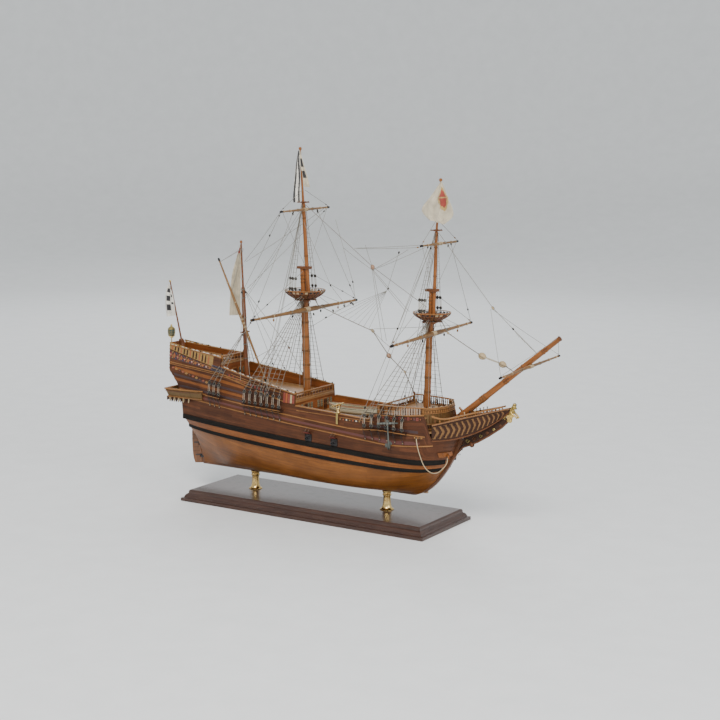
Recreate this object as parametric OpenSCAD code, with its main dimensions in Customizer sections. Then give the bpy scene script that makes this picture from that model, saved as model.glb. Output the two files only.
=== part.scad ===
// Model sailing ship: a three-masted galleon on a stepped wooden stand.
// Millimetres. +X is the bow, +Y is port, +Z is up.
// The origin is the middle of the stand's underside.

/* [Stand] */
// Length of the stand board
stand_l = 435; // [400:1:470]
// Width of the stand board
stand_w = 144; // [130:1:170]
// Thickness of the stand board
stand_h = 17; // [14:0.5:22]
// Height of each brass pedestal
pedestal_h = 28.5; // [24:0.5:34]

/* [Hull] */
// Greatest breadth of the hull, at the upper wale
beam = 118; // [112:1:122]
// Thickness of the hull planking
plank_t = 1.6; // [1.4:0.1:2]
// Height of the waist rail above the keel's underside
waist_h = 122.5; // [120:0.5:125]
// Thickness of the deck planking
deck_t = 2; // [1.6:0.1:2.4]

/* [Masts and yards] */
// Height of the main mast's truck above the stand's underside
main_tip = 547; // [530:1:560]
// Height of the fore mast's truck
fore_tip = 505; // [490:1:520]
// Height of the mizzen mast's truck
mizzen_tip = 405; // [395:1:420]
// Length of the main yard
main_yard_l = 301; // [280:1:310]
// Length of the fore yard
fore_yard_l = 286; // [270:1:300]
// Length of the main topsail yard
main_topsail_yard_l = 157; // [150:1:170]
// Length of the fore topsail yard
fore_topsail_yard_l = 112; // [98:1:118]

/* [Rigging] */
// Diameter of the lower shrouds and stays
shroud_d = 0.9; // [0.8:0.05:1.2]
// Diameter of the running lines and ratlines
line_d = 0.6; // [0.5:0.05:0.8]
// Height from one ratline to the next
ratline_step = 9; // [8:0.5:12]

/* [Hidden] */
$fn = 32;

wood = "sienna";
pale_wood = "burlywood";
dark_wood = "saddlebrown";
black_wood = [0.12, 0.11, 0.11];
rope = "tan";

gap = 0.3;                          // clearance between pieces that don't touch
keel_z = stand_h + pedestal_h;      // underside of the keel
rabbet_z = keel_z + 3;              // where the planking meets the keel
waist_z = keel_z + waist_h;         // top of the side amidships
half_keel = 2.6;                    // half the thickness of keel, stem and sternpost
pedestal_x = [-125.5, 115.5];
deck_z = 150.5;                     // top of the main deck
fcs_z = 171;                        // top of the forecastle deck
q_fwd = -12;                        // fore edge of the quarterdeck
poop_fwd = -166;                    // fore edge of the poop deck
fcs_aft = 130;                      // aft edge of the forecastle deck
fcs_fwd = 207;                      // beakhead bulkhead
widest_u = 0.58;                    // station of the greatest breadth
aft_u = 0.14;                       // aft of this station the side follows the stern's profile
fore_u = 0.6;                       // forward of this one it follows the stem's
rake = 0.13;                        // slope of the sternpost

function clamp(v, lo, hi) = min(max(v, lo), hi);
function mix(a, b, t) = a + (b - a) * t;
function ease(t) = t * t * (3 - 2 * t);
function unit(v) = v / norm(v);

// ---------- hull form ----------
// Every point of the side is given by u, 0 at the stern and 1 at the stem, and its height z.

// Aft edge of the side at height z: sternpost, tuck, counter and upper stern.
function stern_x(z) =
  z < 85 ? -223 - rake * (z - keel_z) :
  z < 112 ? mix(-228.1, -235, ease((z - 85) / 27)) :
  z < 150 ? mix(-235, -242, (z - 112) / 38) :
  z < 176 ? mix(-242, -253, (z - 150) / 26) :
  z < 196 ? mix(-253, -274, (z - 176) / 20) : mix(-274, -280, (z - 196) / 44);
// Fore edge of the stem, a parabola, and the rabbet behind it.
function stem_out(z) = 160 + sqrt(76 * max(z - keel_z, 0));
function stem_x(z) = stem_out(min(z, 138)) - 5;
// Nominal length of station u, for what follows the sheer.
function nom_x(u) = mix(-240, 238, u);
function nom_u(x) = (x + 240) / 478;
// Sheer of the upper wale's middle, where the hull is broadest.
function wale_z(x) = 105 + 0.0489 * max(215 - x, 0);
function low_wale_z(x) = wale_z(x) - mix(16, 12.5, clamp((x - 60) / 150, 0, 1));
// Sheer of the rail moulding that the channels and the gallery sit on.
function rail_z(x) = 151.7 - 0.073 * x + 7 * ease(clamp((x - 80) / 70, 0, 1));
function low_rail_z(x) =
  139.5 - 0.075 * min(x, 150) + (x > 150 ? 0.0006 * pow(x - 150, 2) : 0);
function side_top(x) =
  x < q_fwd ? waist_z - 0.073 * (x - q_fwd) :
  x < 118 ? waist_z - 0.05 * (x - q_fwd) :
  x < fcs_aft ? mix(waist_z - 6.5, waist_z, (x - 118) / 12) :
  x < 203 ? waist_z + 0.08 * (x - fcs_aft) :
  x < 213 ? mix(173.8, 138, (x - 203) / 10) : 138;
function q_rail_z(x) = 184.5 - 0.17 * (x - q_fwd);
function poop_rail_z(x) = 223.3 - 0.15 * (x - poop_fwd);
// Sheer of the mouldings along the high sides aft.
function poop_band_z(x) = 228 - 0.198 * (x + 278);
function tan_band_z(x) = 211.5 - 0.115 * (x + 271);
function q_band_z(x) = 177 - 0.207 * (x + 49);
function q_deck_z(x) = 176 - 0.065 * (x - q_fwd);
function poop_deck_z(x) = 216 - 0.09 * (x - poop_fwd);
// Half breadth at the wale.
function wale_b(u) =
  u < widest_u ? beam / 2 - (beam / 2 - 38) * pow((widest_u - u) / widest_u, 2) :
  half_keel + (beam / 2 - half_keel) * sqrt(max(1 - pow((u - widest_u) / (1 - widest_u), 5), 0));
// Fullness of the section below the wale: 3 is a flat floor, 1 is a straight V.
function full(u) =
  u < widest_u ? 3 - 2.2 * pow((widest_u - u) / widest_u, 1.3) :
  3 - 1.9 * pow((u - widest_u) / (1 - widest_u), 2);
function tumble(x) = clamp(8.8 - 0.043 * x, 3, 17);
function half_b(u, z) =
  let(w = wale_z(nom_x(u)), m = full(u), s = clamp((z - rabbet_z) / (w - rabbet_z), 0, 1))
  z >= w ? max(wale_b(u) - (u > 0.97 ? 0 : tumble(nom_x(u)) * pow((z - w) / 100, 1.3)), half_keel) :
  half_keel + (wale_b(u) - half_keel) * pow(1 - pow(1 - s, m), 1 / m);
function side_x(u, z) = nom_x(u)
  + (stern_x(z) + 240) * max(1 - u / aft_u, 0)
  + (stem_x(z) - 238) * max((u - fore_u) / (1 - fore_u), 0);
function side(u, z) = [side_x(u, z), half_b(u, z), z];
// Station of a point x long at height z.
function u_at(x, z) =
  let(d = stern_x(z) + 240, e = stem_x(z) - 238, f = 1 - fore_u)
  x < nom_x(aft_u) ? (x + 240 - d) / (478 - d / aft_u) :
  x < nom_x(fore_u) ? nom_u(x) : (x + 240 + e * fore_u / f) / (478 + e / f);
function half_at(x, z) = half_b(clamp(u_at(x, z), 0, 1), z);
// Side at height z moved outwards by d, square to the waterline.
function side_off(u, z, d) =
  let(a = side(max(u - 0.003, 0), z), b = side(min(u + 0.003, 1), z), t = unit(b - a))
  side(u, z) + d * [-t[1], t[0], 0];
// Stations closer together towards the round bow.
function station(i, n) = 1 - pow(1 - i / n, 1.7);

// ---------- lofting ----------
// Rings of 2k points each, outer points in order and then the inner ones back.
function loft_faces(nr, m) = concat(
  [for (i = [0:nr - 2], j = [0:m - 1]) [i * m + j, (i + 1) * m + j, i * m + (j + 1) % m]],
  [for (i = [0:nr - 2], j = [0:m - 1])
    [i * m + (j + 1) % m, (i + 1) * m + j, (i + 1) * m + (j + 1) % m]],
  [for (j = [0:m / 2 - 2]) [j, j + 1, m - 1 - j]],
  [for (j = [0:m / 2 - 2]) [j + 1, m - 2 - j, m - 1 - j]],
  [for (j = [0:m / 2 - 2]) (nr - 1) * m * [1, 1, 1] + [j, m - 1 - j, j + 1]],
  [for (j = [0:m / 2 - 2]) (nr - 1) * m * [1, 1, 1] + [j + 1, m - 1 - j, m - 2 - j]]
);
function flat(rings) = [for (r = rings, p = r) p];
module loft(rings) {
  polyhedron(flat(rings), loft_faces(len(rings), len(rings[0])), convexity = 8);
}
module both_sides() {
  children();
  mirror([0, 1, 0]) children();
}
// A tapered stick between two points.
module rod(p, q, r1, r2 = -1, fn = 24) {
  v = q - p;
  translate(p)
    rotate([0, acos(v[2] / norm(v)), atan2(v[1], v[0])])
      cylinder(h = norm(v), r1 = r1, r2 = r2 < 0 ? r1 : r2, $fn = fn);
}
// A spar that tapers from its middle to both ends.
module spar(c, e1, e2, r, r_end) {
  rod(c, e1, r, r_end);
  rod(c, e2, r, r_end);
}
// A strip bent round the port side, w thick and h high, following the height zf(x).
function strip_rings(us, zs, w, h, off) = [
  for (i = [0:len(us) - 1])
    let(a = side_off(us[i], zs[i], off), b = side_off(us[i], zs[i], off + w))
    [[b[0], b[1], b[2] - h / 2], [b[0], b[1], b[2] + h / 2],
     [a[0], a[1], a[2] + h / 2], [a[0], a[1], a[2] - h / 2]]
];
module strip(us, zs, w, h, off = 0.15) {
  loft(strip_rings(us, zs, w, h, off));
}
function span(u0, u1, n) = [for (i = [0:n]) mix(u0, u1, i / n)];
function bow_span(u0, n) = [for (i = [0:n]) mix(u0, 0.985, station(i, n))];

// ---------- stand ----------
module stand_plinth() color("maroon") difference() {
  union() {
    for (s = [[0, 5, 0], [5, 9, 4.5], [9, 13.5, 7], [13.5, stand_h, 11]])
      translate([-stand_l / 2 + s[2], -stand_w / 2 + s[2], s[0]])
        cube([stand_l - 2 * s[2], stand_w - 2 * s[2], s[1] - s[0]]);
  }
  for (x = pedestal_x) {
    translate([x, 0, -1]) cylinder(h = 5, r = 3.4);
    translate([x, 0, -1]) cylinder(h = stand_h + 2, r = 1.5);
  }
}
module brass_pedestals() color("gold")
  for (x = pedestal_x)
    translate([x, 0, stand_h])
      rotate_extrude($fn = 48)
        polygon([[1.6, 0], [10.5, 0], [10.5, 1.2], [8, 3.2], [6.4, 6.5], [5.8, 11], [5.4, 17],
                 [5.4, 21], [6.6, 22.5], [6.6, 24], [5.6, 25], [7, pedestal_h - 1.5],
                 [7, pedestal_h], [1.6, pedestal_h]]);
module stand_screws() color("silver")
  for (x = pedestal_x)
    translate([x, 0, 0]) {
      translate([0, 0, 1.4]) cylinder(h = 2.6, r = 3);
      translate([0, 0, 2]) cylinder(h = keel_z + 0.8, r = 1.3);
    }

// ---------- backbone ----------
module keel() color(wood) difference() {
  translate([-224, -half_keel, keel_z]) cube([224 + 160, 2 * half_keel, 3]);
  for (x = pedestal_x) translate([x, 0, keel_z - 1]) cylinder(h = 6, r = 1.4);
}
module sternpost() color(wood)
  translate([0, half_keel, 0])
    rotate([90, 0, 0])
      linear_extrude(2 * half_keel)
        polygon([[-227, keel_z], [-223.2, keel_z], [-223.2 - rake * 40, keel_z + 40], [-230, 98],
                 [-234.6, 111], [-227 - rake * 64, keel_z + 64]]);
function stem_curve(z0, z1, back, n = 14) =
  [for (i = [0:n]) let(z = mix(z0, z1, i / n)) [stem_out(z) - back, z]];
module stem() color(dark_wood)
  translate([0, half_keel, 0])
    rotate([90, 0, 0])
      linear_extrude(2 * half_keel)
        polygon(concat([[160.2, keel_z]], stem_curve(keel_z + 0.6, 137, 0),
                       [for (i = [14:-1:0]) let(z = mix(rabbet_z + 0.2, 137, i / 14))
                         [stem_x(z) - 3, z]], [[160.2, rabbet_z]]));

// ---------- planking ----------
below = 8;                          // rings of points below the wale
above = 3;                          // and above it
function skin_z(u, j) =
  let(w = wale_z(nom_x(u)), m = full(u))
  j <= below ? rabbet_z + (w - rabbet_z) * (1 - pow(cos(90 * j / below), 2 / m)) :
  mix(w, side_top(nom_x(u)), (j - below) / above);
function skin_pt(u, j) = side(u, skin_z(u, j));
function skin_in(u, j) =
  let(a = skin_pt(max(u - 0.004, 0), j), b = skin_pt(min(u + 0.004, 1), j),
      c = skin_pt(u, max(j - 0.1, 0)), d = skin_pt(u, min(j + 0.1, below + above)),
      q = skin_pt(u, j) + plank_t * unit(cross(b - a, d - c)))
  [q[0], max(q[1], half_keel), j == 0 ? rabbet_z + plank_t : q[2]];
function skin_ring(u) = concat(
  [for (j = [0:below + above]) skin_pt(u, j)],
  [for (j = [below + above:-1:0]) skin_in(u, j)]
);
skin_us = concat(span(0, 0.88, 20), [0.9, 0.92, 0.94, 0.955, 0.97, 0.98, 0.99, 0.996, 1]);
module half_planking() loft([for (u = skin_us) skin_ring(u)]);
module planking_port() color(wood) half_planking();
module planking_starboard() color(wood) mirror([0, 1, 0]) half_planking();

// Egg-crate frames that the planks are nailed to, in halves either side of the spine.
frame_x = [-205, -160, -115, -70, -5, 50, 95, 140, 180];
module bulkhead_frames() color(pale_wood) {
  for (x = frame_x)
    both_sides()
      translate([x - 1.5, 0, 0])
        rotate([90, 0, 90])
          linear_extrude(3)
            polygon(concat(
              [for (i = [0:12]) let(z = mix(rabbet_z + 4, deck_z - deck_t - gap, i / 12))
                [max(min(half_at(x - 1.5, z), half_at(x + 1.5, z), half_at(x, z - 3)) - 3, 2.2), z]],
              [[1.8, deck_z - deck_t - gap], [1.8, rabbet_z + 4]]));
  translate([-200, -1.5, rabbet_z + 2]) cube([385, 3, deck_z - deck_t - gap - rabbet_z - 2]);
}
module wales() color(black_wood)
  both_sides() {
    us = concat([0.002], bow_span(0.03, 26));
    strip(us, [for (u = us) wale_z(nom_x(u))], 1.4, 7.5);
    strip(us, [for (u = us) low_wale_z(nom_x(u))], 1.4, 5.5, 0.3);
  }
module side_mouldings() color("peru")
  both_sides() {
    us = span(0.004, 0.93, 18);
    strip(us, [for (u = us) rail_z(nom_x(u))], 1, 1.6);
    strip(us, [for (u = us) low_rail_z(nom_x(u))], 1, 1.6);
    ps = span(0.004, nom_u(poop_fwd) - 0.02, 6);
    strip(ps, [for (u = ps) poop_band_z(nom_x(u))], 0.9, 1.4, 0.2);
    ts = span(0.004, nom_u(-106), 8);
    strip(ts, [for (u = ts) tan_band_z(nom_x(u))], 0.9, 1.4, 0.2);
    qs = span(nom_u(-126), nom_u(-38), 6);
    strip(qs, [for (u = qs) q_band_z(nom_x(u))], 0.9, 1.4, 0.2);
  }

// ---------- decks ----------
function deck_rings(x0, x1, n, top, t, inset) = [
  for (i = [0:n])
    let(x = mix(x0, x1, station(i, n)), z = top(x), y = min(half_at(x, z), half_at(x, z - t)) - inset)
    [[x, y, z], [x, -y, z], [x, -y, z - t], [x, y, z - t]]
];
module main_deck() color(pale_wood)
  difference() {
    loft(deck_rings(-228, 222, 24, function(x) deck_z, deck_t, plank_t + 0.5));
    translate([main_at(deck_z)[0], 0, deck_z - 5]) cylinder(h = 9, r = 6.2);
    translate([fore_at(deck_z)[0], 0, deck_z - 5]) cylinder(h = 9, r = 5.6);
    translate([mizzen_at(deck_z)[0], 0, deck_z - 5]) cylinder(h = 9, r = 4.5);
  }
module quarterdeck() color(pale_wood)
  difference() {
    loft(deck_rings(-246, q_fwd, 14, function(x) q_deck_z(x), deck_t, plank_t + 0.6));
    translate([main_at(q_deck_z(-27))[0], 0, 170]) cylinder(h = 12, r = 6.3);
    translate([mizzen_at(184)[0], 0, 175]) cylinder(h = 18, r = 4.8);
  }
module poop_deck() color(pale_wood)
  loft(deck_rings(-272, poop_fwd + 2, 10, function(x) poop_deck_z(x), deck_t, plank_t + 0.6));
module forecastle_deck() color(pale_wood)
  difference() {
    loft(deck_rings(fcs_aft, fcs_fwd - 2.5, 10, function(x) fcs_z, deck_t, plank_t + 0.6));
    translate([fore_at(fcs_z)[0], 0, fcs_z - 5]) cylinder(h = 9, r = 5.6);
  }

// ---------- upper works ----------
// A bulwark from height za(x) to zb(x), built as a lofted wall.
function wall_rings(us, za, zb, w, off) = [
  for (u = us)
    let(x = nom_x(u), z0 = za(x), z1 = zb(x), zm = (z0 + z1) / 2,
        a0 = side_off(u, z0, off - w), a1 = side_off(u, zm, off - w), a2 = side_off(u, z1, off - w),
        b0 = side_off(u, z0, off), b1 = side_off(u, zm, off), b2 = side_off(u, z1, off))
    [b0, b1, b2, a2, a1, a0]
];
module quarterdeck_sides() color(wood)
  both_sides()
    loft(wall_rings(span(nom_u(poop_fwd + 2), nom_u(q_fwd), 10),
                    function(x) side_top(x) + 0.1, function(x) q_rail_z(x), plank_t, 0));
module poop_sides() color("indianred")
  both_sides()
    loft(wall_rings(span(0.002, nom_u(poop_fwd), 8),
                    function(x) side_top(x) + 0.1, function(x) poop_rail_z(x), plank_t, 0));
module forecastle_rails() color("peru")
  both_sides() {
    us = span(nom_u(fcs_aft + 2), nom_u(fcs_fwd - 3), 6);
    strip(us, [for (u = us) 184], 2.4, 1.8, -4.6);
    for (u = span(nom_u(fcs_aft + 4), nom_u(fcs_fwd - 5), 7)) {
      p = side_off(u, 176, -3.4);
      translate([p[0], p[1], side_top(p[0]) + 1.8]) cylinder(h = 184 - side_top(p[0]) - 2.9, r = 1);
    }
  }
module cap_rails() color("tan")
  both_sides() {
    ws = span(nom_u(q_fwd) + 0.004, nom_u(203), 14);
    strip(ws, [for (u = ws) side_top(nom_x(u)) + 0.9], 3.4, 1.6, -2.5);
    qs = span(nom_u(poop_fwd) + 0.012, nom_u(q_fwd), 8);
    strip(qs, [for (u = qs) q_rail_z(nom_x(u)) + 0.9], 3.4, 1.6, -2.5);
    ps = span(0.004, nom_u(poop_fwd), 6);
    strip(ps, [for (u = ps) poop_rail_z(nom_x(u)) + 0.9], 3.4, 1.6, -2.5);
  }
function transom_ring(z) =
  let(y = half_b(0, z) - plank_t - 0.3, x = stern_x(z))
  [[x + 0.2, y, z], [x + 0.2, -y, z], [x + 2.2, -y, z], [x + 2.2, y, z]];
module stern_transom() color(wood)
  loft([for (z = [114, 120, 130, 140, 150, 163, 176, 186, 196, 210, 225, 238.5])
        transom_ring(z)]);

// Open gallery round the stern: floor, rail and brackets.
gallery_fwd = -196;
function gallery_path(d) = [
  [gallery_fwd, -half_at(gallery_fwd, 160) - 0.4], [-235, -42 - d], [-262 - d, -42 - d],
  [-262 - d, 42 + d], [-235, 42 + d], [gallery_fwd, half_at(gallery_fwd, 160) + 0.4]
];
module gallery_ring(d_out, d_in, h)
  linear_extrude(h)
    polygon(concat(gallery_path(d_out), [for (i = [5:-1:0]) gallery_path(d_in)[i]]));
// Its wall flares from d0 at the floor to d1 under the rail.
module gallery_wall(d0, d1, z0, z1, t)
  loft([for (k = [0:5])
    let(p = gallery_path(d0)[k], q = gallery_path(d1)[k], p2 = gallery_path(d0 + t)[k],
        q2 = gallery_path(d1 + t)[k], e = k == 0 ? -1 : k == 5 ? 1 : 0)
    [[p2[0], p2[1] + e * (t + 0.3), z0], [q2[0], q2[1] + e * (t + 2), z1],
     [q[0], q[1] + e * 2, z1], [p[0], p[1] + e * 0.3, z0]]]);
module stern_gallery() color("peru") {
  translate([0, 0, 156])
    linear_extrude(1.6)
      polygon([[gallery_fwd - 1, -half_at(gallery_fwd, 156) - 0.6], [-235, -43], [-263, -43],
               [-263, 43], [-235, 43], [gallery_fwd - 1, half_at(gallery_fwd, 156) + 0.6],
               [-235, half_at(-235, 156) + 0.6], [-245.6, 33.5], [-245.6, -33.5],
               [-235, -half_at(-235, 156) - 0.6]]);
  gallery_wall(-0.6, 3.4, 157, 169, 1.4);
  translate([0, 0, 168.6]) gallery_ring(5.4, 2.6, 2.4);
  for (x = [-258:8:-234], s = [-1, 1])
    translate([x, s * 38.5 - 1, 150.5]) cube([2.4, 2, 5.5]);
  for (y = [-30:10:30]) translate([-259, y - 1.2, 149.5]) cube([13, 2.4, 6.5]);
}

// ---------- bulkheads and balustrades ----------
module bulkhead(x, z0, z1, top_half, low_half, t = 2)
  translate([x, 0, 0])
    rotate([90, 0, 90])
      linear_extrude(t)
        polygon([[-low_half, z0], [low_half, z0], [top_half, z1], [-top_half, z1]]);
module deck_bulkheads() color(dark_wood) {
  bulkhead(q_fwd - 3, deck_z + 0.1, q_deck_z(q_fwd) - 2.3, 52, 54);
  for (y = [-26, 26]) translate([q_fwd - 3, y - 5, deck_z + 1]) cube([2.8, 10, 17]);
  bulkhead(poop_fwd - 1, q_deck_z(poop_fwd) + 0.2, poop_deck_z(poop_fwd) - 2.5, 32, 37);
  translate([poop_fwd - 1, -5, q_deck_z(poop_fwd) + 1]) cube([2.8, 10, 18]);
  bulkhead(fcs_aft + 1, deck_z + 0.1, fcs_z - 2.3, 53.5, 54.5);
  for (y = [-26, 26]) translate([fcs_aft + 0.2, y - 5, deck_z + 1]) cube([2.8, 10, 15]);
}
// Round-fronted bulkhead that closes the forecastle over the beak.
function bow_arc(r, n = 12) = [for (i = [0:n]) let(a = mix(-58, 58, i / n))
  [fcs_fwd - 37 + r * cos(a), r * sin(a) * 1.02]];
module beakhead_bulkhead() color(dark_wood)
  translate([0, 0, 150.8])
    linear_extrude(182 - 150.8)
      polygon(concat(bow_arc(50), [for (i = [12:-1:0]) bow_arc(48)[i]]));
module balustrade(x, z, half, h, n) {
  translate([x - 1.2, -half, z + h - 1.6]) cube([2.4, 2 * half, 1.6]);
  translate([x - 1, -half, z + 0.1]) cube([2, 2 * half, 1.2]);
  for (i = [0:n])
    translate([x, mix(-half + 1, half - 1, i / n), z + 1.3]) cylinder(h = h - 2.9, r = 0.7);
}
module deck_balustrades() color("tan") {
  balustrade(q_fwd - 2, q_deck_z(q_fwd) + 0.3, 50, 10, 16);
  balustrade(poop_fwd - 1, poop_deck_z(poop_fwd) + 0.3, 28, 11, 9);
  balustrade(fcs_aft + 2, fcs_z + 0.1, 51, 12, 16);
  translate([0, 0, 182.2])
    linear_extrude(1.8)
      polygon(concat(bow_arc(50.6), [for (i = [12:-1:0]) bow_arc(47.4)[i]]));
}

// ---------- beak ----------
module beak_knee() color(dark_wood)
  translate([0, 2, 0])
    rotate([90, 0, 0])
      linear_extrude(4)
        polygon([[stem_out(106) + 0.3, 106], [232, 113], [242, 124], [254, 129], [262, 130], [266, 134.5],
                 [283, 145], [303, 159], [314, 170], [310, 175], [296, 167.5], [280, 157.6],
                 [258, 147.4], [244, 143], [stem_out(137) + 0.3, 136.5], [stem_out(125) + 0.3, 125],
                 [stem_out(115) + 0.3, 115]]);
// Panels either side of the beak, from the bow to the figurehead.
panel_x = [213, 224, 240, 258, 278, 298, 316];
function panel_y(x) = 3 + 37 * pow((320 - x) / 107, 2);
function panel_low(x) = 138 + 0.0044 * pow(x - 214, 2);
function panel_high(x) = 160.5 + 0.28 * (x - 213.6);
function head_rail_z(x) = panel_high(x) + 3.2 + 9 * pow(clamp((235 - x) / 22, 0, 1), 2);
function beak_strip(z0, z1, w) = [
  for (x = panel_x)
    let(y = panel_y(x))
    [[x, y + w, z0(x)], [x, y + w, z1(x)], [x, y, z1(x)], [x, y, z0(x)]]
];
module beak_panels() color("wheat")
  both_sides() {
    loft(beak_strip(function(x) panel_low(x), function(x) panel_high(x), 1.6));
    loft(beak_strip(function(x) head_rail_z(x), function(x) head_rail_z(x) + 2, 2));
    for (x = [220, 234, 248, 262, 276, 290, 304])
      translate([x, panel_y(x) + 1, panel_high(x) - 0.2])
        cylinder(h = head_rail_z(x) - panel_high(x) + 0.5, r = 0.8);
  }
module beak_grating() color("tan")
  difference() {
    translate([0, 0, 156.4])
      linear_extrude(1.6)
        polygon(concat([for (x = [222, 232, 244, 256, 268]) [x, -panel_y(x) + 0.4]],
                       [for (x = [268, 256, 244, 232, 222]) [x, panel_y(x) - 0.4]]));
    for (x = [226:6:262], y = [-10, -4, 4, 10])
      if (abs(y) < panel_y(x + 3) - 4) translate([x, y - 1.5, 150]) cube([3, 3, 10]);
  }
module figurehead() color("gold") {
  translate([314.6, 0, 172.2]) sphere(r = 4.2);
  rod([315, 0, 172], [321, 0, 187], 3.6, 3);
  translate([321.5, 0, 190.5]) sphere(r = 4.4);
  rod([321, 2, 182], [327, 3.5, 177], 1.3, 1);
  rod([321, -2, 182], [327, -3.5, 177], 1.3, 1);
  rod([323, 0, 190], [328.5, 0, 189], 2.2, 1.4);
}

// ---------- rudder ----------
rake_a = -atan(rake);
hinge_foot = [-230.4, 0, keel_z];
hinge_h = [12, 32, 52];             // heights of the hinges up the rudder
pin_r = 0.9;
barrel_bore = 0.98;
barrel_r = 2;
// Draws in the rudder's own frame: Z runs up the line of the pintles.
module on_hinge() translate(hinge_foot) rotate([0, rake_a, 0]) children();
module slab(points, t)
  translate([0, t / 2, 0]) rotate([90, 0, 0]) linear_extrude(t) polygon(points);
module rudder() color(wood)
  on_hinge() difference() {
    union() {
      slab([[0, 0.6], [-14.5, 0.6], [-17, 14], [-15.5, 36], [-13.5, 52], [-7, 62], [-5.5, 100],
            [0, 100]], 4);
      translate([0, 0, 0.6]) cylinder(h = 99.4, r = 2);
    }
    for (h = hinge_h) translate([-2.7, -4, h - 3]) cube([8, 8, 6]);
  }
module rudder_pintles() color(black_wood)
  on_hinge() for (h = hinge_h) {
    translate([0, 0, h - 2.7]) cylinder(h = 4.4, r = pin_r);
    translate([0, 0, h + 0.8]) cylinder(h = 1.8, r = 2);
    translate([-2.55, -2.6, h + 0.8]) cube([2.55, 5.2, 1.8]);
    for (s = [-1, 1]) translate([-10.5, s * 2.33 - 0.27, h + 0.8]) cube([10.5, 0.54, 1.8]);
  }
module rudder_gudgeons() color(black_wood)
  on_hinge() for (h = hinge_h)
    difference() {
      union() {
        translate([0, 0, h - 2.4]) cylinder(h = 2.8, r = barrel_r);
        translate([0, -3.2, h - 2.4]) cube([3.1, 6.4, 2.8]);
        for (s = [-1, 1]) translate([0, s * 2.95 - 0.25, h - 2.4]) cube([9.5, 0.5, 2.8]);
      }
      translate([0, 0, h - 3]) cylinder(h = 4, r = barrel_bore);
    }

// ---------- channels and deadeyes ----------
// Foremost and aftmost shroud, number of shrouds, height of the upper deadeyes over the channel.
gangs = [[-177, -157, 3, 15], [-104, -36, 7, 15], [116, 176, 6, 14]];
function gang_x(g, i) = mix(g[0], g[1], i / (g[2] - 1));
function chan_z(x) = rail_z(x) + 2.2 + (x < -20 ? 3.2 * clamp((x + 104) / 68, 0, 1) : 0);
function foot(g, i, up) =
  let(x = gang_x(g, i), z = chan_z(x) + 5.2 + up)
  [x, half_at(x, chan_z(x)) + 7.6 - up * 0.1, z];
module channels() color(black_wood)
  both_sides() for (g = gangs) {
    us = span(nom_u(g[0] - 4), nom_u(g[1] + 4), 6);
    strip(us, [for (u = us) chan_z(nom_x(u))], 9.2, 1.4, 0.4);
    for (i = [0:g[2] - 1]) {
      x = gang_x(g, i);
      z = chan_z(x);
      y = half_at(x, z);
      rod([x, y + 10.2, z - 0.4], [x - 1, half_at(x, z - 15) + 2.2, z - 15], 0.5, 0.5, 13);
      rod([x, y + 7.6, z], foot(g, i, 0) - [0, 0, eye_r - 0.1], 0.5, 0.5, 13);
      translate([x - 1, half_at(x, z - 15) + 1.6, z - 15.4]) sphere(r = 1, $fn = 16);
    }
  }
eye_r = 2.8;                        // radius of the deadeyes on the channels
top_eye_r = 2.1;                    // and of those on the tops
module disc(p, r, t) translate([p[0], p[1] + t / 2, p[2]]) rotate([90, 0, 0]) cylinder(h = t, r = r);
top_r = [31, 27.5];                 // radius of the main and fore top at the rim
top_z = [335.5, 316];               // height of their rims
top_x = [-29.9, 189.3];             // and where their middles are
function top_foot(k, i, up) =
  let(a = [-22, -10, 2][i], r = top_r[k] - 4)
  [top_x[k] + r * sin(a), r * cos(a) - up * 0.1, top_z[k] + 3.4 + up];
module deadeyes() color(black_wood)
  both_sides() {
    for (g = gangs, i = [0:g[2] - 1], up = [0, g[3]]) disc(foot(g, i, up), eye_r, 2.4);
    for (k = [0, 1], i = [0:2], up = [0, 15]) disc(top_foot(k, i, up), top_eye_r, 2);
  }

// ---------- deck fittings ----------
boat_x = 52;
boat_l = 84;
boat_y = 6;
function boat_half(t) = 11.5 * pow(max(1 - pow(abs(2 * t - 1), 2.6), 0), 0.6) + 0.6;
function boat_ring(t, w) =
  let(x = boat_x + (t - 0.5) * (boat_l - 2 * w), y = boat_half(t) - w,
      top = 164.5 + 2 * pow(2 * t - 1, 2), low = 152.6 + 3.5 * pow(abs(2 * t - 1), 3) + w)
  [for (a = [-90:22.5:90]) [x, boat_y + y * sin(a), top - (top - low) * pow(cos(a), 0.7)]];
module ships_boat() color("palegoldenrod")
  loft([for (i = [0:16]) let(t = i / 16)
    concat(boat_ring(t, 0), [for (k = [8:-1:0]) boat_ring(t, 1)[k] + [0, 0, k == 0 || k == 8 ? 0 : 0.3]])]);
module hatch_grating() color(pale_wood)
  difference() {
    translate([98, -12, deck_z + 0.2]) cube([20, 24, 2.6]);
    for (x = [101:4:114], y = [-9:4.5:9]) translate([x - 1, y - 1, deck_z + 1]) cube([2, 2, 4]);
  }
gun_at = [[15.5, 124], [61, 122]];   // length and height of each gun port
module gun_barrels() color(black_wood)
  both_sides() for (g = gun_at)
    translate([g[0], half_at(g[0], g[1]) + 0.2, g[1]])
      rotate([-90, 0, 0])
        rotate_extrude()
          polygon([[0, 0], [2, 0], [1.6, 6], [2, 6.6], [2, 7.6], [1, 7.8], [1, 5], [0, 5]]);
module port_lids() color(dark_wood)
  both_sides() for (g = gun_at)
    translate([g[0] - 5, half_at(g[0], g[1]) + 0.5, g[1] + 5.6])
      rotate([28, 0, 0]) cube([10, 8.5, 1]);

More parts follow.
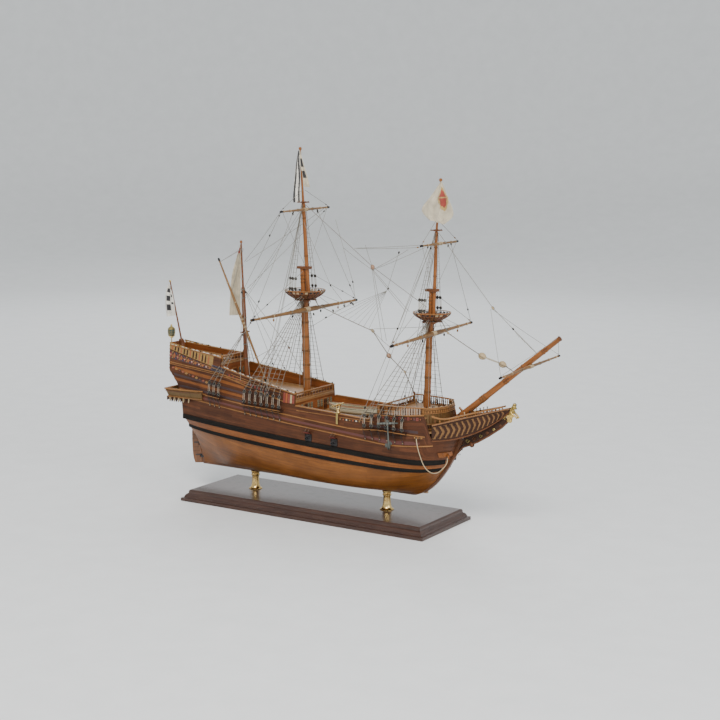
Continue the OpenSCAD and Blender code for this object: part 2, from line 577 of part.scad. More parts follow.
// Swivel gun on the starboard waist rail.
swivel_x = 66;
swivel_y = -55.4;
swivel_z = 178.1;                     // height of the trunnions
trunnion_r = 0.7;
module swivel_socket() color("gold")
  difference() {
    union() {
      translate([swivel_x - 3, swivel_y - 3.6, 166]) cube([6, 6.6, 1]);
      translate([swivel_x, swivel_y, 166]) cylinder(h = 5.1, r = 2.2);
      translate([swivel_x - 1.6, swivel_y - 4.3, 149.6]) cube([3.2, 0.8, 17.4]);
    }
    translate([swivel_x, swivel_y, 167.1]) cylinder(h = 5, r = 1.08);
  }
module swivel_yoke() color("gold")
  translate([swivel_x, swivel_y, 0])
    difference() {
      union() {
        translate([0, 0, 167.5]) cylinder(h = 4.4, r = 1);
        translate([0, 0, 171.5]) cylinder(h = 1.2, r = 2.9);
        for (s = [-1, 1]) translate([s * 2.5 - 0.4, -1.4, 172.1]) cube([0.8, 2.8, 7.6]);
      }
      translate([-4, 0, swivel_z]) rotate([0, 90, 0]) cylinder(h = 8, r = trunnion_r + 0.08);
    }
module swivel_gun() color("gold")
  translate([swivel_x, swivel_y, swivel_z]) {
    rotate([90, 0, 0])
      translate([0, 0, -7])
        rotate_extrude()
          polygon([[0, 0], [1.7, 0], [1.7, 2], [1.4, 8], [1.25, 20], [1.7, 21], [1.7, 22], [0.8, 22],
                   [0.8, 14], [0, 14]]);
    rod([0, 7, 0], [0, 14, 0.6], 0.6);
    rod([-3.4, 0, 0], [3.4, 0, 0], trunnion_r);
  }

// Anchors lashed against the bow, stock uppermost.
arm_side = [[0, -1.4], [6, 0.4], [10.5, 4.4], [13, 9.5], [8.4, 9.2], [9.4, 6.4], [5.6, 3.2], [0, 1.6]];
module anchor() {
  cylinder(h = 40, r = 1.1);
  slab(concat(arm_side, [for (i = [6:-1:1]) [-arm_side[i][0], arm_side[i][1]]]), 1.8);
  for (s = [-1, 1]) translate([s * 10.2 - 1.2, -2.8, 5.6]) cube([2.4, 5.6, 3.2]);
  translate([0, 15, 36]) rotate([90, 0, 0]) cylinder(h = 30, r = 1.5);
  translate([0, 0, 44.2]) rotate([90, 0, 0]) rotate_extrude() translate([2.6, 0]) circle(r = 0.5);
}
module anchors() color(black_wood)
  both_sides()
    translate([159, 67, 126]) rotate([0, -4, 0]) rotate([0, 0, 72]) anchor();

// ---------- hawser ----------
hawser_d = 1.3;
hawser = [
  [195, -51.5, 141.5], [196, -53, 139], [197.5, -54, 134], [199, -54, 128], [201, -53.5, 121],
  [203.5, -52.5, 113], [206.5, -51, 105], [210, -48.5, 98.5], [214, -45, 94], [218, -40, 92],
  [221.5, -34.5, 93], [224, -29, 96], [226, -24, 100], [227.3, -20.5, 104.5], [227.2, -18.6, 108.5],
  [226.2, -17.6, 111.5]
];
function smooth(p) = [for (i = [0:len(p) - 2], k = [0:2])
  let(a = p[max(i - 1, 0)], b = p[i], c = p[i + 1], d = p[min(i + 2, len(p) - 1)], t = k / 3)
  0.5 * (2 * b + (c - a) * t + (2 * a - 5 * b + 4 * c - d) * t * t
    + (3 * b - a - 3 * c + d) * t * t * t)];
function tube_ring(p, i, r, n) =
  let(a = p[max(i - 1, 0)], b = p[min(i + 1, len(p) - 1)], t = unit(b - a),
      e = unit(cross([0.31, 0.95, 0.1], t)), f = cross(t, e))
  [for (k = [0:n - 1]) p[i] + r * (cos(360 * k / n) * e + sin(360 * k / n) * f)];
module tube(points, r, n = 8) {
  p = concat(smooth(points), [points[len(points) - 1]]);
  last = (len(p) - 1) * n;
  polyhedron(
    flat([for (i = [0:len(p) - 1]) tube_ring(p, i, r, n)]),
    concat(
      [for (i = [0:len(p) - 2], k = [0:n - 1]) [i * n + k, (i + 1) * n + k, i * n + (k + 1) % n]],
      [for (i = [0:len(p) - 2], k = [0:n - 1])
        [i * n + (k + 1) % n, (i + 1) * n + k, (i + 1) * n + (k + 1) % n]],
      [[for (k = [0:n - 1]) k]], [[for (k = [n - 1:-1:0]) last + k]]),
    convexity = 6);
}
module hawser() color(rope) tube(hawser, hawser_d / 2);
module hawse_fittings() color("peru") {
  translate([195, -50.6, 143.4]) rotate([0, 0, 14]) translate([-3, -1.4, -2.4]) cube([10, 2.6, 3]);
  translate([226.6, -15.4, 112.6]) rotate([0, 0, -58]) translate([-4, -1.2, -2]) cube([8, 2.4, 4.6]);
}

// ---------- stern lantern and ensign ----------
module stern_lantern() color("gold")
  translate([-290, 0, 0]) {
    translate([0, 0, 243]) rotate_extrude()
      polygon([[0, 0], [2.4, 0], [3.2, 1.2], [5.2, 3], [6.4, 9], [6, 14], [3.4, 17], [1.6, 18.4],
               [1.2, 21], [0, 22]]);
    rod([0, 0, 233], [0, 0, 243.4], 1);
    rod([0, 0, 233.5], [8, 0, 231], 1, 1);
  }
staff_foot = [-267, 0, 229];
staff_head = [-291, 0, 334];
module ensign_staff() color(wood) {
  rod(staff_foot, staff_head, 1.5, 1);
  translate(staff_head) sphere(r = 1.8);
  rod([-267.4, 0, 227.6], [-270.6, 0, 243], 4.2, 3.4);
}
// Flags hang limp; each is a thin closed panel of the cloth's outline.
module panel(points, y, t)
  translate([0, y + t / 2, 0]) rotate([90, 0, 0]) linear_extrude(t) polygon(points);
module ensign() color("ivory")
  panel([[-291.6, 331], [-297, 329], [-300.5, 300], [-297, 276], [-289, 274], [-281.5, 283],
         [-283.5, 296]], 0, 5);

// ---------- masts ----------
function main_at(z) = [-27 - 0.0304 * (z - 192), 0, z];
function fore_at(z) = [182.4 + 0.03 * (z - 184.8), 0, z];
function mizzen_at(z) = [-140.4 - 0.0398 * (z - 193.8), 0, z];
// A topmast stands before its lower mast.
function main_top_at(z) = [-26.1 - 0.0635 * (z - 366), 0, z];
function fore_top_at(z) = [191.9 + 0.028 * (z - 306), 0, z];
main_cap_z = 368.5;
fore_cap_z = 347;
fore_truck_x = 201.5;               // the fore pole bends forward
module mast(a, b, r1, r2) rod(a, b, r1, r2, 32);
module lower_masts() color("chocolate") {
  mast(main_at(deck_z - 1.8), main_at(320.5), 5.6, 5.4);
  mast(main_at(319.5) - [1.2, 0, 0], main_at(main_cap_z) - [2, 0, 0], 4.1, 3.7);
  mast(fore_at(deck_z - 1.8), fore_at(301), 5, 4.7);
  mast(fore_at(300), fore_at(fore_cap_z), 2.9, 2.7);
}
module topmasts() color("chocolate") {
  mast(main_top_at(326), main_top_at(464), 3.1, 2.7);
  mast(main_top_at(463), main_top_at(main_tip - 3), 1.9, 1);
  translate(main_top_at(main_tip - 2)) sphere(r = 2.2);
  mast(fore_top_at(307), fore_top_at(430), 2.6, 2.3);
  mast(fore_top_at(429), [fore_truck_x, 0, fore_tip - 3], 1.7, 0.9);
  translate([fore_truck_x, 0, fore_tip - 2]) sphere(r = 2);
}
module mizzen_mast() color("chocolate") {
  mast(mizzen_at(deck_z - 1.8), mizzen_at(332), 3.9, 3);
  mast(mizzen_at(331), mizzen_at(mizzen_tip - 3), 1.7, 1.1);
  translate(mizzen_at(mizzen_tip - 2)) sphere(r = 1.9);
}
bowsprit_foot = [226, 0, 160.5];
bowsprit_head = [389, 0, 293];
module bowsprit() color("chocolate") mast(bowsprit_foot, bowsprit_head, 5.2, 3.4);

// ---------- tops and crosstrees ----------
module top_bowl(c, r, low_r, h, hole)
  translate(c)
    rotate_extrude($fn = 48)
      polygon([[r - 1.2, h], [r, h], [mix(low_r, r, 0.72), h * 0.45], [low_r + 1.6, 1], [low_r, 0], [hole, 0],
               [hole, 1.4], [low_r + 0.6, 1.5], [mix(low_r, r, 0.72) - 1.2, h * 0.48 + 0.5]]);
// The cap holds the masthead and lets the topmast pass, dx before it.
module cap(c, back, front, r_mast, r_topmast, dx, sx = 0.1)
  translate(c) difference() {
    translate([-back, -5.2, 0]) cube([back + front, 10.4, 4]);
    translate([sx, 0, -0.6]) cylinder(h = 3, r = r_mast + 0.3);
    translate([dx, 0, -1]) cylinder(h = 6, r = r_topmast + 0.4);
  }
module crosstrees(c, l) translate(c) difference() {
  union() {
    translate([-1.2, -l / 2, 0]) cube([2.4, l, 1.8]);
    translate([-l / 2.6, -1.2, 0]) cube([l / 1.3, 2.4, 1.8]);
    cylinder(h = 1.8, r = 4.6);
  }
  translate([0, 0, -1]) cylinder(h = 4, r = 3.1);
}
module mast_tops() color("peru") {
  top_bowl([top_x[0], 0, top_z[0] - 14], top_r[0], 15, 14, 7.4);
  top_bowl([top_x[1], 0, top_z[1] - 13], top_r[1], 11.4, 13, 8.8);
  cap(main_at(main_cap_z - 2), 9, 12, 3.8, 3, 6.1, -1.95);
  cap(fore_at(fore_cap_z - 2), 7, 11, 2.8, 2.5, 5.8);
  crosstrees(main_top_at(465), 22);
  crosstrees(fore_top_at(431.4), 20);
  translate(mizzen_at(262)) difference() {
    translate([-2, -10, 0]) cube([4, 20, 2]);
    translate([0, 0, -1]) cylinder(h = 4, r = 3.7);
  }
}

// ---------- yards ----------
// Each yard hangs before its mast, braced so its starboard arm points forward by angle a.
module yard(c, l, a, r, r_end) {
  d = [sin(a), -cos(a), 0] * l / 2;
  spar(c, c + d, c - d, r, r_end);
}
main_yard_c = [-21, -8, 306.5];
fore_yard_c = [194, -3, 285.3];
main_topsail_c = [-26.4, -3, 455.2];
fore_topsail_c = [200.7, 0, 413.5];
module square_yards() color("peru") {
  yard(main_yard_c, main_yard_l, 3, 3.4, 1.6);
  yard(fore_yard_c, fore_yard_l, 6, 3.2, 1.5);
  yard(main_topsail_c, main_topsail_yard_l, 7.2, 2.1, 1.1);
  yard(fore_topsail_c, fore_topsail_yard_l, 1.3, 1.9, 1);
}
lateen_low = [-98, -8, 190];
lateen_peak = [-188, -6.4, 375.5];
lateen_mid = (lateen_low + lateen_peak) / 2;
module lateen_yard() color("peru") spar(lateen_mid, lateen_low, lateen_peak, 2.3, 1.1);
spritsail_c = [346.2, 0, 250.7];
module spritsail_yard() color("peru") yard(spritsail_c, 226, 4.7, 2.2, 1.1);

// ---------- rigging ----------
main_hounds = [-30.8, 6, 318.6];
fore_hounds = [186, 5.2, 299.5];
mizzen_hounds = [-144, 4.6, 260];
hounds = [mizzen_hounds, main_hounds, fore_hounds];
top_hounds = [[-32.3, 3.3, 462.5], [195.4, 3, 428.5]];
module line(p, q, d) rod(p, q, d / 2, d / 2, 13);
function low_end(k, i) = foot(gangs[k], i, gangs[k][3]) + [0, 0, eye_r + 0.3];
module shrouds() color(rope)
  both_sides() {
    for (k = [0:2], i = [0:gangs[k][2] - 1])
      line(low_end(k, i), hounds[k] + [(i - gangs[k][2] / 2) * 1.1, 0, 0], shroud_d);
    for (k = [0, 1], i = [0:2])
      line(top_foot(k, i, 15) + [0, 0, top_eye_r + 0.3], top_hounds[k] + [(i - 1) * 1.1, 0, 0], 0.7);
    for (k = [0:2], i = [0:gangs[k][2] - 1], dx = [-0.9, 0.9])
      line(foot(gangs[k], i, 3.1) + [dx, 0, 0], foot(gangs[k], i, gangs[k][3] - 3.1) + [dx, 0, 0], line_d);
    for (k = [0, 1], i = [0:2])
      line(top_foot(k, i, 2.4), top_foot(k, i, 12.6), line_d);
  }
// Ratlines lie just outside their shrouds, from the aftmost to the foremost.
function at_height(p, q, z) = p + (q - p) * (z - p[2]) / (q[2] - p[2]);
module rung_set(a0, a1, b0, b1, z0, z1, step)
  for (z = [z0:step:z1]) {
    p = at_height(a0, a1, z);
    q = at_height(b0, b1, z);
    line(p + [-1, 1, 0], q + [1, 1, 0], line_d * 0.8);
  }
module ratlines() color(rope)
  both_sides() {
    for (k = [0:2]) {
      n = gangs[k][2] - 1;
      rung_set(low_end(k, 0), hounds[k] - [(n + 1) * 0.55, 0, 0],
               low_end(k, n), hounds[k] + [(n - 1) * 0.55, 0, 0],
               low_end(k, 0)[2] + 5, hounds[k][2] - 12, ratline_step);
    }
    for (k = [0, 1])
      rung_set(top_foot(k, 0, 15), top_hounds[k] - [1.1, 0, 0], top_foot(k, 2, 15),
               top_hounds[k] + [1.1, 0, 0], top_z[k] + 24, top_hounds[k][2] - 10, ratline_step);
  }
// A stay with a block at each bend.
module route(points, d) {
  last = len(points) - 2;
  for (i = [0:last]) {
    t = unit(points[i + 1] - points[i]);
    line(points[i] + (i > 0 ? t : t * 0), points[i + 1] - (i < last ? t : t * 0), d);
  }
  for (i = [1:1:last]) translate(points[i]) sphere(r = 1.7);
}
stay_lines = [
  [[-21, 0, 336], [-6.5, 0, 313.5], [90, 0, 281.5], [118, 0, 247], [145, 0, 225.5], [161, 0, 196],
   [166, 0, 176]],
  [[196, 0, 318], [215.6, 0, 287.6], [270, 0, 259], [305, 0, 249.3], [319, 0, 241.6]],
  [[-28, 0, 462], [90, 0, 375], [181, 0, 322]],
  [[198.6, 0, 429], [286.4, 0, 327.7], [354, 0, 269.5]],
  [[-144, 0, 330], [-60, 0, 245], [-33.5, 0, 205]]
];
module stays() color(rope)
  for (s = stay_lines) route(s, shroud_d);
function arm(c, l, a, s) = c + [sin(a), -cos(a), 0] * s * (l / 2 - 4) + [0, 0, 2.4];
run_lines = [
  for (s = [1, -1]) each [
    [arm(main_yard_c, main_yard_l, 3, s), [-30, -s * 6, 363]],
    [arm(fore_yard_c, fore_yard_l, 6, s), [190, -s * 6, 342]],
    [arm(main_topsail_c, main_topsail_yard_l, 7.2, s), [-32, -s * 3.2, 484]],
    [arm(fore_topsail_c, fore_topsail_yard_l, 1.3, s), [196.4, -s * 3, 446]],
    [arm(main_yard_c, main_yard_l, 3, s) - [2, 0, 4.4], [-158, -s * 40, 214]],
    [arm(fore_yard_c, fore_yard_l, 6, s) - [2, 0, 4.4], [90, -s * 4, 284]],
    [arm(main_topsail_c, main_topsail_yard_l, 7.2, s) - [2, 0, 4.4], [-141.5, -s * 4, 330]],
    [arm(fore_topsail_c, fore_topsail_yard_l, 1.3, s) - [2, 0, 4.4], [60, -s * 3, 401]],
    [[-62, -s * 59, 178], [-33, -s * 3.4, 452]],
    [[120, -s * 60, 164], [194, -s * 3.2, 424]]
  ]
];
module running_lines() color(rope)
  for (s = run_lines) route(s, line_d);
blocks = concat(
  [for (s = [-1, 1], y = [40, 92]) main_yard_c + [s * y * sin(3), -s * y * cos(3), -6]],
  [for (s = [-1, 1], y = [38, 88]) fore_yard_c + [s * y * sin(6), -s * y * cos(6), -6]],
  [for (s = [-1, 1]) main_topsail_c + [0, s * 40, -4.6]],
  [for (s = [-1, 1]) fore_topsail_c + [0, s * 26, -4.6]]
);
module rigging_blocks() color(pale_wood)
  for (b = blocks) translate(b) sphere(r = 1.9, $fn = 20);
module masthead_flags() color("ivory") {
  panel([[-33.6, 543], [-31, 520], [-22, 494], [-18, 470], [-27, 468], [-30, 476]], -5, 3);
  panel([[-39.5, 543], [-41.5, 520], [-46, 500], [-50, 475], [-44, 466], [-40, 480]], -5, 3);
  panel([[206, 498], [183, 473], [170, 463], [190, 440], [197, 435], [216, 448], [226, 458],
         [212, 480]], -6, 4);
  panel([[-152, 398], [-160, 370], [-176, 330], [-181, 300], [-166, 290], [-156, 300], [-157, 340]],
        6, 4);
}

stand_plinth();
brass_pedestals();
stand_screws();
keel();
sternpost();
stem();
planking_starboard();
planking_port();
bulkhead_frames();
wales();
side_mouldings();
main_deck();
quarterdeck();
poop_deck();
forecastle_deck();
quarterdeck_sides();
poop_sides();
forecastle_rails();
cap_rails();
stern_transom();
stern_gallery();
deck_bulkheads();
beakhead_bulkhead();
deck_balustrades();
beak_knee();
beak_panels();
beak_grating();
figurehead();
rudder();
rudder_pintles();
rudder_gudgeons();
channels();
deadeyes();
ships_boat();
hatch_grating();
gun_barrels();
port_lids();
swivel_gun();
swivel_yoke();
swivel_socket();
anchors();
hawser();
hawse_fittings();
stern_lantern();
ensign_staff();
ensign();
lower_masts();
topmasts();
mizzen_mast();
bowsprit();
mast_tops();
square_yards();
lateen_yard();
spritsail_yard();
shrouds();
ratlines();
stays();
running_lines();
rigging_blocks();
masthead_flags();
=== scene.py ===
"""Model sailing ship: the visual pieces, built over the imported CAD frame.

Points are worked out in millimetres in the CAD frame (+X bow, +Y port, +Z up)
and written to the meshes in metres.
"""
import math
import bmesh
import bpy
from mathutils import Matrix, Vector


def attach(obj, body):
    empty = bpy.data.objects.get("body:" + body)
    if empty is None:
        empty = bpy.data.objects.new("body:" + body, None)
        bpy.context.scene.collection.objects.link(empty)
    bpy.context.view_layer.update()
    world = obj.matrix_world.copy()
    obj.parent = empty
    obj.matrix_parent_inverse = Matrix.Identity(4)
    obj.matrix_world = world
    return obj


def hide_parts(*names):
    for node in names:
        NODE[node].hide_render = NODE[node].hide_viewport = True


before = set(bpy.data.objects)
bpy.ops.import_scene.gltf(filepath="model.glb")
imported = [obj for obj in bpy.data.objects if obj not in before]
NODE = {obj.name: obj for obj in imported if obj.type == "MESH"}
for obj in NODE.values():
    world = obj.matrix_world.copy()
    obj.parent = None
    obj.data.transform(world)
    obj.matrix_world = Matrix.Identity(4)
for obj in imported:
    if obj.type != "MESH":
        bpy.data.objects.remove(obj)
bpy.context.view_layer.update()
X, Y, Z = Vector((1, 0, 0)), Vector((0, 1, 0)), Vector((0, 0, 1))


def vec(*p):
    return Vector(p[0]) if len(p) == 1 else Vector(p)


def clamp(v, lo, hi):
    return min(max(v, lo), hi)


def mix(a, b, t):
    return a + (b - a) * t


def ease(t):
    return t * t * (3 - 2 * t)


def span(a, b, n):
    return [mix(a, b, i / n) for i in range(n + 1)]


# ------------------------------------------------------------------ hull form
BEAM, KEEL_Z, RABBET_Z, WAIST_Z, HALF_KEEL = 118.0, 45.5, 48.5, 168.0, 2.6
Q_FWD, POOP_FWD, FCS_AFT, FCS_FWD = -12.0, -166.0, 130.0, 207.0
WIDEST, AFT_U, FORE_U, RAKE = 0.58, 0.14, 0.6, 0.13
DECK_Z, FCS_Z, PLANK = 150.5, 171.0, 1.6


def stern_x(z):
    if z < 85:
        return -223 - RAKE * (z - KEEL_Z)
    if z < 112:
        return mix(-228.1, -235, ease((z - 85) / 27))
    if z < 150:
        return mix(-235, -242, (z - 112) / 38)
    if z < 176:
        return mix(-242, -253, (z - 150) / 26)
    if z < 196:
        return mix(-253, -274, (z - 176) / 20)
    return mix(-274, -280, (z - 196) / 44)


def stem_out(z):
    return 160 + math.sqrt(76 * max(z - KEEL_Z, 0))


def stem_x(z):
    return stem_out(min(z, 138)) - 5


def nom_x(u):
    return mix(-240, 238, u)


def nom_u(x):
    return (x + 240) / 478


def wale_z(x):
    return 105 + 0.0489 * max(215 - x, 0)


def low_wale_z(x):
    return wale_z(x) - mix(16, 12.5, clamp((x - 60) / 150, 0, 1))


def rail_z(x):
    return 151.7 - 0.073 * x + 7 * ease(clamp((x - 80) / 70, 0, 1))


def low_rail_z(x):
    return 139.5 - 0.075 * min(x, 150) + (0.0006 * (x - 150) ** 2 if x > 150 else 0)


def side_top(x):
    if x < Q_FWD:
        return WAIST_Z - 0.073 * (x - Q_FWD)
    if x < 118:
        return WAIST_Z - 0.05 * (x - Q_FWD)
    if x < FCS_AFT:
        return mix(WAIST_Z - 6.5, WAIST_Z, (x - 118) / 12)
    if x < 203:
        return WAIST_Z + 0.08 * (x - FCS_AFT)
    if x < 213:
        return mix(173.8, 138, (x - 203) / 10)
    return 138.0


def q_rail_z(x):
    return 184.5 - 0.17 * (x - Q_FWD)


def poop_rail_z(x):
    return 223.3 - 0.15 * (x - POOP_FWD)


def poop_band_z(x):
    return 228 - 0.198 * (x + 278)


def tan_band_z(x):
    return 211.5 - 0.115 * (x + 271)


def q_band_z(x):
    return 177 - 0.207 * (x + 49)


def q_deck_z(x):
    return 176 - 0.065 * (x - Q_FWD)


def poop_deck_z(x):
    return 216 - 0.09 * (x - POOP_FWD)


def wale_b(u):
    if u < WIDEST:
        return BEAM / 2 - (BEAM / 2 - 38) * ((WIDEST - u) / WIDEST) ** 2
    return HALF_KEEL + (BEAM / 2 - HALF_KEEL) * math.sqrt(max(1 - ((u - WIDEST) / (1 - WIDEST)) ** 5, 0))


def full(u):
    if u < WIDEST:
        return 3 - 2.2 * ((WIDEST - u) / WIDEST) ** 1.3
    return 3 - 1.9 * ((u - WIDEST) / (1 - WIDEST)) ** 2


def half_b(u, z):
    w, m = wale_z(nom_x(u)), full(u)
    if z >= w:
        tumble = 0 if u > 0.97 else clamp(8.8 - 0.043 * nom_x(u), 3, 17)
        return max(wale_b(u) - tumble * ((z - w) / 100) ** 1.3, HALF_KEEL)
    s = clamp((z - RABBET_Z) / (w - RABBET_Z), 0, 1)
    return HALF_KEEL + (wale_b(u) - HALF_KEEL) * (1 - (1 - s) ** m) ** (1 / m)


def side_x(u, z):
    return (nom_x(u) + (stern_x(z) + 240) * max(1 - u / AFT_U, 0)
            + (stem_x(z) - 238) * max((u - FORE_U) / (1 - FORE_U), 0))


def u_at(x, z):
    d, e, f = stern_x(z) + 240, stem_x(z) - 238, 1 - FORE_U
    if x < nom_x(AFT_U):
        return (x + 240 - d) / (478 - d / AFT_U)
    if x < nom_x(FORE_U):
        return nom_u(x)
    return (x + 240 + e * FORE_U / f) / (478 + e / f)


def half_at(x, z):
    return half_b(clamp(u_at(x, z), 0, 1), z)


def side(u, z):
    return vec(side_x(u, z), half_b(u, z), z)


def side_off(u, z, d):
    """Port side at station u and height z, moved outwards by d."""
    t = side(min(u + 0.003, 1), z) - side(max(u - 0.003, 0), z)
    t.normalize()
    return side(u, z) + d * vec(-t.y, t.x, 0)


def main_at(z):
    return vec(-27 - 0.0304 * (z - 192), 0, z)


def fore_at(z):
    return vec(182.4 + 0.03 * (z - 184.8), 0, z)


def main_top_at(z):
    return vec(-26.1 - 0.0635 * (z - 366), 0, z)


def fore_top_at(z):
    return vec(191.9 + 0.028 * (z - 306), 0, z)


def mizzen_at(z):
    return vec(-140.4 - 0.0398 * (z - 193.8), 0, z)


# ------------------------------------------------------------------ mesh maker
def basis(t, up=Z):
    """Two directions square to t."""
    t = t.normalized()
    if abs(t.dot(up)) > 0.95:
        up = X if abs(t.dot(X)) < 0.9 else Y
    a = up.cross(t).normalized()
    return a, t.cross(a)


class Piece:
    """One visual piece: faces with their own materials, and UVs in millimetres, u along the grain."""

    def __init__(self, name, body="ship", stands_for=(), sharp=38):
        self.name, self.body, self.stands_for, self.sharp = name, body, stands_for, sharp
        self.co, self.faces, self.uvs, self.index, self.mats = [], [], [], [], []
        self.mirror = False

    def add(self, points, faces, mat, uvs=None, grain=X):
        base = len(self.co)
        s = -1 if self.mirror else 1
        self.co += [(p[0], p[1] * s, p[2]) for p in points]
        if mat not in self.mats:
            self.mats.append(mat)
        m = self.mats.index(mat)
        for k, f in enumerate(faces):
            if uvs:
                uv = uvs[k]
            else:
                a, b, c = vec(points[f[0]]), vec(points[f[1]]), vec(points[f[2]])
                n = (b - a).cross(c - b)
                n = n.normalized() if n.length > 1e-9 else vec(0, 0, 1)
                g = grain - n * grain.dot(n)
                g = g.normalized() if g.length > 0.3 else basis(n)[0]
                h = n.cross(g)
                uv = [(g.dot(vec(points[i])), h.dot(vec(points[i])) + 7 * n.x) for i in f]
            f = [base + i for i in f]
            if self.mirror:
                f, uv = f[::-1], uv[::-1]
            self.faces.append(f)
            self.uvs.append(uv)
            self.index.append(m)

    def both(self, build):
        for self.mirror in (False, True):
            build()
        self.mirror = False

    def loft(self, rings, mat, closed=True, caps=True, u0=0.0, v_scale=1.0, vs=None, loop=False):
        """Joins rings of points; u runs from ring to ring, v round each ring."""
        n, m = len(rings[0]), len(rings)
        pts = [p for r in rings for p in r]
        faces, uvs = [], []
        us = [u0]
        for i in range(1, m + (1 if loop else 0)):
            a, b = rings[i - 1], rings[i % m]
            us.append(us[-1] + max((vec(a[0]) - vec(b[0])).length, (vec(a[n // 2]) - vec(b[n // 2])).length))
        if vs is None:
            vs, mid = [0.0], rings[m // 2]
            for j in range(1, n + 1):
                vs.append(vs[-1] + (vec(mid[j % n]) - vec(mid[j - 1])).length * v_scale)
        for i in range(m if loop else m - 1):
            i2 = (i + 1) % m
            for j in range(n if closed else n - 1):
                k = (j + 1) % n
                faces.append([i * n + j, i2 * n + j, i2 * n + k, i * n + k])
                uvs.append([(us[i], vs[j]), (us[i + 1], vs[j]), (us[i + 1], vs[j + 1]), (us[i], vs[j + 1])])
        self.add(pts, faces, mat, uvs)
        if caps and closed and not loop:
            self.add(rings[0], [list(range(n))], mat)
            self.add(rings[-1], [list(range(n))[::-1]], mat)

    def rod(self, p, q, r1, mat, r2=None, n=16, caps=True, u0=0.0):
        p, q = vec(p), vec(q)
        r2 = r1 if r2 is None else r2
        a, b = basis(q - p)
        ring = [(math.cos(2 * math.pi * k / n), math.sin(2 * math.pi * k / n)) for k in range(n)]
        rings = [[c + (a * x + b * y) * r for x, y in ring] for c, r in ((p, r1), (q, r2))]
        self.loft([r[::-1] for r in rings], mat, caps=caps, u0=u0)

    def lathe(self, p, axis, profile, mat, n=32, caps=True, start=0.0, sweep=1.0):
        """profile is a list of (radius, height along the axis)."""
        p, axis = vec(p), vec(axis).normalized()
        a, b = basis(axis)
        k2 = n if sweep == 1.0 else n + 1
        cs = [(math.cos(start + sweep * 2 * math.pi * k / n), math.sin(start + sweep * 2 * math.pi * k / n))
              for k in range(k2)]
        rings = [[p + axis * h + (a * x + b * y) * r for x, y in cs][::-1] for r, h in profile]
        self.loft(rings, mat, closed=sweep == 1.0, caps=caps)

    def ball(self, c, r, mat, n=16, squash=1.0, axis=Z):
        prof = [(r * math.sin(math.pi * i / (n // 2)), -r * squash * math.cos(math.pi * i / (n // 2)))
                for i in range(n // 2 + 1)]
        prof[0] = (0.02 * r, prof[0][1])
        prof[-1] = (0.02 * r, prof[-1][1])
        self.lathe(c, axis, prof, mat, n)

    def tube(self, points, r, mat, n=8, caps=True, u0=0.0):
        pts = [vec(p) for p in points]
        a, b = basis(pts[1] - pts[0])
        rings = []
        for i, p in enumerate(pts):
            t = (pts[min(i + 1, len(pts) - 1)] - pts[max(i - 1, 0)]).normalized()
            a = (a - t * a.dot(t)).normalized()
            b = t.cross(a)
            rr = r[i] if isinstance(r, (list, tuple)) else r
            rings.append([p + (a * math.cos(2 * math.pi * k / n) + b * math.sin(2 * math.pi * k / n)) * rr
                          for k in range(n)][::-1])
        self.loft(rings, mat, caps=caps, u0=u0, vs=[k / n for k in range(n + 1)])

    def block(self, c, size, mat, axes=(X, Y, Z), chamfer=0.15, grain=None):
        """A box with chamfered edges; axes are its own three directions."""
        c, ax = vec(c), axes
        h = [s / 2 for s in size]
        k = min([chamfer] + [0.45 * v for v in h])
        pts, where = [], {}
        for sx in (-1, 1):
            for sy in (-1, 1):
                for sz in (-1, 1):
                    for d in range(3):
                        q = [h[0] * sx, h[1] * sy, h[2] * sz]
                        for e in range(3):
                            if e != d:
                                q[e] -= k * (sx, sy, sz)[e]
                        where[(sx, sy, sz, d)] = len(pts)
                        pts.append(c + ax[0] * q[0] + ax[1] * q[1] + ax[2] * q[2])
        faces = []
        for d in range(3):
            e, f = (d + 1) % 3, (d + 2) % 3
            for s in (-1, 1):
                ring = []
                for se, sf in ((-1, -1), (1, -1), (1, 1), (-1, 1)):
                    key = [0, 0, 0]
                    key[d], key[e], key[f] = s, se, sf
                    ring.append(where[(*key, d)])
                faces.append(ring if s > 0 else ring[::-1])
            for se in (-1, 1):
                for sf in (-1, 1):
                    key = [0, 0, 0]
                    key[e], key[f] = se, sf
                    lo, hi = key[:], key[:]
                    lo[d], hi[d] = -1, 1
                    ring = [where[(*lo, e)], where[(*hi, e)], where[(*hi, f)], where[(*lo, f)]]
                    faces.append(ring if se * sf > 0 else ring[::-1])
        for sx in (-1, 1):
            for sy in (-1, 1):
                for sz in (-1, 1):
                    ring = [where[(sx, sy, sz, d)] for d in range(3)]
                    faces.append(ring if sx * sy * sz > 0 else ring[::-1])
        long_axis = grain or ax[max(range(3), key=lambda i: size[i])]
        self.add(pts, faces, mat, grain=long_axis)

    def bar(self, p, q, w, h, mat, up=Z, chamfer=0.12):
        """A rectangular bar from p to q, w wide and h high."""
        p, q = vec(p), vec(q)
        t = (q - p).normalized()
        a, b = basis(t, up)
        self.block((p + q) / 2, ((q - p).length, w, h), mat, (t, a, b), chamfer)

    def strip(self, us, zf, profile, mat):
        """Sweeps a profile of (outwards, up) pairs along the port side; zf gives the height at a station."""
        rings = []
        for u in us:
            z = zf(u)
            rings.append([side_off(u, z, o) + vec(0, 0, h) for o, h in profile])
        self.loft(rings, mat)

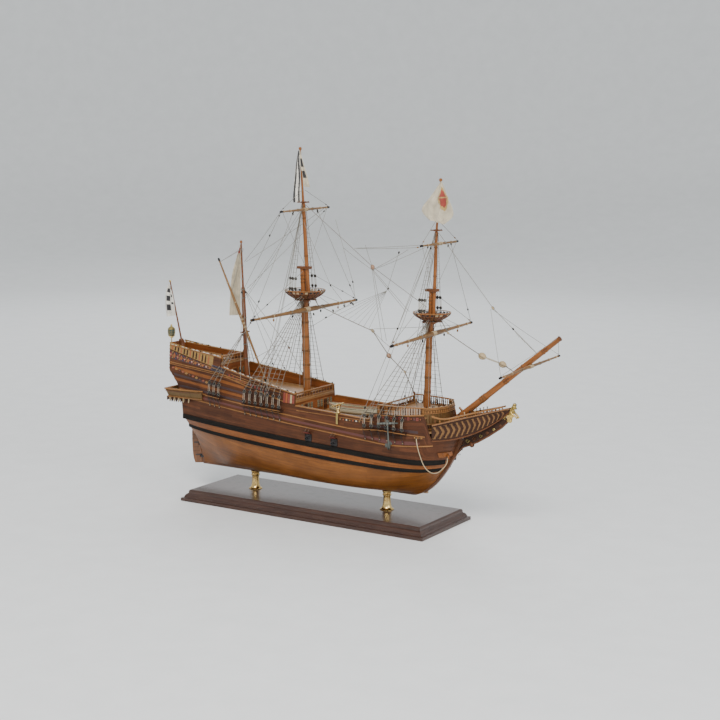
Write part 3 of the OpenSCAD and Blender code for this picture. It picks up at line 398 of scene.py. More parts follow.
    def prism(self, outline, origin, ax, ay, depth, mat, grain=X):
        """An outline of (a, b) pairs on the plane of ax and ay, made depth thick along ax x ay."""
        n = ax.cross(ay).normalized()
        o = vec(origin)
        m = len(outline)
        area = sum(outline[i][0] * outline[(i + 1) % m][1] - outline[(i + 1) % m][0] * outline[i][1]
                   for i in range(m))
        if area < 0:
            outline = outline[::-1]
        top = [o + ax * x + ay * y + n * depth / 2 for x, y in outline]
        low = [o + ax * x + ay * y - n * depth / 2 for x, y in outline]
        self.add(top, [list(range(m))], mat, grain=grain)
        self.add(low, [list(range(m))[::-1]], mat, grain=grain)
        self.add(low + top, [[i, (i + 1) % m, m + (i + 1) % m, m + i] for i in range(m)], mat, grain=grain)

    def finish(self, slot=None):
        mesh = bpy.data.meshes.new(self.name)
        mesh.from_pydata([(x / 1000, y / 1000, z / 1000) for x, y, z in self.co], [], self.faces)
        layer = mesh.uv_layers.new(name="UVMap")
        layer.data.foreach_set("uv", [c for uv in self.uvs for p in uv for c in p])
        for m in self.mats:
            mesh.materials.append(m)
        mesh.polygons.foreach_set("material_index", self.index)
        mesh.polygons.foreach_set("use_smooth", [True] * len(self.faces))
        mesh.validate()
        bm = bmesh.new()
        bm.from_mesh(mesh)
        bmesh.ops.recalc_face_normals(bm, faces=bm.faces)
        bm.to_mesh(mesh)
        bm.free()
        mesh.set_sharp_from_angle(angle=math.radians(self.sharp))
        obj = bpy.data.objects.new(self.name, mesh)
        bpy.context.scene.collection.objects.link(obj)
        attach(obj, self.body)
        if self.stands_for:
            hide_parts(*self.stands_for)
        return obj


def smooth_line(points, steps=3):
    """Catmull-Rom curve through the points."""
    p = [vec(q) for q in points]
    out = []
    for i in range(len(p) - 1):
        a, b, c, d = p[max(i - 1, 0)], p[i], p[i + 1], p[min(i + 2, len(p) - 1)]
        for k in range(steps):
            t = k / steps
            out.append(0.5 * (2 * b + (c - a) * t + (2 * a - 5 * b + 4 * c - d) * t * t
                              + (3 * b - a - 3 * c + d) * t ** 3))
    return out + [p[-1]]


# ------------------------------------------------------------------ materials
def shader(tree, kind, inputs=None, **props):
    n = tree.nodes.new(kind)
    for k, v in props.items():
        setattr(n, k, v)
    for k, v in (inputs or {}).items():
        if isinstance(v, bpy.types.NodeSocket):
            tree.links.new(v, n.inputs[k])
        else:
            n.inputs[k].default_value = v
    return n


class Mat:
    """A material being wired up: coordinates in millimetres, grain along the first one."""

    def __init__(self, name, coords="uv"):
        self.mat = bpy.data.materials.new(name)
        self.mat.use_nodes = True
        self.t = self.mat.node_tree
        self.t.nodes.clear()
        self.out = shader(self.t, "ShaderNodeOutputMaterial")
        self.bsdf = shader(self.t, "ShaderNodeBsdfPrincipled")
        self.t.links.new(self.bsdf.outputs[0], self.out.inputs[0])
        obj = shader(self.t, "ShaderNodeTexCoord").outputs["Object"]
        self.space = shader(self.t, "ShaderNodeVectorMath", {0: obj, 1: (1000, 1000, 1000)},
                            operation="MULTIPLY").outputs[0]
        if coords == "uv":
            self.co = shader(self.t, "ShaderNodeUVMap", uv_map="UVMap").outputs[0]
        else:
            s = shader(self.t, "ShaderNodeSeparateXYZ", {0: self.space}).outputs
            order = {"x": (0, 1, 2), "y": (1, 0, 2), "z": (2, 0, 1)}[coords]
            self.co = shader(self.t, "ShaderNodeCombineXYZ",
                             {i: s[k] for i, k in enumerate(order)}).outputs[0]

    def noise(self, scale, detail=3.0, rough=0.55, distortion=0.0, source=None):
        v = shader(self.t, "ShaderNodeVectorMath", {0: source or self.co, 1: scale}, operation="MULTIPLY")
        return shader(self.t, "ShaderNodeTexNoise", {"Vector": v.outputs[0], "Scale": 1.0, "Detail": detail,
                                                     "Roughness": rough, "Distortion": distortion}).outputs[0]

    def ramp(self, fac, stops):
        n = shader(self.t, "ShaderNodeValToRGB", {0: fac})
        e = n.color_ramp.elements
        while len(e) < len(stops):
            e.new(0.5)
        for el, (pos, c) in zip(e, stops):
            el.position = pos
            el.color = (*c, 1) if isinstance(c, (tuple, list)) else (c, c, c, 1)
        return n.outputs[0]

    def blend(self, fac, a, b, kind="MIX"):
        def put(v):
            return (*v, 1) if isinstance(v, (tuple, list)) else v
        return shader(self.t, "ShaderNodeMix", {0: fac, 6: put(a), 7: put(b)}, data_type="RGBA",
                      blend_type=kind).outputs[2]

    def math(self, op, a, b=0.0, c=0.0):
        return shader(self.t, "ShaderNodeMath", {0: a, 1: b, 2: c}, operation=op).outputs[0]

    def planks(self, length, height, seam=0.1, spread=0.16, offset=0.38):
        """Seams as a 0..1 mask, and a different tone for each plank."""
        b = shader(self.t, "ShaderNodeTexBrick", {"Vector": self.co, "Color1": (1 - spread,) * 3 + (1,),
                                                  "Color2": (1 + spread,) * 3 + (1,),
                                                  "Mortar": (0.35, 0.3, 0.28, 1),
                                                  "Scale": 1.0, "Mortar Size": seam, "Mortar Smooth": 0.25,
                                                  "Bias": 0.0, "Brick Width": length, "Row Height": height},
                   offset=offset, squash=1.0)
        return b.outputs[0], b.outputs[1]

    def bump(self, height, strength=0.3, distance=0.0003):
        n = shader(self.t, "ShaderNodeBump", {"Height": height, "Strength": strength, "Distance": distance})
        self.t.links.new(n.outputs[0], self.bsdf.inputs["Normal"])

    def set(self, **values):
        for k, v in values.items():
            k = k.replace("_", " ")
            if isinstance(v, bpy.types.NodeSocket):
                self.t.links.new(v, self.bsdf.inputs[k])
            else:
                is_colour = isinstance(v, (tuple, list)) and len(v) == 3
                self.bsdf.inputs[k].default_value = (*v, 1) if is_colour else v
        return self.mat


def shade(c, k):
    return tuple(min(v * k, 1.0) for v in c)


def wood(name, colour, coords="uv", planks=None, rough=0.42, contrast=0.45, grain=1.0, bump=0.35, coat=0.15,
         seam=0.1, spread=0.16, red=(1, 1, 1), spec=0.4):
    """Varnished wood: stretched grain, finer pores, slow stains, and planks where asked for."""
    m = Mat(name, coords)
    wide = m.noise((0.018 * grain, 0.42 * grain, 0.42 * grain), 5, 0.6, 1.2)
    fine = m.noise((0.09 * grain, 3.2 * grain, 3.2 * grain), 4, 0.65)
    stain = m.noise((0.035, 0.035, 0.035), 3, 0.5, 0.4, m.space)
    dark, light = shade(colour, 1 - contrast), shade(colour, 1 + contrast * 0.75)
    base = m.ramp(wide, [(0.28, dark), (0.5, colour), (0.74, light)])
    base = m.blend(0.55, base, m.ramp(fine, [(0.34, 0.62), (0.62, 1.12)]), "MULTIPLY")
    base = m.blend(0.6, base, m.ramp(stain, [(0.3, shade(red, 0.68)), (0.68, (1.16, 1.13, 1.08))]),
                   "MULTIPLY")
    height = m.math("MULTIPLY", fine, 0.35)
    if planks:
        tone, seams = m.planks(*planks, seam=seam, spread=spread)
        base = m.blend(1.0, base, tone, "MULTIPLY")
        height = m.math("SUBTRACT", height, seams)
    m.bump(height, bump, 0.00025)
    gloss = m.math("MULTIPLY_ADD", fine, 0.22, rough - 0.11)
    return m.set(Base_Color=base, Roughness=gloss, Coat_Weight=coat, Coat_Roughness=0.28,
                 Specular_IOR_Level=spec)


def paint(name, colour, worn=(0.2, 0.12, 0.06), rough=0.5, wear=0.62, coords="uv"):
    """Thin paint on wood: brush streaks, slight tone change and rubbed spots."""
    m = Mat(name, coords)
    streak = m.noise((0.12, 1.6, 1.6), 4, 0.6)
    spots = m.noise((0.22, 0.22, 0.22), 5, 0.7, 0.5, m.space)
    base = m.ramp(streak, [(0.3, shade(colour, 0.78)), (0.7, shade(colour, 1.18))])
    base = m.blend(m.ramp(spots, [(wear, 0.0), (wear + 0.07, 0.7)]), base, worn)
    m.bump(m.math("ADD", m.math("MULTIPLY", streak, 0.5), spots), 0.25, 0.00015)
    return m.set(Base_Color=base, Roughness=m.math("MULTIPLY_ADD", spots, 0.3, rough - 0.15),
                 Coat_Weight=0.08,
                 Coat_Roughness=0.3)


def metal(name, colour, tarnish, rough=0.24, metallic=1.0, cast=0.0):
    """Metal with darker tarnish in patches, fine scratches and, for castings, a lumpy skin."""
    m = Mat(name, "z")
    patch = m.noise((0.09, 0.09, 0.09), 5, 0.62, 0.8, m.space)
    scratch = m.noise((0.2, 7, 7), 3, 0.6)
    base = m.blend(m.ramp(patch, [(0.42, 0.0), (0.7, 1.0)]), colour, tarnish)
    base = m.blend(0.35, base, m.ramp(scratch, [(0.35, 0.7), (0.65, 1.15)]), "MULTIPLY")
    lumps = m.noise((0.9, 0.9, 0.9), 3, 0.6, 0.0, m.space)
    m.bump(m.math("ADD", m.math("MULTIPLY", scratch, 0.25), m.math("MULTIPLY", lumps, cast)), 0.3, 0.0003)
    return m.set(Base_Color=base, Metallic=metallic,
                 Roughness=m.math("MULTIPLY_ADD", patch, 0.3, rough - 0.1))


def rope(name, colour, pitch=1.6, strands=3, dark=0.5):
    """Laid rope: strands winding round, with painted shade darkening the grooves between them; u in
    millimetres along and v once round.
    """
    m = Mat(name)
    s = shader(m.t, "ShaderNodeSeparateXYZ", {0: m.co}).outputs
    turn = m.math("MULTIPLY_ADD", s[0], 1.0 / pitch, m.math("MULTIPLY", s[1], float(strands)))
    wave = m.math("ABSOLUTE", m.math("SINE", m.math("MULTIPLY", turn, math.pi)))
    fuzz = m.noise((1.3, 1.3, 1.3), 4, 0.7, 0.0, m.space)
    along = m.noise((0.03, 0.03, 0.03), 3, 0.6, 0.0, m.space)
    # painted shade: the colour darkens by the factor dark in the grooves between the strands
    base = m.ramp(wave, [(0.05, shade(colour, dark)), (0.6, colour)])
    base = m.blend(0.5, base, m.ramp(fuzz, [(0.3, 0.7), (0.7, 1.2)]), "MULTIPLY")
    base = m.blend(0.7, base, m.ramp(along, [(0.35, 0.72), (0.65, 1.15)]), "MULTIPLY")
    m.bump(m.math("MULTIPLY_ADD", fuzz, 0.3, wave), 0.6, 0.0002)
    return m.set(Base_Color=base, Roughness=0.86)


def cloth(name, colour, shadow=0.75, thread=0.45):
    """Woven cloth: two sets of threads with painted shade where they dip between each other, creases and a
    little soiling.
    """
    m = Mat(name)
    s = shader(m.t, "ShaderNodeSeparateXYZ", {0: m.co}).outputs
    k = math.pi / thread
    warp = m.math("ABSOLUTE", m.math("SINE", m.math("MULTIPLY", s[0], k)))
    weft = m.math("ABSOLUTE", m.math("SINE", m.math("MULTIPLY", s[1], k)))
    weave = m.math("MULTIPLY", warp, weft)
    soil = m.noise((0.08, 0.08, 0.08), 5, 0.6, 0.6, m.space)
    base = m.ramp(soil, [(0.35, shade(colour, shadow)), (0.65, shade(colour, 1.08))])
    # painted shade: the colour darkens in the lines between the threads, where the weave dips
    base = m.blend(0.45, base, m.ramp(weave, [(0.1, 0.7), (0.7, 1.1)]), "MULTIPLY")
    m.bump(weave, 0.4, 0.00012)
    return m.set(Base_Color=base, Roughness=0.9, Sheen_Weight=0.25)


# ------------------------------------------------------------------ finishes
M = {
    "hull_low": wood("hull_low_planks", (0.215, 0.078, 0.016), planks=(95, 4.6), contrast=0.32, rough=0.42,
                     coat=0.06, seam=0.08, spread=0.13, red=(1, 0.86, 0.7), spec=0.25),
    "hull_high": wood("hull_high_planks", (0.088, 0.032, 0.013), planks=(70, 3.4), contrast=0.42, rough=0.5,
                      coat=0.03, seam=0.12, spread=0.28, red=(0.95, 0.76, 0.74), spec=0.2),
    "strake": wood("orange_strake", (0.24, 0.078, 0.017), planks=(80, 4.0), contrast=0.34, rough=0.45,
                   coat=0.04, seam=0.1, spec=0.25),
    "black": wood("black_wale", (0.011, 0.0095, 0.008), planks=(85, 3.7), contrast=0.5, rough=0.6, seam=0.1,
                  spread=0.3, coat=0.0, spec=0.12),
    "ebony": wood("ebonised_wood", (0.012, 0.01, 0.01), contrast=0.5, rough=0.55, coat=0.02, spec=0.2),
    "trim": wood("tan_trim", (0.27, 0.122, 0.038), contrast=0.4, rough=0.5, bump=0.25, coat=0.04, spec=0.25),
    "cream": wood("cream_trim", (0.4, 0.3, 0.17), contrast=0.22, rough=0.5, bump=0.2, coat=0.05),
    "inner": wood("inner_bulwark", (0.25, 0.078, 0.02), planks=(60, 3.6), contrast=0.38, rough=0.5,
                  coat=0.04, spec=0.25),
    "deck": wood("deck_planks", (0.33, 0.175, 0.07), coords="x", planks=(46, 3.0), contrast=0.28, rough=0.5,
                 coat=0.05, seam=0.16, spread=0.15),
    "frame": wood("frame_wood", (0.36, 0.22, 0.11), coords="z", contrast=0.25),
    "keel": wood("keel_wood", (0.13, 0.05, 0.02), coords="x", contrast=0.3, rough=0.4),
    "post": wood("post_wood", (0.13, 0.05, 0.02), coords="z", contrast=0.3, rough=0.4),
    "dark": wood("dark_wood", (0.042, 0.017, 0.009), contrast=0.4, rough=0.5, coat=0.03, spec=0.2),
    "brown": wood("brown_wood", (0.135, 0.048, 0.016), contrast=0.38, rough=0.46, coat=0.05, spec=0.25),
    "panelled": wood("bowl_panels", (0.1, 0.04, 0.017), contrast=0.42, rough=0.46, coat=0.04, spec=0.25),
    "mast": wood("mast_wood", (0.25, 0.088, 0.022), contrast=0.38, rough=0.44, coat=0.06, grain=0.8,
                 spec=0.25),
    "yard": wood("yard_wood", (0.2, 0.102, 0.036), contrast=0.36, rough=0.48, coat=0.04, grain=0.8,
                 spec=0.25),
    "stand": wood("stand_wood", (0.05, 0.022, 0.014), contrast=0.42, rough=0.3, coat=0.3, grain=0.55,
                  bump=0.12, red=(1, 0.82, 0.74)),
    "yellow": paint("yellow_paint", (0.27, 0.155, 0.04), wear=0.72),
    "purple": paint("purple_paint", (0.036, 0.014, 0.013), wear=0.7),
    "blue": paint("blue_paint", (0.035, 0.04, 0.075), wear=0.66),
    "red": paint("red_paint", (0.2, 0.034, 0.02)),
    "red_dark": paint("dark_red_stain", (0.09, 0.022, 0.016), wear=0.66),
    "rust": paint("rust_paint", (0.3, 0.075, 0.02)),
    "beak_rail": wood("beak_rail_wood", (0.25, 0.115, 0.042), contrast=0.28, rough=0.45, bump=0.2),
    "rudder": wood("rudder_planks", (0.17, 0.07, 0.028), coords="z", planks=(60, 5.0), contrast=0.34,
                   rough=0.4, seam=0.08),
    "boat_in": paint("boat_lining", (0.3, 0.3, 0.2), wear=0.62, rough=0.5),
    "boat_line": paint("boat_strake_paint", (0.09, 0.08, 0.05), wear=0.66),
    "stay_ball": wood("stay_block_wood", (0.36, 0.2, 0.12), contrast=0.3, rough=0.45),
    "olive": wood("olive_panels", (0.13, 0.075, 0.026), coords="z", contrast=0.42, rough=0.5, coat=0.03,
                  spec=0.25),
    "mizzen": wood("mizzen_wood", (0.15, 0.05, 0.018), contrast=0.38, rough=0.44, coat=0.06, grain=0.8,
                   spec=0.25),
    "hoop": wood("mast_lashing_wood", (0.2, 0.08, 0.024), contrast=0.3, rough=0.5, coat=0.03, spec=0.25),
    "chevron": wood("chevron_wood", (0.18, 0.09, 0.032), contrast=0.3, rough=0.5, coat=0.03, spec=0.25),
    "flag_gold": cloth("gold_flag", (0.45, 0.3, 0.1)),
    "boat": paint("boat_paint", (0.56, 0.53, 0.38), wear=0.72, rough=0.42),
    "white": paint("white_paint", (0.62, 0.58, 0.48), wear=0.72),
    # near-black paint; on the gun ports it is painted shade standing for the shaded inside of the open port
    "void": paint("dark_opening", (0.012, 0.01, 0.01), worn=(0.03, 0.02, 0.015), rough=0.6),
    "pane": paint("dark_panes", (0.03, 0.055, 0.05), worn=(0.06, 0.08, 0.07), rough=0.3),
    "brass": metal("polished_brass", (0.83, 0.6, 0.24), (0.5, 0.3, 0.1), rough=0.2),
    "gilt": metal("gilt_casting", (0.72, 0.5, 0.16), (0.2, 0.16, 0.06), rough=0.34, cast=1.0),
    "old_brass": metal("dull_brass", (0.5, 0.38, 0.14), (0.16, 0.13, 0.06), rough=0.38, cast=0.4),
    "iron": metal("blackened_iron", (0.05, 0.05, 0.052), (0.022, 0.02, 0.02), rough=0.48, metallic=0.6,
                  cast=0.5),
    "steel": metal("screw_steel", (0.55, 0.55, 0.56), (0.3, 0.29, 0.28), rough=0.3),
    "pewter": metal("grey_anchor_metal", (0.12, 0.13, 0.115), (0.05, 0.06, 0.05), rough=0.5, metallic=0.5,
                    cast=0.8),
    "rope": rope("tan_rope", (0.5, 0.39, 0.24), pitch=1.5),
    "rope_dark": rope("dark_rope", (0.19, 0.155, 0.115), pitch=1.4),
    "rope_grey": rope("grey_line", (0.26, 0.24, 0.2), pitch=1.2),
    "rope_pale": rope("pale_line", (0.5, 0.44, 0.34), pitch=1.2),
    "lash": rope("lashing", (0.46, 0.34, 0.2), pitch=1.2, strands=7),
    "canvas": cloth("cream_flag", (0.56, 0.49, 0.36)),
    "flag_white": cloth("white_flag", (0.66, 0.63, 0.56)),
    "flag_black": cloth("black_flag", (0.028, 0.026, 0.028)),
    "flag_red": cloth("red_flag", (0.3, 0.045, 0.03)),
}

# CAD pieces whose shape is already right keep it and get a better finish.
KEEP = {
    "stand_screws": "steel", "keel": "keel", "sternpost": "post", "stem": "post", "bulkhead_frames": "frame",
    "main_deck": "deck", "quarterdeck": "deck", "poop_deck": "deck", "forecastle_deck": "deck",
    "rudder_pintles": "iron", "rudder_gudgeons": "iron",
}
for cad_name, finish in KEEP.items():
    mesh = NODE[cad_name].data
    mesh.materials.clear()
    mesh.materials.append(M[finish])

# ------------------------------------------------------------------ camera
# Solved from the edges of the display case: angles in radians, the eye in metres, the lens in millimetres.
AZ, EL, ROLL = 0.566206, 0.152558, 0.0010267
EYE = (1.21796, -1.80922, 0.56616)
LENS, SENSOR = 73.52, 36.0
back = vec(math.sin(AZ) * math.cos(EL), -math.cos(AZ) * math.cos(EL), math.sin(EL))
right = vec(math.cos(AZ), math.sin(AZ), 0)
up = back.cross(right)
cr, sr = math.cos(ROLL), math.sin(ROLL)
right, up = right * cr + up * sr, up * cr - right * sr
cam_data = bpy.data.cameras.new("camera")
cam_data.lens, cam_data.sensor_width = LENS, SENSOR
cam_data.clip_start, cam_data.clip_end = 0.05, 40.0
camera = bpy.data.objects.new("camera", cam_data)
bpy.context.scene.collection.objects.link(camera)
camera.matrix_world = Matrix((
    (right.x, up.x, back.x, EYE[0]), (right.y, up.y, back.y, EYE[1]), (right.z, up.z, back.z, EYE[2]),
    (0, 0, 0, 1)))
bpy.context.scene.camera = camera

# ------------------------------------------------------------------ hull planking
LOW_ROWS, HIGH_ROWS = 22, 8
hull_us = [0, 0.004] + span(0.012, 0.86,
                            64) + [mix(0.86, 1.0, math.sin(math.pi / 2 * k / 22)) for k in range(1, 23)]


def skin_z(u, j):
    w = wale_z(nom_x(u))
    if j <= LOW_ROWS:
        return RABBET_Z + (w - RABBET_Z) * (1 - math.cos(math.pi / 2 * j / LOW_ROWS) ** (2 / full(u)))
    return mix(w, side_top(nom_x(u)), (j - LOW_ROWS) / HIGH_ROWS)


def build_planking(mirror):
    p = Piece("hull_planking_" + ("starboard" if mirror else "port"),
              stands_for=["planking_starboard" if mirror else "planking_port"], sharp=50)
    p.mirror = mirror
    low, high, inside = [], [], []
    for u in hull_us:
        ring = [side(u, skin_z(u, j)) for j in range(LOW_ROWS + HIGH_ROWS + 1)]
        low.append(ring[:LOW_ROWS + 1])
        high.append(ring[LOW_ROWS:])
        top = ring[-1].z
        zs = [top] + [mix(top, 149.0, k / 4) for k in range(1, 5)] + [120, 90, 60]
        zs = [min(z, top - 0.02 * k) for k, z in enumerate(zs)]
        inside.append([side(u, top)] + [side_off(u, max(z, RABBET_Z + 1), -PLANK if half_b(u, z) > PLANK + 2.6
                                                 else -0.1) for z in zs])
    vs = [4.6 * 13 * (1 - math.cos(math.pi / 2 * j / LOW_ROWS) ** (2 / 2.4)) for j in range(LOW_ROWS + 1)]
    p.loft(low, M["hull_low"], closed=False, vs=vs)
    p.loft(high, M["hull_high"], closed=False, vs=[3.4 * 14 * k / HIGH_ROWS for k in range(HIGH_ROWS + 1)])
    vi = [0.0] + [1.6 + 4.6 * k for k in range(len(inside[0]) - 1)]
    p.loft(inside, M["inner"], closed=False, vs=vi)
    edge = []
    for k in range(24):
        z = mix(RABBET_Z, side_top(-240), k / 23)
        edge.append([side(0, z), side_off(0, z, -PLANK if half_b(0, z) > 4.4 else -0.2) + vec(0.3, 0, 0)])
    p.loft(edge, M["brown"], closed=False)
    return p.finish()


build_planking(False)
build_planking(True)

WALE = [(0.1, -3.75), (1.2, -3.75), (1.5, -3.45), (1.55, 0), (1.5, 3.45), (1.2, 3.75), (0.1, 3.75)]
LOW_WALE = [(0.2, -2.75), (1.35, -2.75), (1.65, -2.45), (1.7, 0), (1.65, 2.45), (1.35, 2.75), (0.2, 2.75)]
BEAD = [(0.1, -0.85), (0.6, -0.82), (0.98, -0.5), (1.12, 0), (0.98, 0.5), (0.6, 0.82), (0.1, 0.85)]
THIN = [(0.1, -0.5), (0.5, -0.5), (0.75, -0.2), (0.75, 0.2), (0.5, 0.5), (0.1, 0.5)]
bow_us = [0.002] + span(0.02, 0.84, 50) + [mix(0.84, 0.996, math.sin(math.pi / 2 * k / 24))
                                           for k in range(1, 25)]

wales = Piece("wales_and_strake", stands_for=["wales"])
for wales.mirror in (False, True):
    wales.strip(bow_us, lambda u: wale_z(nom_x(u)), WALE, M["black"])
    wales.strip(bow_us, lambda u: low_wale_z(nom_x(u)), LOW_WALE, M["black"])
    rings = []
    for u in bow_us:
        lo, hi = low_wale_z(nom_x(u)) + 2.4, wale_z(nom_x(u)) - 3.4
        rings.append([side_off(u, lo, 0.05), side_off(u, lo, 0.4), side_off(u, hi, 0.4),
                      side_off(u, hi, 0.05)])
    wales.loft(rings, M["strake"], vs=[0, 0.4, 9, 9.4, 18])
wales.finish()

mouldings = Piece("side_mouldings_set", stands_for=["side_mouldings"])


def bead(us, zf, profile=BEAD, mat="trim"):
    for mouldings.mirror in (False, True):
        mouldings.strip(us, zf, profile, M[mat])


bead(span(0.004, 0.93, 70), lambda u: rail_z(nom_x(u)))
bead(span(0.004, 0.955, 76), lambda u: low_rail_z(nom_x(u)))
bead(span(0.004, nom_u(POOP_FWD) - 0.005, 24), lambda u: poop_band_z(nom_x(u)), THIN)
bead(span(0.004, nom_u(-104), 30), lambda u: tan_band_z(nom_x(u)) + 1.0)
bead(span(0.004, nom_u(-104), 30), lambda u: tan_band_z(nom_x(u)) - 1.6, THIN)
bead(span(nom_u(-150), nom_u(-34), 20), lambda u: q_band_z(nom_x(u)) - 1.2)
bead(span(nom_u(-140), nom_u(-36), 20), lambda u: q_rail_z(nom_x(u)) - 4.2, THIN)
bead(span(nom_u(-8), nom_u(128), 24), lambda u: 161.6 - 0.02 * nom_x(u), THIN, "trim")
mouldings.finish()

# ------------------------------------------------------------------ upper works
works = Piece("high_bulwarks", stands_for=["quarterdeck_sides", "poop_sides"], sharp=45)


def wall(us, za, zb, rows, mat, inner, v_row=3.4):
    outer_r, inner_r, rim = [], [], []
    for u in us:
        x = nom_x(u)
        zs = [mix(za(x), zb(x), k / rows) for k in range(rows + 1)]
        o = [side_off(u, z, 0) for z in zs]
        i = [side_off(u, z, -PLANK) for z in zs]
        outer_r.append(o)
        inner_r.append(i[::-1])
        rim.append([o[-1], i[-1]])
    works.loft(outer_r, M[mat], closed=False, vs=[v_row * k for k in range(rows + 1)])
    works.loft(inner_r, M[inner], closed=False, vs=[v_row * k for k in range(rows + 1)])
    works.loft(rim, M[inner], closed=False)
    for ends in ((outer_r[0], inner_r[0], False), (outer_r[-1], inner_r[-1], True)):
        ring = list(ends[0]) + list(ends[1])
        works.add(ring, [list(range(len(ring)))[::1 if ends[2] else -1]], M[mat])


for works.mirror in (False, True):
    wall(span(nom_u(POOP_FWD + 2), nom_u(Q_FWD), 32), lambda x: side_top(x) + 0.1, q_rail_z, 8, "hull_high",
         "inner")
    wall(span(0.002, nom_u(POOP_FWD), 26), lambda x: side_top(x) + 0.1, poop_rail_z, 10, "hull_high", "inner")
works.finish()

# Painted bands, laid on the bulwarks as thin shaped pieces.
bands = Piece("painted_bands")


def patch(corners, mat, lift=0.12, thick=0.14):
    """A thin painted piece on the side; corners are (x, z) pairs, in order."""
    def at(x, z, d):
        return side_off(clamp(u_at(x, z), 0.001, 1), z, d)
    n = len(corners)
    cx = sum(c[0] for c in corners) / n
    cz = sum(c[1] for c in corners) / n
    ring = [at(x, z, lift) for x, z in corners]
    top = [at(mix(x, cx, 0.04), mix(z, cz, 0.04), lift + thick) for x, z in corners]
    order = list(range(n))
    if (ring[1] - ring[0]).cross(ring[2] - ring[1]).y < 0:
        order = order[::-1]
    idx = [n + k for k in order]
    faces = [idx] + [[order[k], order[(k + 1) % n], idx[(k + 1) % n], idx[k]] for k in range(n)]
    bands.add(ring + top, faces, M[mat])


def band(x0, x1, lo, hi, mat, steps=18, lift=0.06):
    us = [clamp(u_at(x, (lo(x) + hi(x)) / 2), 0.002, 1) for x in span(x0, x1, steps)]
    rings = []
    for x, u in zip(span(x0, x1, steps), us):
        a, b = lo(x), hi(x)
        rings.append([side_off(u, a, 0), side_off(u, a, lift), side_off(u, b, lift), side_off(u, b, 0)])
    bands.loft(rings, M[mat], vs=[0, 0.1, 5, 5.1, 6])


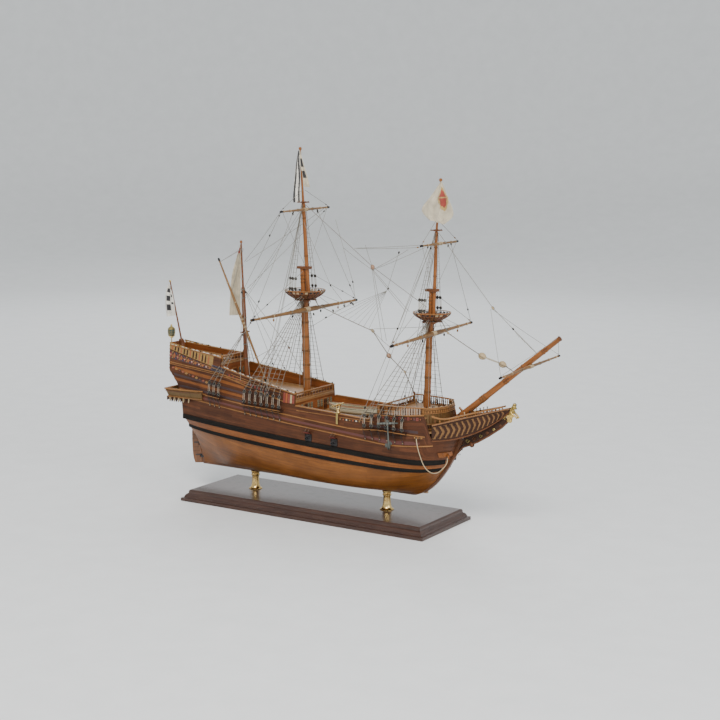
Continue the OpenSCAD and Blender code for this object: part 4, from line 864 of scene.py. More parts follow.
for bands.mirror in (False, True):
    # yellow poop bulwark, with a row of carved scallops above the purple band
    band(-278, -182, lambda x: poop_band_z(x) + 0.8, lambda x: poop_rail_z(x) - 0.6, "yellow")
    band(-276, -184, lambda x: tan_band_z(x) + 2.4, lambda x: poop_band_z(x) - 0.7, "purple")
    band(-184, -158, lambda x: tan_band_z(x) + 2.4, lambda x: max(q_rail_z(x) - 1.0, tan_band_z(x) + 6),
         "blue")
    x = -273.0
    k = 0
    while x < -186:
        lo, hi = tan_band_z(x) + 2.9, poop_band_z(x) - 1.2
        m, h = (lo + hi) / 2, (hi - lo) / 2
        if h > 1.4:
            patch([(x - 3.0, m), (x, lo + 0.4), (x + 3.0, m), (x, hi - 0.4)], "rust" if k % 2 else "red")
            patch([(x - 1.2, m), (x, m - 1.1), (x + 1.2, m), (x, m + 1.1)], "yellow" if k % 2 else "white",
                  0.26)
            patch([(x + 2.6, hi - 0.2), (x + 3.9, m + 0.7), (x + 5.2, hi - 0.2)],
                  "blue" if k % 2 else "yellow")
            patch([(x + 2.6, lo + 0.2), (x + 5.2, lo + 0.2), (x + 3.9, m - 0.7)],
                  "blue" if k % 2 else "yellow")
        x += 7.8
        k += 1
    x, k = -271.0, 0
    while x < -186:
        lo, hi = poop_band_z(x) + 1.6, poop_rail_z(x) - 1.4
        if hi - lo > 4:
            w = 1.5
            patch([(x - w, lo), (x + w, lo), (x + w, mix(lo, hi, 0.62)), (x + 0.6, hi - 0.8),
                   (x - 0.6, hi - 0.8),
                   (x - w, mix(lo, hi, 0.62))], "dark" if k % 3 else "rust", 0.1)
        x += 6.6
        k += 1
    for i in range(9):
        x = -181 + i * 2.9
        lo, hi = tan_band_z(x) + 2.9, max(q_rail_z(x) - 1.6, tan_band_z(x) + 5.6)
        m = (lo + hi) / 2
        patch([(x - 1.1, lo), (x + 1.1, lo), (x + 1.1, hi), (x - 1.1, hi)], "void" if i % 2 else "purple")
        patch([(x - 0.6, m - 0.7), (x + 0.6, m - 0.7), (x + 0.6, m + 0.7), (x - 0.6, m + 0.7)],
              "cream" if i % 2 else "blue", 0.26)
    # red and yellow diamonds below the double moulding
    x, k = -265.0, 0
    while x < -178:
        m = mix(200.5, 183.5, (x + 265) / 79)
        patch([(x - 3.4, m), (x, m - 2.0), (x + 3.4, m), (x, m + 2.0)], ("red", "yellow", "void")[k % 3])
        patch([(x - 1.2, m), (x, m - 0.8), (x + 1.2, m), (x, m + 0.8)], ("yellow", "red", "rust")[k % 3],
              0.26)
        x += 7.4
        k += 1
    # strakes alternating orange and purple-brown between the mouldings aft
    for t0, t1, mat in ((0.12, 0.26, "strake"), (0.42, 0.52, "purple"), (0.6, 0.72, "strake"),
                        (0.86, 0.97, "purple")):
        band(-262, -110, lambda x, t=t0: mix(tan_band_z(x) - 3.2, rail_z(x) + 1.2, t),
             lambda x, t=t1: mix(tan_band_z(x) - 3.2, rail_z(x) + 1.2, t), mat, 30, 0.05)
    # dark carved work under the poop bulwark's fore end
    for k in range(7):
        x = -184 + 3.8 * k
        lo, hi = q_rail_z(x) - 12.5, q_rail_z(x) - 4.0
        if lo > tan_band_z(x) + 2:
            patch([(x, lo), (x + 2.6, lo), (x + 2.6, hi), (x, hi)], ("void", "yellow")[k % 2], 0.2)
    # dark purple row along the fore side
    band(124, 196, lambda x: rail_z(x) + 3.4, lambda x: rail_z(x) + 7.2, "purple", 14, 0.05)
    band(136, 198, lambda x: low_rail_z(x) + 2.0, lambda x: low_rail_z(x) + 6.0, "red_dark", 14, 0.05)
    band(-226, 190, lambda x: low_rail_z(x) + 4.0, lambda x: low_rail_z(x) + 7.2, "red_dark", 50, 0.04)
    # red panels by the quarterdeck shrouds and at the waist break
    for x0, x1, lo, hi in ((-150, -112, 6.0, 10.6), (-104, -60, 2.0, 7.0)):
        x = x0
        while x < x1:
            zb = q_band_z(x) + 0.5
            patch([(x, zb), (x + 3.2, zb - 0.7), (x + 3.2, zb + 3.4), (x, zb + 4.1)],
                  "red" if (x % 8) > 4 else "purple")
            x += 4.1
    x = -34.0
    for k in range(5):
        zt = mix(170.9, 171.2, k / 4)
        hi = q_rail_z(x) - 2.0
        patch([(x, zt), (x + 3.6, zt), (x + 3.6, hi - 0.4), (x, hi)],
              ("red", "rust", "red", "cream", "red")[k])
        x += 4.3
    # fore part: a purple and red row under the forecastle rail, and a row of small diamonds and dark panels
    # along the waist
    x, k = 124.0, 0
    while x < 200:
        patch([(x, 166.4), (x + 3.4, 166.4), (x + 3.4, 170.8), (x, 170.8)], ("purple", "red", "dark")[k % 3])
        patch([(x + 1.1, 167.5), (x + 2.3, 167.5), (x + 2.3, 169.7), (x + 1.1, 169.7)],
              ("red", "purple", "rust")[k % 3], 0.26)
        x += 4.3
        k += 1
    x, k = 70.0, 0
    while x < 112:
        patch([(x - 1.5, 157.4), (x, 156.0), (x + 1.5, 157.4), (x, 158.8)],
              ("yellow", "rust", "white")[k % 3])
        patch([(x + 2.2, 156.3), (x + 3.6, 156.3), (x + 3.6, 158.5), (x + 2.2, 158.5)], "void")
        x += 5.6
        k += 1
    # orange hawse board by the stem
    for k in range(3):
        x0, x1 = 218 + 3.8 * k, 221.7 + 3.8 * k
        patch([(x0, 112), (x1, 112), (x1, 120), (x0, 120)], "strake", 0.9, thick=0.5)
bands.finish("painted_bulwark")

# ------------------------------------------------------------------ cap rails
CAP = [(-2.5, 0.1), (0.9, 0.1), (1.0, 0.5), (0.9, 1.5), (0.6, 1.7), (-2.2, 1.7), (-2.5, 1.45)]
caps = Piece("capping_rails", stands_for=["cap_rails"])
for caps.mirror in (False, True):
    caps.strip(span(nom_u(Q_FWD) + 0.004, nom_u(203), 50), lambda u: side_top(nom_x(u)), CAP, M["trim"])
    caps.strip(span(nom_u(POOP_FWD) + 0.012, nom_u(Q_FWD), 24), lambda u: q_rail_z(nom_x(u)), CAP, M["trim"])
    caps.strip(span(0.004, nom_u(POOP_FWD), 20), lambda u: poop_rail_z(nom_x(u)), CAP, M["trim"])
caps.finish()

# White and black pieces along the tops of the high rails.
crest = Piece("rail_crest_pieces")


def crest_row(x0, x1, step, zf, h=2.0):
    x, k = x0, 0
    while x < x1:
        u0, u1 = nom_u(x), nom_u(x + step * 0.62)
        z0 = zf(nom_x(u0))
        a, b = side_off(u0, z0, -0.9), side_off(u1, zf(nom_x(u1)), -0.9)
        lift = vec(0, 0, 1.7 + h / 2)
        if k % 3 == 2:
            crest.block((a + b) / 2 + lift, ((b - a).length * 0.4, 1.5, h * 1.25), M["ebony"], chamfer=0.25)
        else:
            crest.bar(a + lift - vec(0, 0, 0.35), b + lift - vec(0, 0, 0.35), 1.7, h * 0.65, M["white"],
                      chamfer=0.3)
        x += step
        k += 1


for crest.mirror in (False, True):
    crest_row(-237, -172, 4.8, poop_rail_z, 1.5)
    crest_row(-158, -18, 5.6, q_rail_z, 1.4)
crest.finish("trim_wood")

# ------------------------------------------------------------------ stand
STAND_L, STAND_W, STAND_H, PANEL_INSET = 435, 144, 17, 11.2
PEDESTAL_XS = (-125.5, 115.5)
stand = Piece("stepped_stand", stands_for=["stand_plinth"], sharp=30)
STEP = [(0, 0), (0, 4.5), (0.35, 4.9), (1.6, 5.0), (3.4, 5.1), (3.7, 5.3), (3.9, 6.4), (4.5, 8.0),
        (5.4, 9.4), (6.6, 10.5), (7.6, 11.2), (8.4, 11.5), (8.7, 11.8), (8.8, 13.4), (9.0, 14.8),
        (9.5, 15.9), (10.3, 16.7), (11.2, 17.0)]
for ax, ay, la, lb in ((X, Y, STAND_L, STAND_W), (Y, -X, STAND_W, STAND_L), (-X, -Y, STAND_L, STAND_W),
                       (-Y, X, STAND_W, STAND_L)):
    rows = []
    for inset, z in STEP:
        h, d = la / 2 - inset, lb / 2 - inset
        rows.append([ax * -h - ay * d + Z * z, ax * h - ay * d + Z * z])
    pts = [p for r in rows for p in r]
    faces, uvs, v = [], [], 0.0
    for i in range(len(rows) - 1):
        dv = (rows[i + 1][0] - rows[i][0]).length * 0.8
        faces.append([2 * i, 2 * i + 1, 2 * i + 3, 2 * i + 2])
        uvs.append([(rows[i][0].dot(ax), v), (rows[i][1].dot(ax), v), (rows[i + 1][1].dot(ax), v + dv),
                    (rows[i + 1][0].dot(ax), v + dv)])
        v += dv
    stand.add(pts, faces, M["stand"], uvs)
a, b = STAND_L / 2 - PANEL_INSET, STAND_W / 2 - PANEL_INSET
stand.add([(-a, -b, STAND_H), (a, -b, STAND_H), (a, b, STAND_H), (-a, b, STAND_H)], [[0, 1, 2, 3]],
          M["stand"])
a, b = STAND_L / 2, STAND_W / 2
stand.add([(-a, -b, 0), (a, -b, 0), (a, b, 0), (-a, b, 0)], [[3, 2, 1, 0]], M["stand"])
stand.finish()

pedestals = Piece("turned_pedestals", stands_for=["brass_pedestals"], sharp=40)
TURNED = [(1.6, 0), (10.2, 0), (10.5, 0.3), (10.5, 1.0), (10.2, 1.3), (9.6, 1.5), (8.9, 1.9), (8.2, 2.6),
          (7.5, 3.6), (6.9, 4.8), (6.4, 6.4), (6.0, 8.4), (5.7, 10.8), (5.5, 13.6), (5.4, 16.8),
          (5.4, 20.2), (5.5, 20.9), (6.1, 21.3), (6.6, 21.9), (6.75, 22.7), (6.6, 23.5), (6.1, 24.1),
          (5.65, 24.5), (5.6, 25.1), (6.0, 25.6), (6.7, 26.2), (7.0, 26.9), (7.0, 28.3), (6.8, 28.5),
          (1.6, 28.5)]
for x in PEDESTAL_XS:
    pedestals.lathe((x, 0, STAND_H), Z, TURNED, M["brass"], 56, caps=False)
pedestals.finish()

# ------------------------------------------------------------------ stern
stern = Piece("stern_face", stands_for=["stern_transom"], sharp=40)


def transom_pt(y, z, d=0.0):
    """A point on the stern's flat face; d outwards."""
    return vec(stern_x(z) + 0.2 - d, y, z)


zs = [114, 118, 122, 126, 130, 135, 140, 145, 150, 155, 163, 170, 176, 181, 186, 191, 196, 203, 210, 218,
      225, 232, 238.5]
front, rear = [], []
for z in zs:
    h = half_b(0, z) - PLANK - 0.3
    front.append([transom_pt(h * (1 - 2 * k / 8), z) for k in range(9)])
    rear.append([transom_pt(h * (1 - 2 * k / 8), z, -2.0) for k in range(8, -1, -1)])
stern.loft(front, M["hull_high"], closed=False, vs=[8 * k for k in range(9)])
stern.loft(rear, M["inner"], closed=False, vs=[8 * k for k in range(9)])
top = front[-1] + rear[-1]
stern.add(top, [list(range(len(top)))], M["hull_high"])
tuck = []                              # flat planked tuck between the transom and the keel
for z in (50.5, 53, 57, 62, 70, 78, 85, 92, 99, 106, 110, 114):
    h = max(half_b(0, z) - PLANK - 0.3, 0.5)
    tuck.append([transom_pt(h * (1 - 2 * k / 8), z) for k in range(9)]
                + [transom_pt(h * (1 - 2 * k / 8), z, -1.6) for k in range(8, -1, -1)])
stern.loft(tuck, M["hull_low"])


def stern_plate(y0, y1, z0, z1, mat, d0=0.0, d1=0.5, n=1):
    """A plate on the stern face, split in n rows so that it follows the curve."""
    for k in range(n):
        a, b = mix(z0, z1, k / n), mix(z0, z1, (k + 1) / n)
        lo, hi = transom_pt(0, a, (d0 + d1) / 2), transom_pt(0, b, (d0 + d1) / 2)
        t = (hi - lo).normalized()
        stern.block((lo + hi) / 2 + Y * (y0 + y1) / 2, (abs(y1 - y0), (hi - lo).length, d1 - d0), M[mat],
                    (Y, t, Y.cross(t)), 0.12)


def stern_rail(z, half, mat="trim", h=1.6, d=1.0):
    stern_plate(-half, half, z - h / 2, z + h / 2, mat, 0, d)


for z, mat, h in ((130, "black", 6), (143.5, "trim", 1.5), (151, "trim", 1.4), (178.5, "trim", 1.6),
                  (197, "trim", 2.0), (210, "trim", 1.2), (226.5, "trim", 1.8), (237.3, "trim", 2.0)):
    stern_rail(z, half_b(0, z) - 2.4, mat, h, 1.1 if mat == "trim" else 1.3)
for y in (-22, -11, 0, 11, 22):      # windows of the great cabin over the gallery
    stern_plate(y - 4, y + 4, 160.5, 174.5, "trim", 0, 0.7, 3)
    stern_plate(y - 3.1, y + 3.1, 161.5, 173.5, "pane", 0.5, 0.8, 3)
    stern_plate(y - 0.25, y + 0.25, 161.5, 173.5, "cream", 0.7, 1.0, 3)
    for z in (164.5, 167.5, 170.5):
        stern_plate(y - 3.1, y + 3.1, z - 0.22, z + 0.22, "cream", 0.7, 1.0)
for y in (-16.5, -5.5, 5.5, 16.5):   # carved pilasters between them
    stern_plate(y - 1, y + 1, 160.5, 176, "yellow", 0, 1.1, 3)
for k, y in enumerate((-15, -7.5, 0, 7.5, 15)):
    stern_plate(y - 2.6, y + 2.6, 181, 194, ("red", "yellow", "purple", "yellow", "red")[k], 0, 0.5, 4)
    stern_plate(y - 1.3, y + 1.3, 184, 191, ("yellow", "rust", "yellow", "rust", "yellow")[k], 0.4, 0.8, 3)
for k in range(7):
    y = -16.5 + 5.5 * k
    stern_plate(y - 1.9, y + 1.9, 199.5, 208.6, ("purple", "yellow")[k % 2], 0, 0.5)
    stern_plate(y - 0.8, y + 0.8, 202, 206.2, ("white", "red")[k % 2], 0.4, 0.75)
for y in (-9, 9):                    # two lights in the upper stern
    stern_plate(y - 4.2, y + 4.2, 212.5, 224.5, "trim", 0, 0.7)
    stern_plate(y - 3.2, y + 3.2, 213.6, 223.4, "pane", 0.5, 0.85)
    stern_plate(y - 0.25, y + 0.25, 213.6, 223.4, "cream", 0.8, 1.1)
    stern_plate(y - 3.2, y + 3.2, 218.2, 218.7, "cream", 0.8, 1.1)
for k in range(9):
    y = -14 + 3.5 * k
    stern_plate(y - 1.1, y + 1.1, 228.6, 235.4, ("yellow", "rust", "dark")[k % 3], 0, 0.5)
for s in (-1, 1):                    # carved quarter pieces up each edge
    for k in range(12):
        z = 180 + 4.8 * k
        stern.ball(transom_pt(s * (half_b(0, z) - 3.0), z, 0.6), 1.25, M["yellow" if k % 2 else "rust"], 10,
                   1.3)
stern.finish()

# ------------------------------------------------------------------ stern gallery
gallery = Piece("open_stern_gallery", stands_for=["stern_gallery"], sharp=35)
G_FWD = -196.0


def gallery_path(d):
    return [(G_FWD, -half_at(G_FWD, 160) - 0.4), (-235, -42 - d), (-262 - d, -42 - d), (-262 - d, 42 + d),
            (-235, 42 + d), (G_FWD, half_at(G_FWD, 160) + 0.4)]


def path_points(d, step=4.0):
    """Points along the gallery's outer line, with the direction at each."""
    pts, out = [vec(*p, 0) for p in gallery_path(d)], []
    for a, b in zip(pts, pts[1:]):
        n = max(1, round((b - a).length / step))
        out += [(a.lerp(b, (k + 0.5) / n), (b - a).normalized()) for k in range(n)]
    return out


def gallery_band(d0, d1, z0, z1, mat):
    a, b = gallery_path(d0), gallery_path(d1)
    rings = []
    for k in range(6):
        rings.append([vec(*a[k], z0), vec(*b[k], z0), vec(*b[k], z1), vec(*a[k], z1)])
    fine = [rings[0]]
    for r0, r1 in zip(rings, rings[1:]):
        n = 6
        fine += [[p.lerp(q, k / n) for p, q in zip(r0, r1)] for k in range(1, n + 1)]
    gallery.loft([r[::-1] for r in fine], mat)


floor_out = [(-197, -half_at(-197, 156) - 0.6), (-235, -43), (-263, -43), (-263, 43), (-235, 43),
             (-197, half_at(-197, 156) + 0.6), (-235, half_at(-235, 156) + 0.6),
             (-245.6, 33.5), (-245.6, -33.5), (-235, -half_at(-235, 156) - 0.6)]
for side_y in (1, -1):
    gallery.mirror = side_y < 0
    half_floor = [floor_out[5], floor_out[4], (-263, 43), (-263, 0), (-245.6, 0), floor_out[7], floor_out[6]]
    gallery.prism(half_floor, (0, 0, 156.8), X, Y, 1.6, M["brown"])
gallery.mirror = False


def gallery_wall(d0, d1, z0, z1, t, mat):
    """A wall flaring from d0 at the floor to d1 at the top, t thick."""
    rings = []
    lo, hi, lo2, hi2 = gallery_path(d0), gallery_path(d1), gallery_path(d0 + t), gallery_path(d1 + t)
    for k in range(6):
        e = -1 if k == 0 else 1 if k == 5 else 0
        rings.append([vec(lo2[k][0], lo2[k][1] + e * (t + 0.3), z0),
                      vec(hi2[k][0], hi2[k][1] + e * (t + 2), z1),
                      vec(hi[k][0], hi[k][1] + e * 2, z1), vec(lo[k][0], lo[k][1] + e * 0.3, z0)])
    fine = [rings[0]]
    for r0, r1 in zip(rings, rings[1:]):
        fine += [[p.lerp(q, k / 8) for p, q in zip(r0, r1)] for k in range(1, 9)]
    gallery.loft(fine, mat)


gallery_wall(-0.6, 3.2, 157.2, 168.4, 1.0, M["olive"])
gallery_wall(0.2, 0.8, 156.2, 158.2, 1.3, M["trim"])
gallery_wall(2.4, 3.4, 165.6, 167.2, 1.3, M["brown"])
gallery_band(2.6, 5.4, 168.8, 171.0, M["trim"])
for k, (p, t) in enumerate(path_points(0.0, 3.5)):
    n = vec(t.y, -t.x, 0)
    if abs(p.x) < 206 or abs(p.y) < half_at(p.x, 160) + 0.9:
        continue
    gallery.bar(p + n * 0.9 + Z * 158, p + n * 4.2 + Z * 166, 0.9 if k % 2 else 0.6, 0.7,
                M["brown" if k % 2 else "dark"], up=n)
for k, (p, t) in enumerate(path_points(-1.6, 4.6)):
    n = vec(t.y, -t.x, 0)
    reach = 9.0 if abs(t.y) > 0.5 else min(7.5, abs(p.y) - half_at(p.x, 152) - 0.4)
    if reach < 1.5 or p.x > -202:
        continue
    c = p - n * (reach / 2) + Z * 152.9
    out = [(-reach / 2, -3.2), (-reach / 2, 3.2), (reach / 2, 3.2), (reach / 2, 1.6), (reach * 0.2, 0.2),
           (-reach * 0.1, -1.6)]
    gallery.prism(out, c, n, Z, 1.7, M["cream" if k % 2 else "dark"], grain=n)
    if k % 2:
        gallery.ball(p + Z * 155.2 + n * 0.4, 0.8, M["cream"], 8)
gallery.finish()

# ------------------------------------------------------------------ stern lantern and ensign staff
lantern = Piece("stern_lamp", stands_for=["stern_lantern"], sharp=30)
LC = vec(-290, 0, 0)
lantern.lathe(LC + Z * 243, Z, [(0.4, 0), (2.2, 0), (3.0, 0.6), (3.3, 1.4), (4.4, 2.2), (5.1, 2.8),
                                (5.2, 3.3), (4.9, 3.6)],
              M["brass"], 24)
lantern.lathe(LC + Z * 246.4, Z, [(4.5, 0), (4.9, 2), (5.35, 5), (5.5, 7.5), (5.3, 9.6), (4.9, 10.6)],
              M["pane"], 24)
lantern.lathe(LC + Z * 256.4, Z, [(5.6, 0), (6.0, 0.4), (6.0, 1.0), (5.2, 1.8), (4.2, 3.2), (2.6, 4.2),
                                  (1.7, 5.0),
                                  (1.4, 6.0), (1.7, 6.6), (1.3, 7.4), (0.5, 8.6), (0.05, 8.7)],
                                  M["old_brass"], 24)
for k in range(8):
    a = 2 * math.pi * k / 8
    line = [LC + vec(r * math.cos(a), r * math.sin(a), z)
            for r, z in ((4.9, 246), (5.15, 248.4), (5.6, 251.4), (5.75, 253.9), (5.5, 256), (5.2, 257))]
    lantern.tube(line, 0.36, M["old_brass"], 6)
for z, r in ((249.6, 5.5), (253, 5.8)):
    lantern.tube([LC + vec(r * math.cos(a), r * math.sin(a), z) for a in span(0, 2 * math.pi, 24)], 0.28,
                 M["old_brass"], 6, caps=False)
lantern.rod((-290, 0, 233), (-290, 0, 243.4), 0.9, M["old_brass"])
lantern.tube(smooth_line([(-290, 0, 233.6), (-287, 0, 232.2), (-282.4, 0, 231.2)], 4), 0.9, M["old_brass"],
             10)
lantern.finish()

staff = Piece("flag_staff", stands_for=["ensign_staff"])
staff.rod((-267, 0, 229), (-291, 0, 334), 1.5, M["mizzen"], 1.0)
staff.ball((-291, 0, 334), 1.8, M["gilt"], 16)
staff.lathe((-267.4, 0, 227.6), vec(-3.2, 0, 15.4),
            [(4.2, 0), (4.2, 2.6), (4.0, 3), (3.9, 12.6), (4.1, 13), (3.4, 15.6),
                                                    (1.6, 15.8)], M["brown"], 20)
staff.finish()

# ------------------------------------------------------------------ bulkheads and balustrades
inside = Piece("deck_fronts", stands_for=["deck_bulkheads"])


def bulkhead(x, z0, z1, top_half, low_half, mat):
    inside.prism([(-low_half, z0), (low_half, z0), (top_half, z1), (-top_half, z1)], (x + 1, 0, 0), Y, Z, 2,
                 M[mat], grain=Y)


def door(x, y, z, w, h, face=1):
    d = 1.4 * face
    inside.block((x + d * 0.7, y, z + h / 2), (1.0, w + 2, h + 1.2), M["trim"], chamfer=0.2, grain=Z)
    inside.block((x + d * 1.0, y, z + h / 2 - 0.2), (0.8, w, h - 0.4), M["brown"], chamfer=0.2, grain=Z)
    for k in (-1, 1):
        inside.block((x + d * 1.35, y + k * w / 4, z + h * 0.3), (0.5, w * 0.32, h * 0.34), M["dark"],
                     chamfer=0.2)
        inside.block((x + d * 1.35, y + k * w / 4, z + h * 0.74), (0.5, w * 0.32, h * 0.3), M["dark"],
                     chamfer=0.2)
    inside.ball((x + d * 1.7, y + w * 0.36, z + h * 0.52), 0.4, M["brass"], 8)


bulkhead(-15, 150.6, 173.7, 52, 54, "inner")
for y in (-26, 26):
    door(-13, y, 151, 9, 17)
for y in (-43, -34.5, -17.5, -9, 9, 17.5, 34.5, 43):
    inside.block((-12.7, y, 162), (0.8, 6.4, 12), M["trim"], chamfer=0.2)
    inside.block((-12.4, y, 162), (0.8, 5.2, 10.6), M["pane"], chamfer=0.1)
    for z in (158.5, 162, 165.5):
        inside.block((-11.9, y, z), (0.4, 5.2, 0.4), M["cream"], chamfer=0.05)
    inside.block((-11.9, y, 162), (0.4, 0.4, 10.6), M["cream"], chamfer=0.05)
inside.block((-12.4, 0, 172.4), (1.6, 103, 1.8), M["trim"], chamfer=0.25)
bulkhead(-167, q_deck_z(-166) + 0.2, poop_deck_z(-166) - 2.5, 32, 37, "inner")
door(-165, 0, 187, 9, 18)
for y in (-24, -14, 14, 24):
    inside.block((-164.6, y, 200), (0.8, 6, 10), M["trim"], chamfer=0.2)
    inside.block((-164.2, y, 200), (0.8, 4.8, 8.8), M["pane"], chamfer=0.1)
    inside.block((-163.7, y, 200), (0.4, 0.4, 8.8), M["cream"], chamfer=0.05)
    inside.block((-163.7, y, 200), (0.4, 4.8, 0.4), M["cream"], chamfer=0.05)
bulkhead(131, 150.6, 168.7, 53.5, 54.5, "inner")
for y in (-26, 26):
    door(131, y, 151, 9, 15, -1)
for y in (-42, -11, 11, 42):
    inside.block((130.5, y, 160), (0.8, 6, 8), M["trim"], chamfer=0.2)
    inside.block((130.2, y, 160), (0.8, 4.8, 6.8), M["pane"], chamfer=0.1)
inside.finish()

fence = Piece("balustrades", stands_for=["deck_balustrades"], sharp=35)
BALUSTER = [(0.75, 0), (0.75, 0.5), (0.4, 0.8), (0.62, 1.9), (0.72, 2.6), (0.4, 4.6), (0.62, 5.4),
            (0.35, 5.8)]


def balustrade(x, z, half, h, arches):
    """Rails with turned balusters and little round arches between them."""
    fence.block((x, 0, z + h - 0.8), (2.5, 2 * half, 1.6), M["trim"], chamfer=0.35)
    fence.block((x, 0, z + 0.7), (2.1, 2 * half, 1.3), M["trim"], chamfer=0.25)
    k = (h - 3.0) / 5.8
    step = 2 * half / arches
    for i in range(arches + 1):
        y = -half + 0.8 + i * (2 * half - 1.6) / arches
        fence.lathe((x, y, z + 1.4), Z, [(r, q * k) for r, q in BALUSTER], M["brown" if i % 2 else "trim"],
                    10)
        if i < arches:
            c = y + step / 2
            arc = [(c + step * 0.42 * math.cos(a), z + h - 2.9 + step * 0.34 * math.sin(a))
                   for a in span(math.pi, 0, 6)]
            fence.tube([(x, yy, zz) for yy, zz in arc], 0.42, M["trim"], 6)
            fence.block((x - 0.5, c, z + 2.1 + 1.6), (0.5, step * 0.7, 3.2), M["dark"], chamfer=0.1)
    for s in (-1, 1):
        fence.block((x, s * (half - 0.4), z + h / 2 + 0.6), (3, 2.2, h + 1.2), M["trim"], chamfer=0.3,
                    grain=Z)
        fence.ball((x, s * (half - 0.4), z + h + 2.0), 1.2, M["ebony"], 10)


balustrade(Q_FWD - 2, q_deck_z(Q_FWD) + 0.3, 50, 10, 26)
balustrade(POOP_FWD - 1, poop_deck_z(POOP_FWD) + 0.3, 28, 11, 14)
balustrade(FCS_AFT + 2, FCS_Z + 0.1, 51, 12, 26)


def bow_arc(r, n=12):
    return [(FCS_FWD - 37 + r * math.cos(a), r * math.sin(a) * 1.02)
            for a in span(-math.radians(58), math.radians(58), n)]


arc_out, arc_in = bow_arc(50.6, 40), bow_arc(47.4, 40)
rings = [[vec(*o, 182.2), vec(*o, 183.6), vec(*mixp, 184.0), vec(*i, 183.6), vec(*i, 182.2)]
         for o, i, mixp in ((o, i, ((o[0] + i[0]) / 2, (o[1] + i[1]) / 2)) for o, i in zip(arc_out, arc_in))]
fence.loft(rings, M["trim"])
fence.finish()

head = Piece("beakhead_front", stands_for=["beakhead_bulkhead"], sharp=35)
o, i = bow_arc(50, 48), bow_arc(48, 48)
head.loft([[vec(*a, 150.8), vec(*a, 182), vec(*b, 182), vec(*b, 150.8)] for a, b in zip(o, i)], M["olive"])
for k in range(25):
    a = mix(-math.radians(57), math.radians(57), k / 24)
    c = vec(170 + 50.35 * math.cos(a), 50.35 * math.sin(a) * 1.02, 166)
    n = vec(math.cos(a), math.sin(a), 0)
    head.block(c, (0.7, 0.7, 30.4), M["brown"], (n, Z.cross(n), Z), 0.15)
for k in range(24):
    a = mix(-math.radians(57), math.radians(57), (k + 0.5) / 24)
    n = vec(math.cos(a), math.sin(a), 0)
    for z, h, m in ((178.2, 3.2, "trim"), (157.0, 4.5, "dark")):
        c = vec(170 + 50.2 * math.cos(a), 50.2 * math.sin(a) * 1.02, z)
        head.block(c, (0.7, 2.4, h), M[m], (n, Z.cross(n), Z), 0.2)
for z in (175.6, 181.2, 160.6, 153.2):
    head.tube([(170 + 50.5 * math.cos(a), 50.5 * math.sin(a) * 1.02, z)
               for a in span(-math.radians(58), math.radians(58), 40)],
              0.65, M["trim"], 8)
for k in range(20):
    a = mix(-math.radians(54), math.radians(54), k / 19)
    c = vec(170 + 49 * math.cos(a), 49 * math.sin(a) * 1.02, 184.2)
    if k % 2:
        head.ball(c + Z * 0.8, 0.85, M["ebony"], 8, 1.4)
    else:
        n = vec(math.cos(a), math.sin(a), 0)
        head.block(c + Z * 0.4, (1.4, 2.6, 1.2), M["cream"], (n, Z.cross(n), Z), 0.3)
head.finish()

# ------------------------------------------------------------------ forecastle rails
frail = Piece("forecastle_side_rails", stands_for=["forecastle_rails"], sharp=35)
for frail.mirror in (False, True):
    us = span(nom_u(FCS_AFT + 2), nom_u(FCS_FWD - 3), 24)
    frail.strip(us, lambda u: 184, [(-4.6, -0.9), (-2.3, -0.9), (-2.1, 0), (-2.3, 0.9), (-4.6, 0.9),
                                    (-4.8, 0)], M["trim"])
    for k, u in enumerate(span(nom_u(FCS_AFT + 4), nom_u(FCS_FWD - 5), 18)):
        p = side_off(u, 176, -3.4)
        z0 = side_top(p.x) + 1.7
        h = 184 - z0 - 0.8
        frail.lathe((p.x, p.y, z0), Z, [(r * 1.2, q * h / 5.8) for r, q in BALUSTER],
                    M["dark" if k % 3 else "trim"], 10)
frail.finish()


# ------------------------------------------------------------------ masts
def spar(p, a, b, r1, r2, mat="mast", n=20, parts=10, belly=0.0):
    """A turned spar from a to b, with a slight swell part way along."""
    a, b = vec(a), vec(b)
    prof = []
    for k in range(parts + 1):
        t = k / parts
        prof.append((mix(r1, r2, t) + belly * math.sin(math.pi * t), (b - a).length * t))
    ax = (b - a).normalized()
    e1, e2 = basis(ax)
    rings = [[a + ax * h + (e1 * math.cos(2 * math.pi * k / n) + e2 * math.sin(2 * math.pi * k / n)) * r
              for k in range(n)][::-1] for r, h in prof]
    p.loft(rings, M[mat])


def woolding(p, at, ax, r, turns=5, w=0.5, mat="lash"):
    """A lashing of a few turns of rope round a spar."""
    at, ax = vec(at), vec(ax).normalized()
    prof = []
    for k in range(turns):
        h = (k - turns / 2) * w * 1.7
        prof += [(r + 0.02, h), (r + 0.45, h + w * 0.35), (r + 0.55, h + w * 0.85), (r + 0.45, h + w * 1.35)]
    prof.append((r + 0.02, turns / 2 * w * 1.7))
    p.lathe(at, ax, prof, M[mat], 18, caps=False)


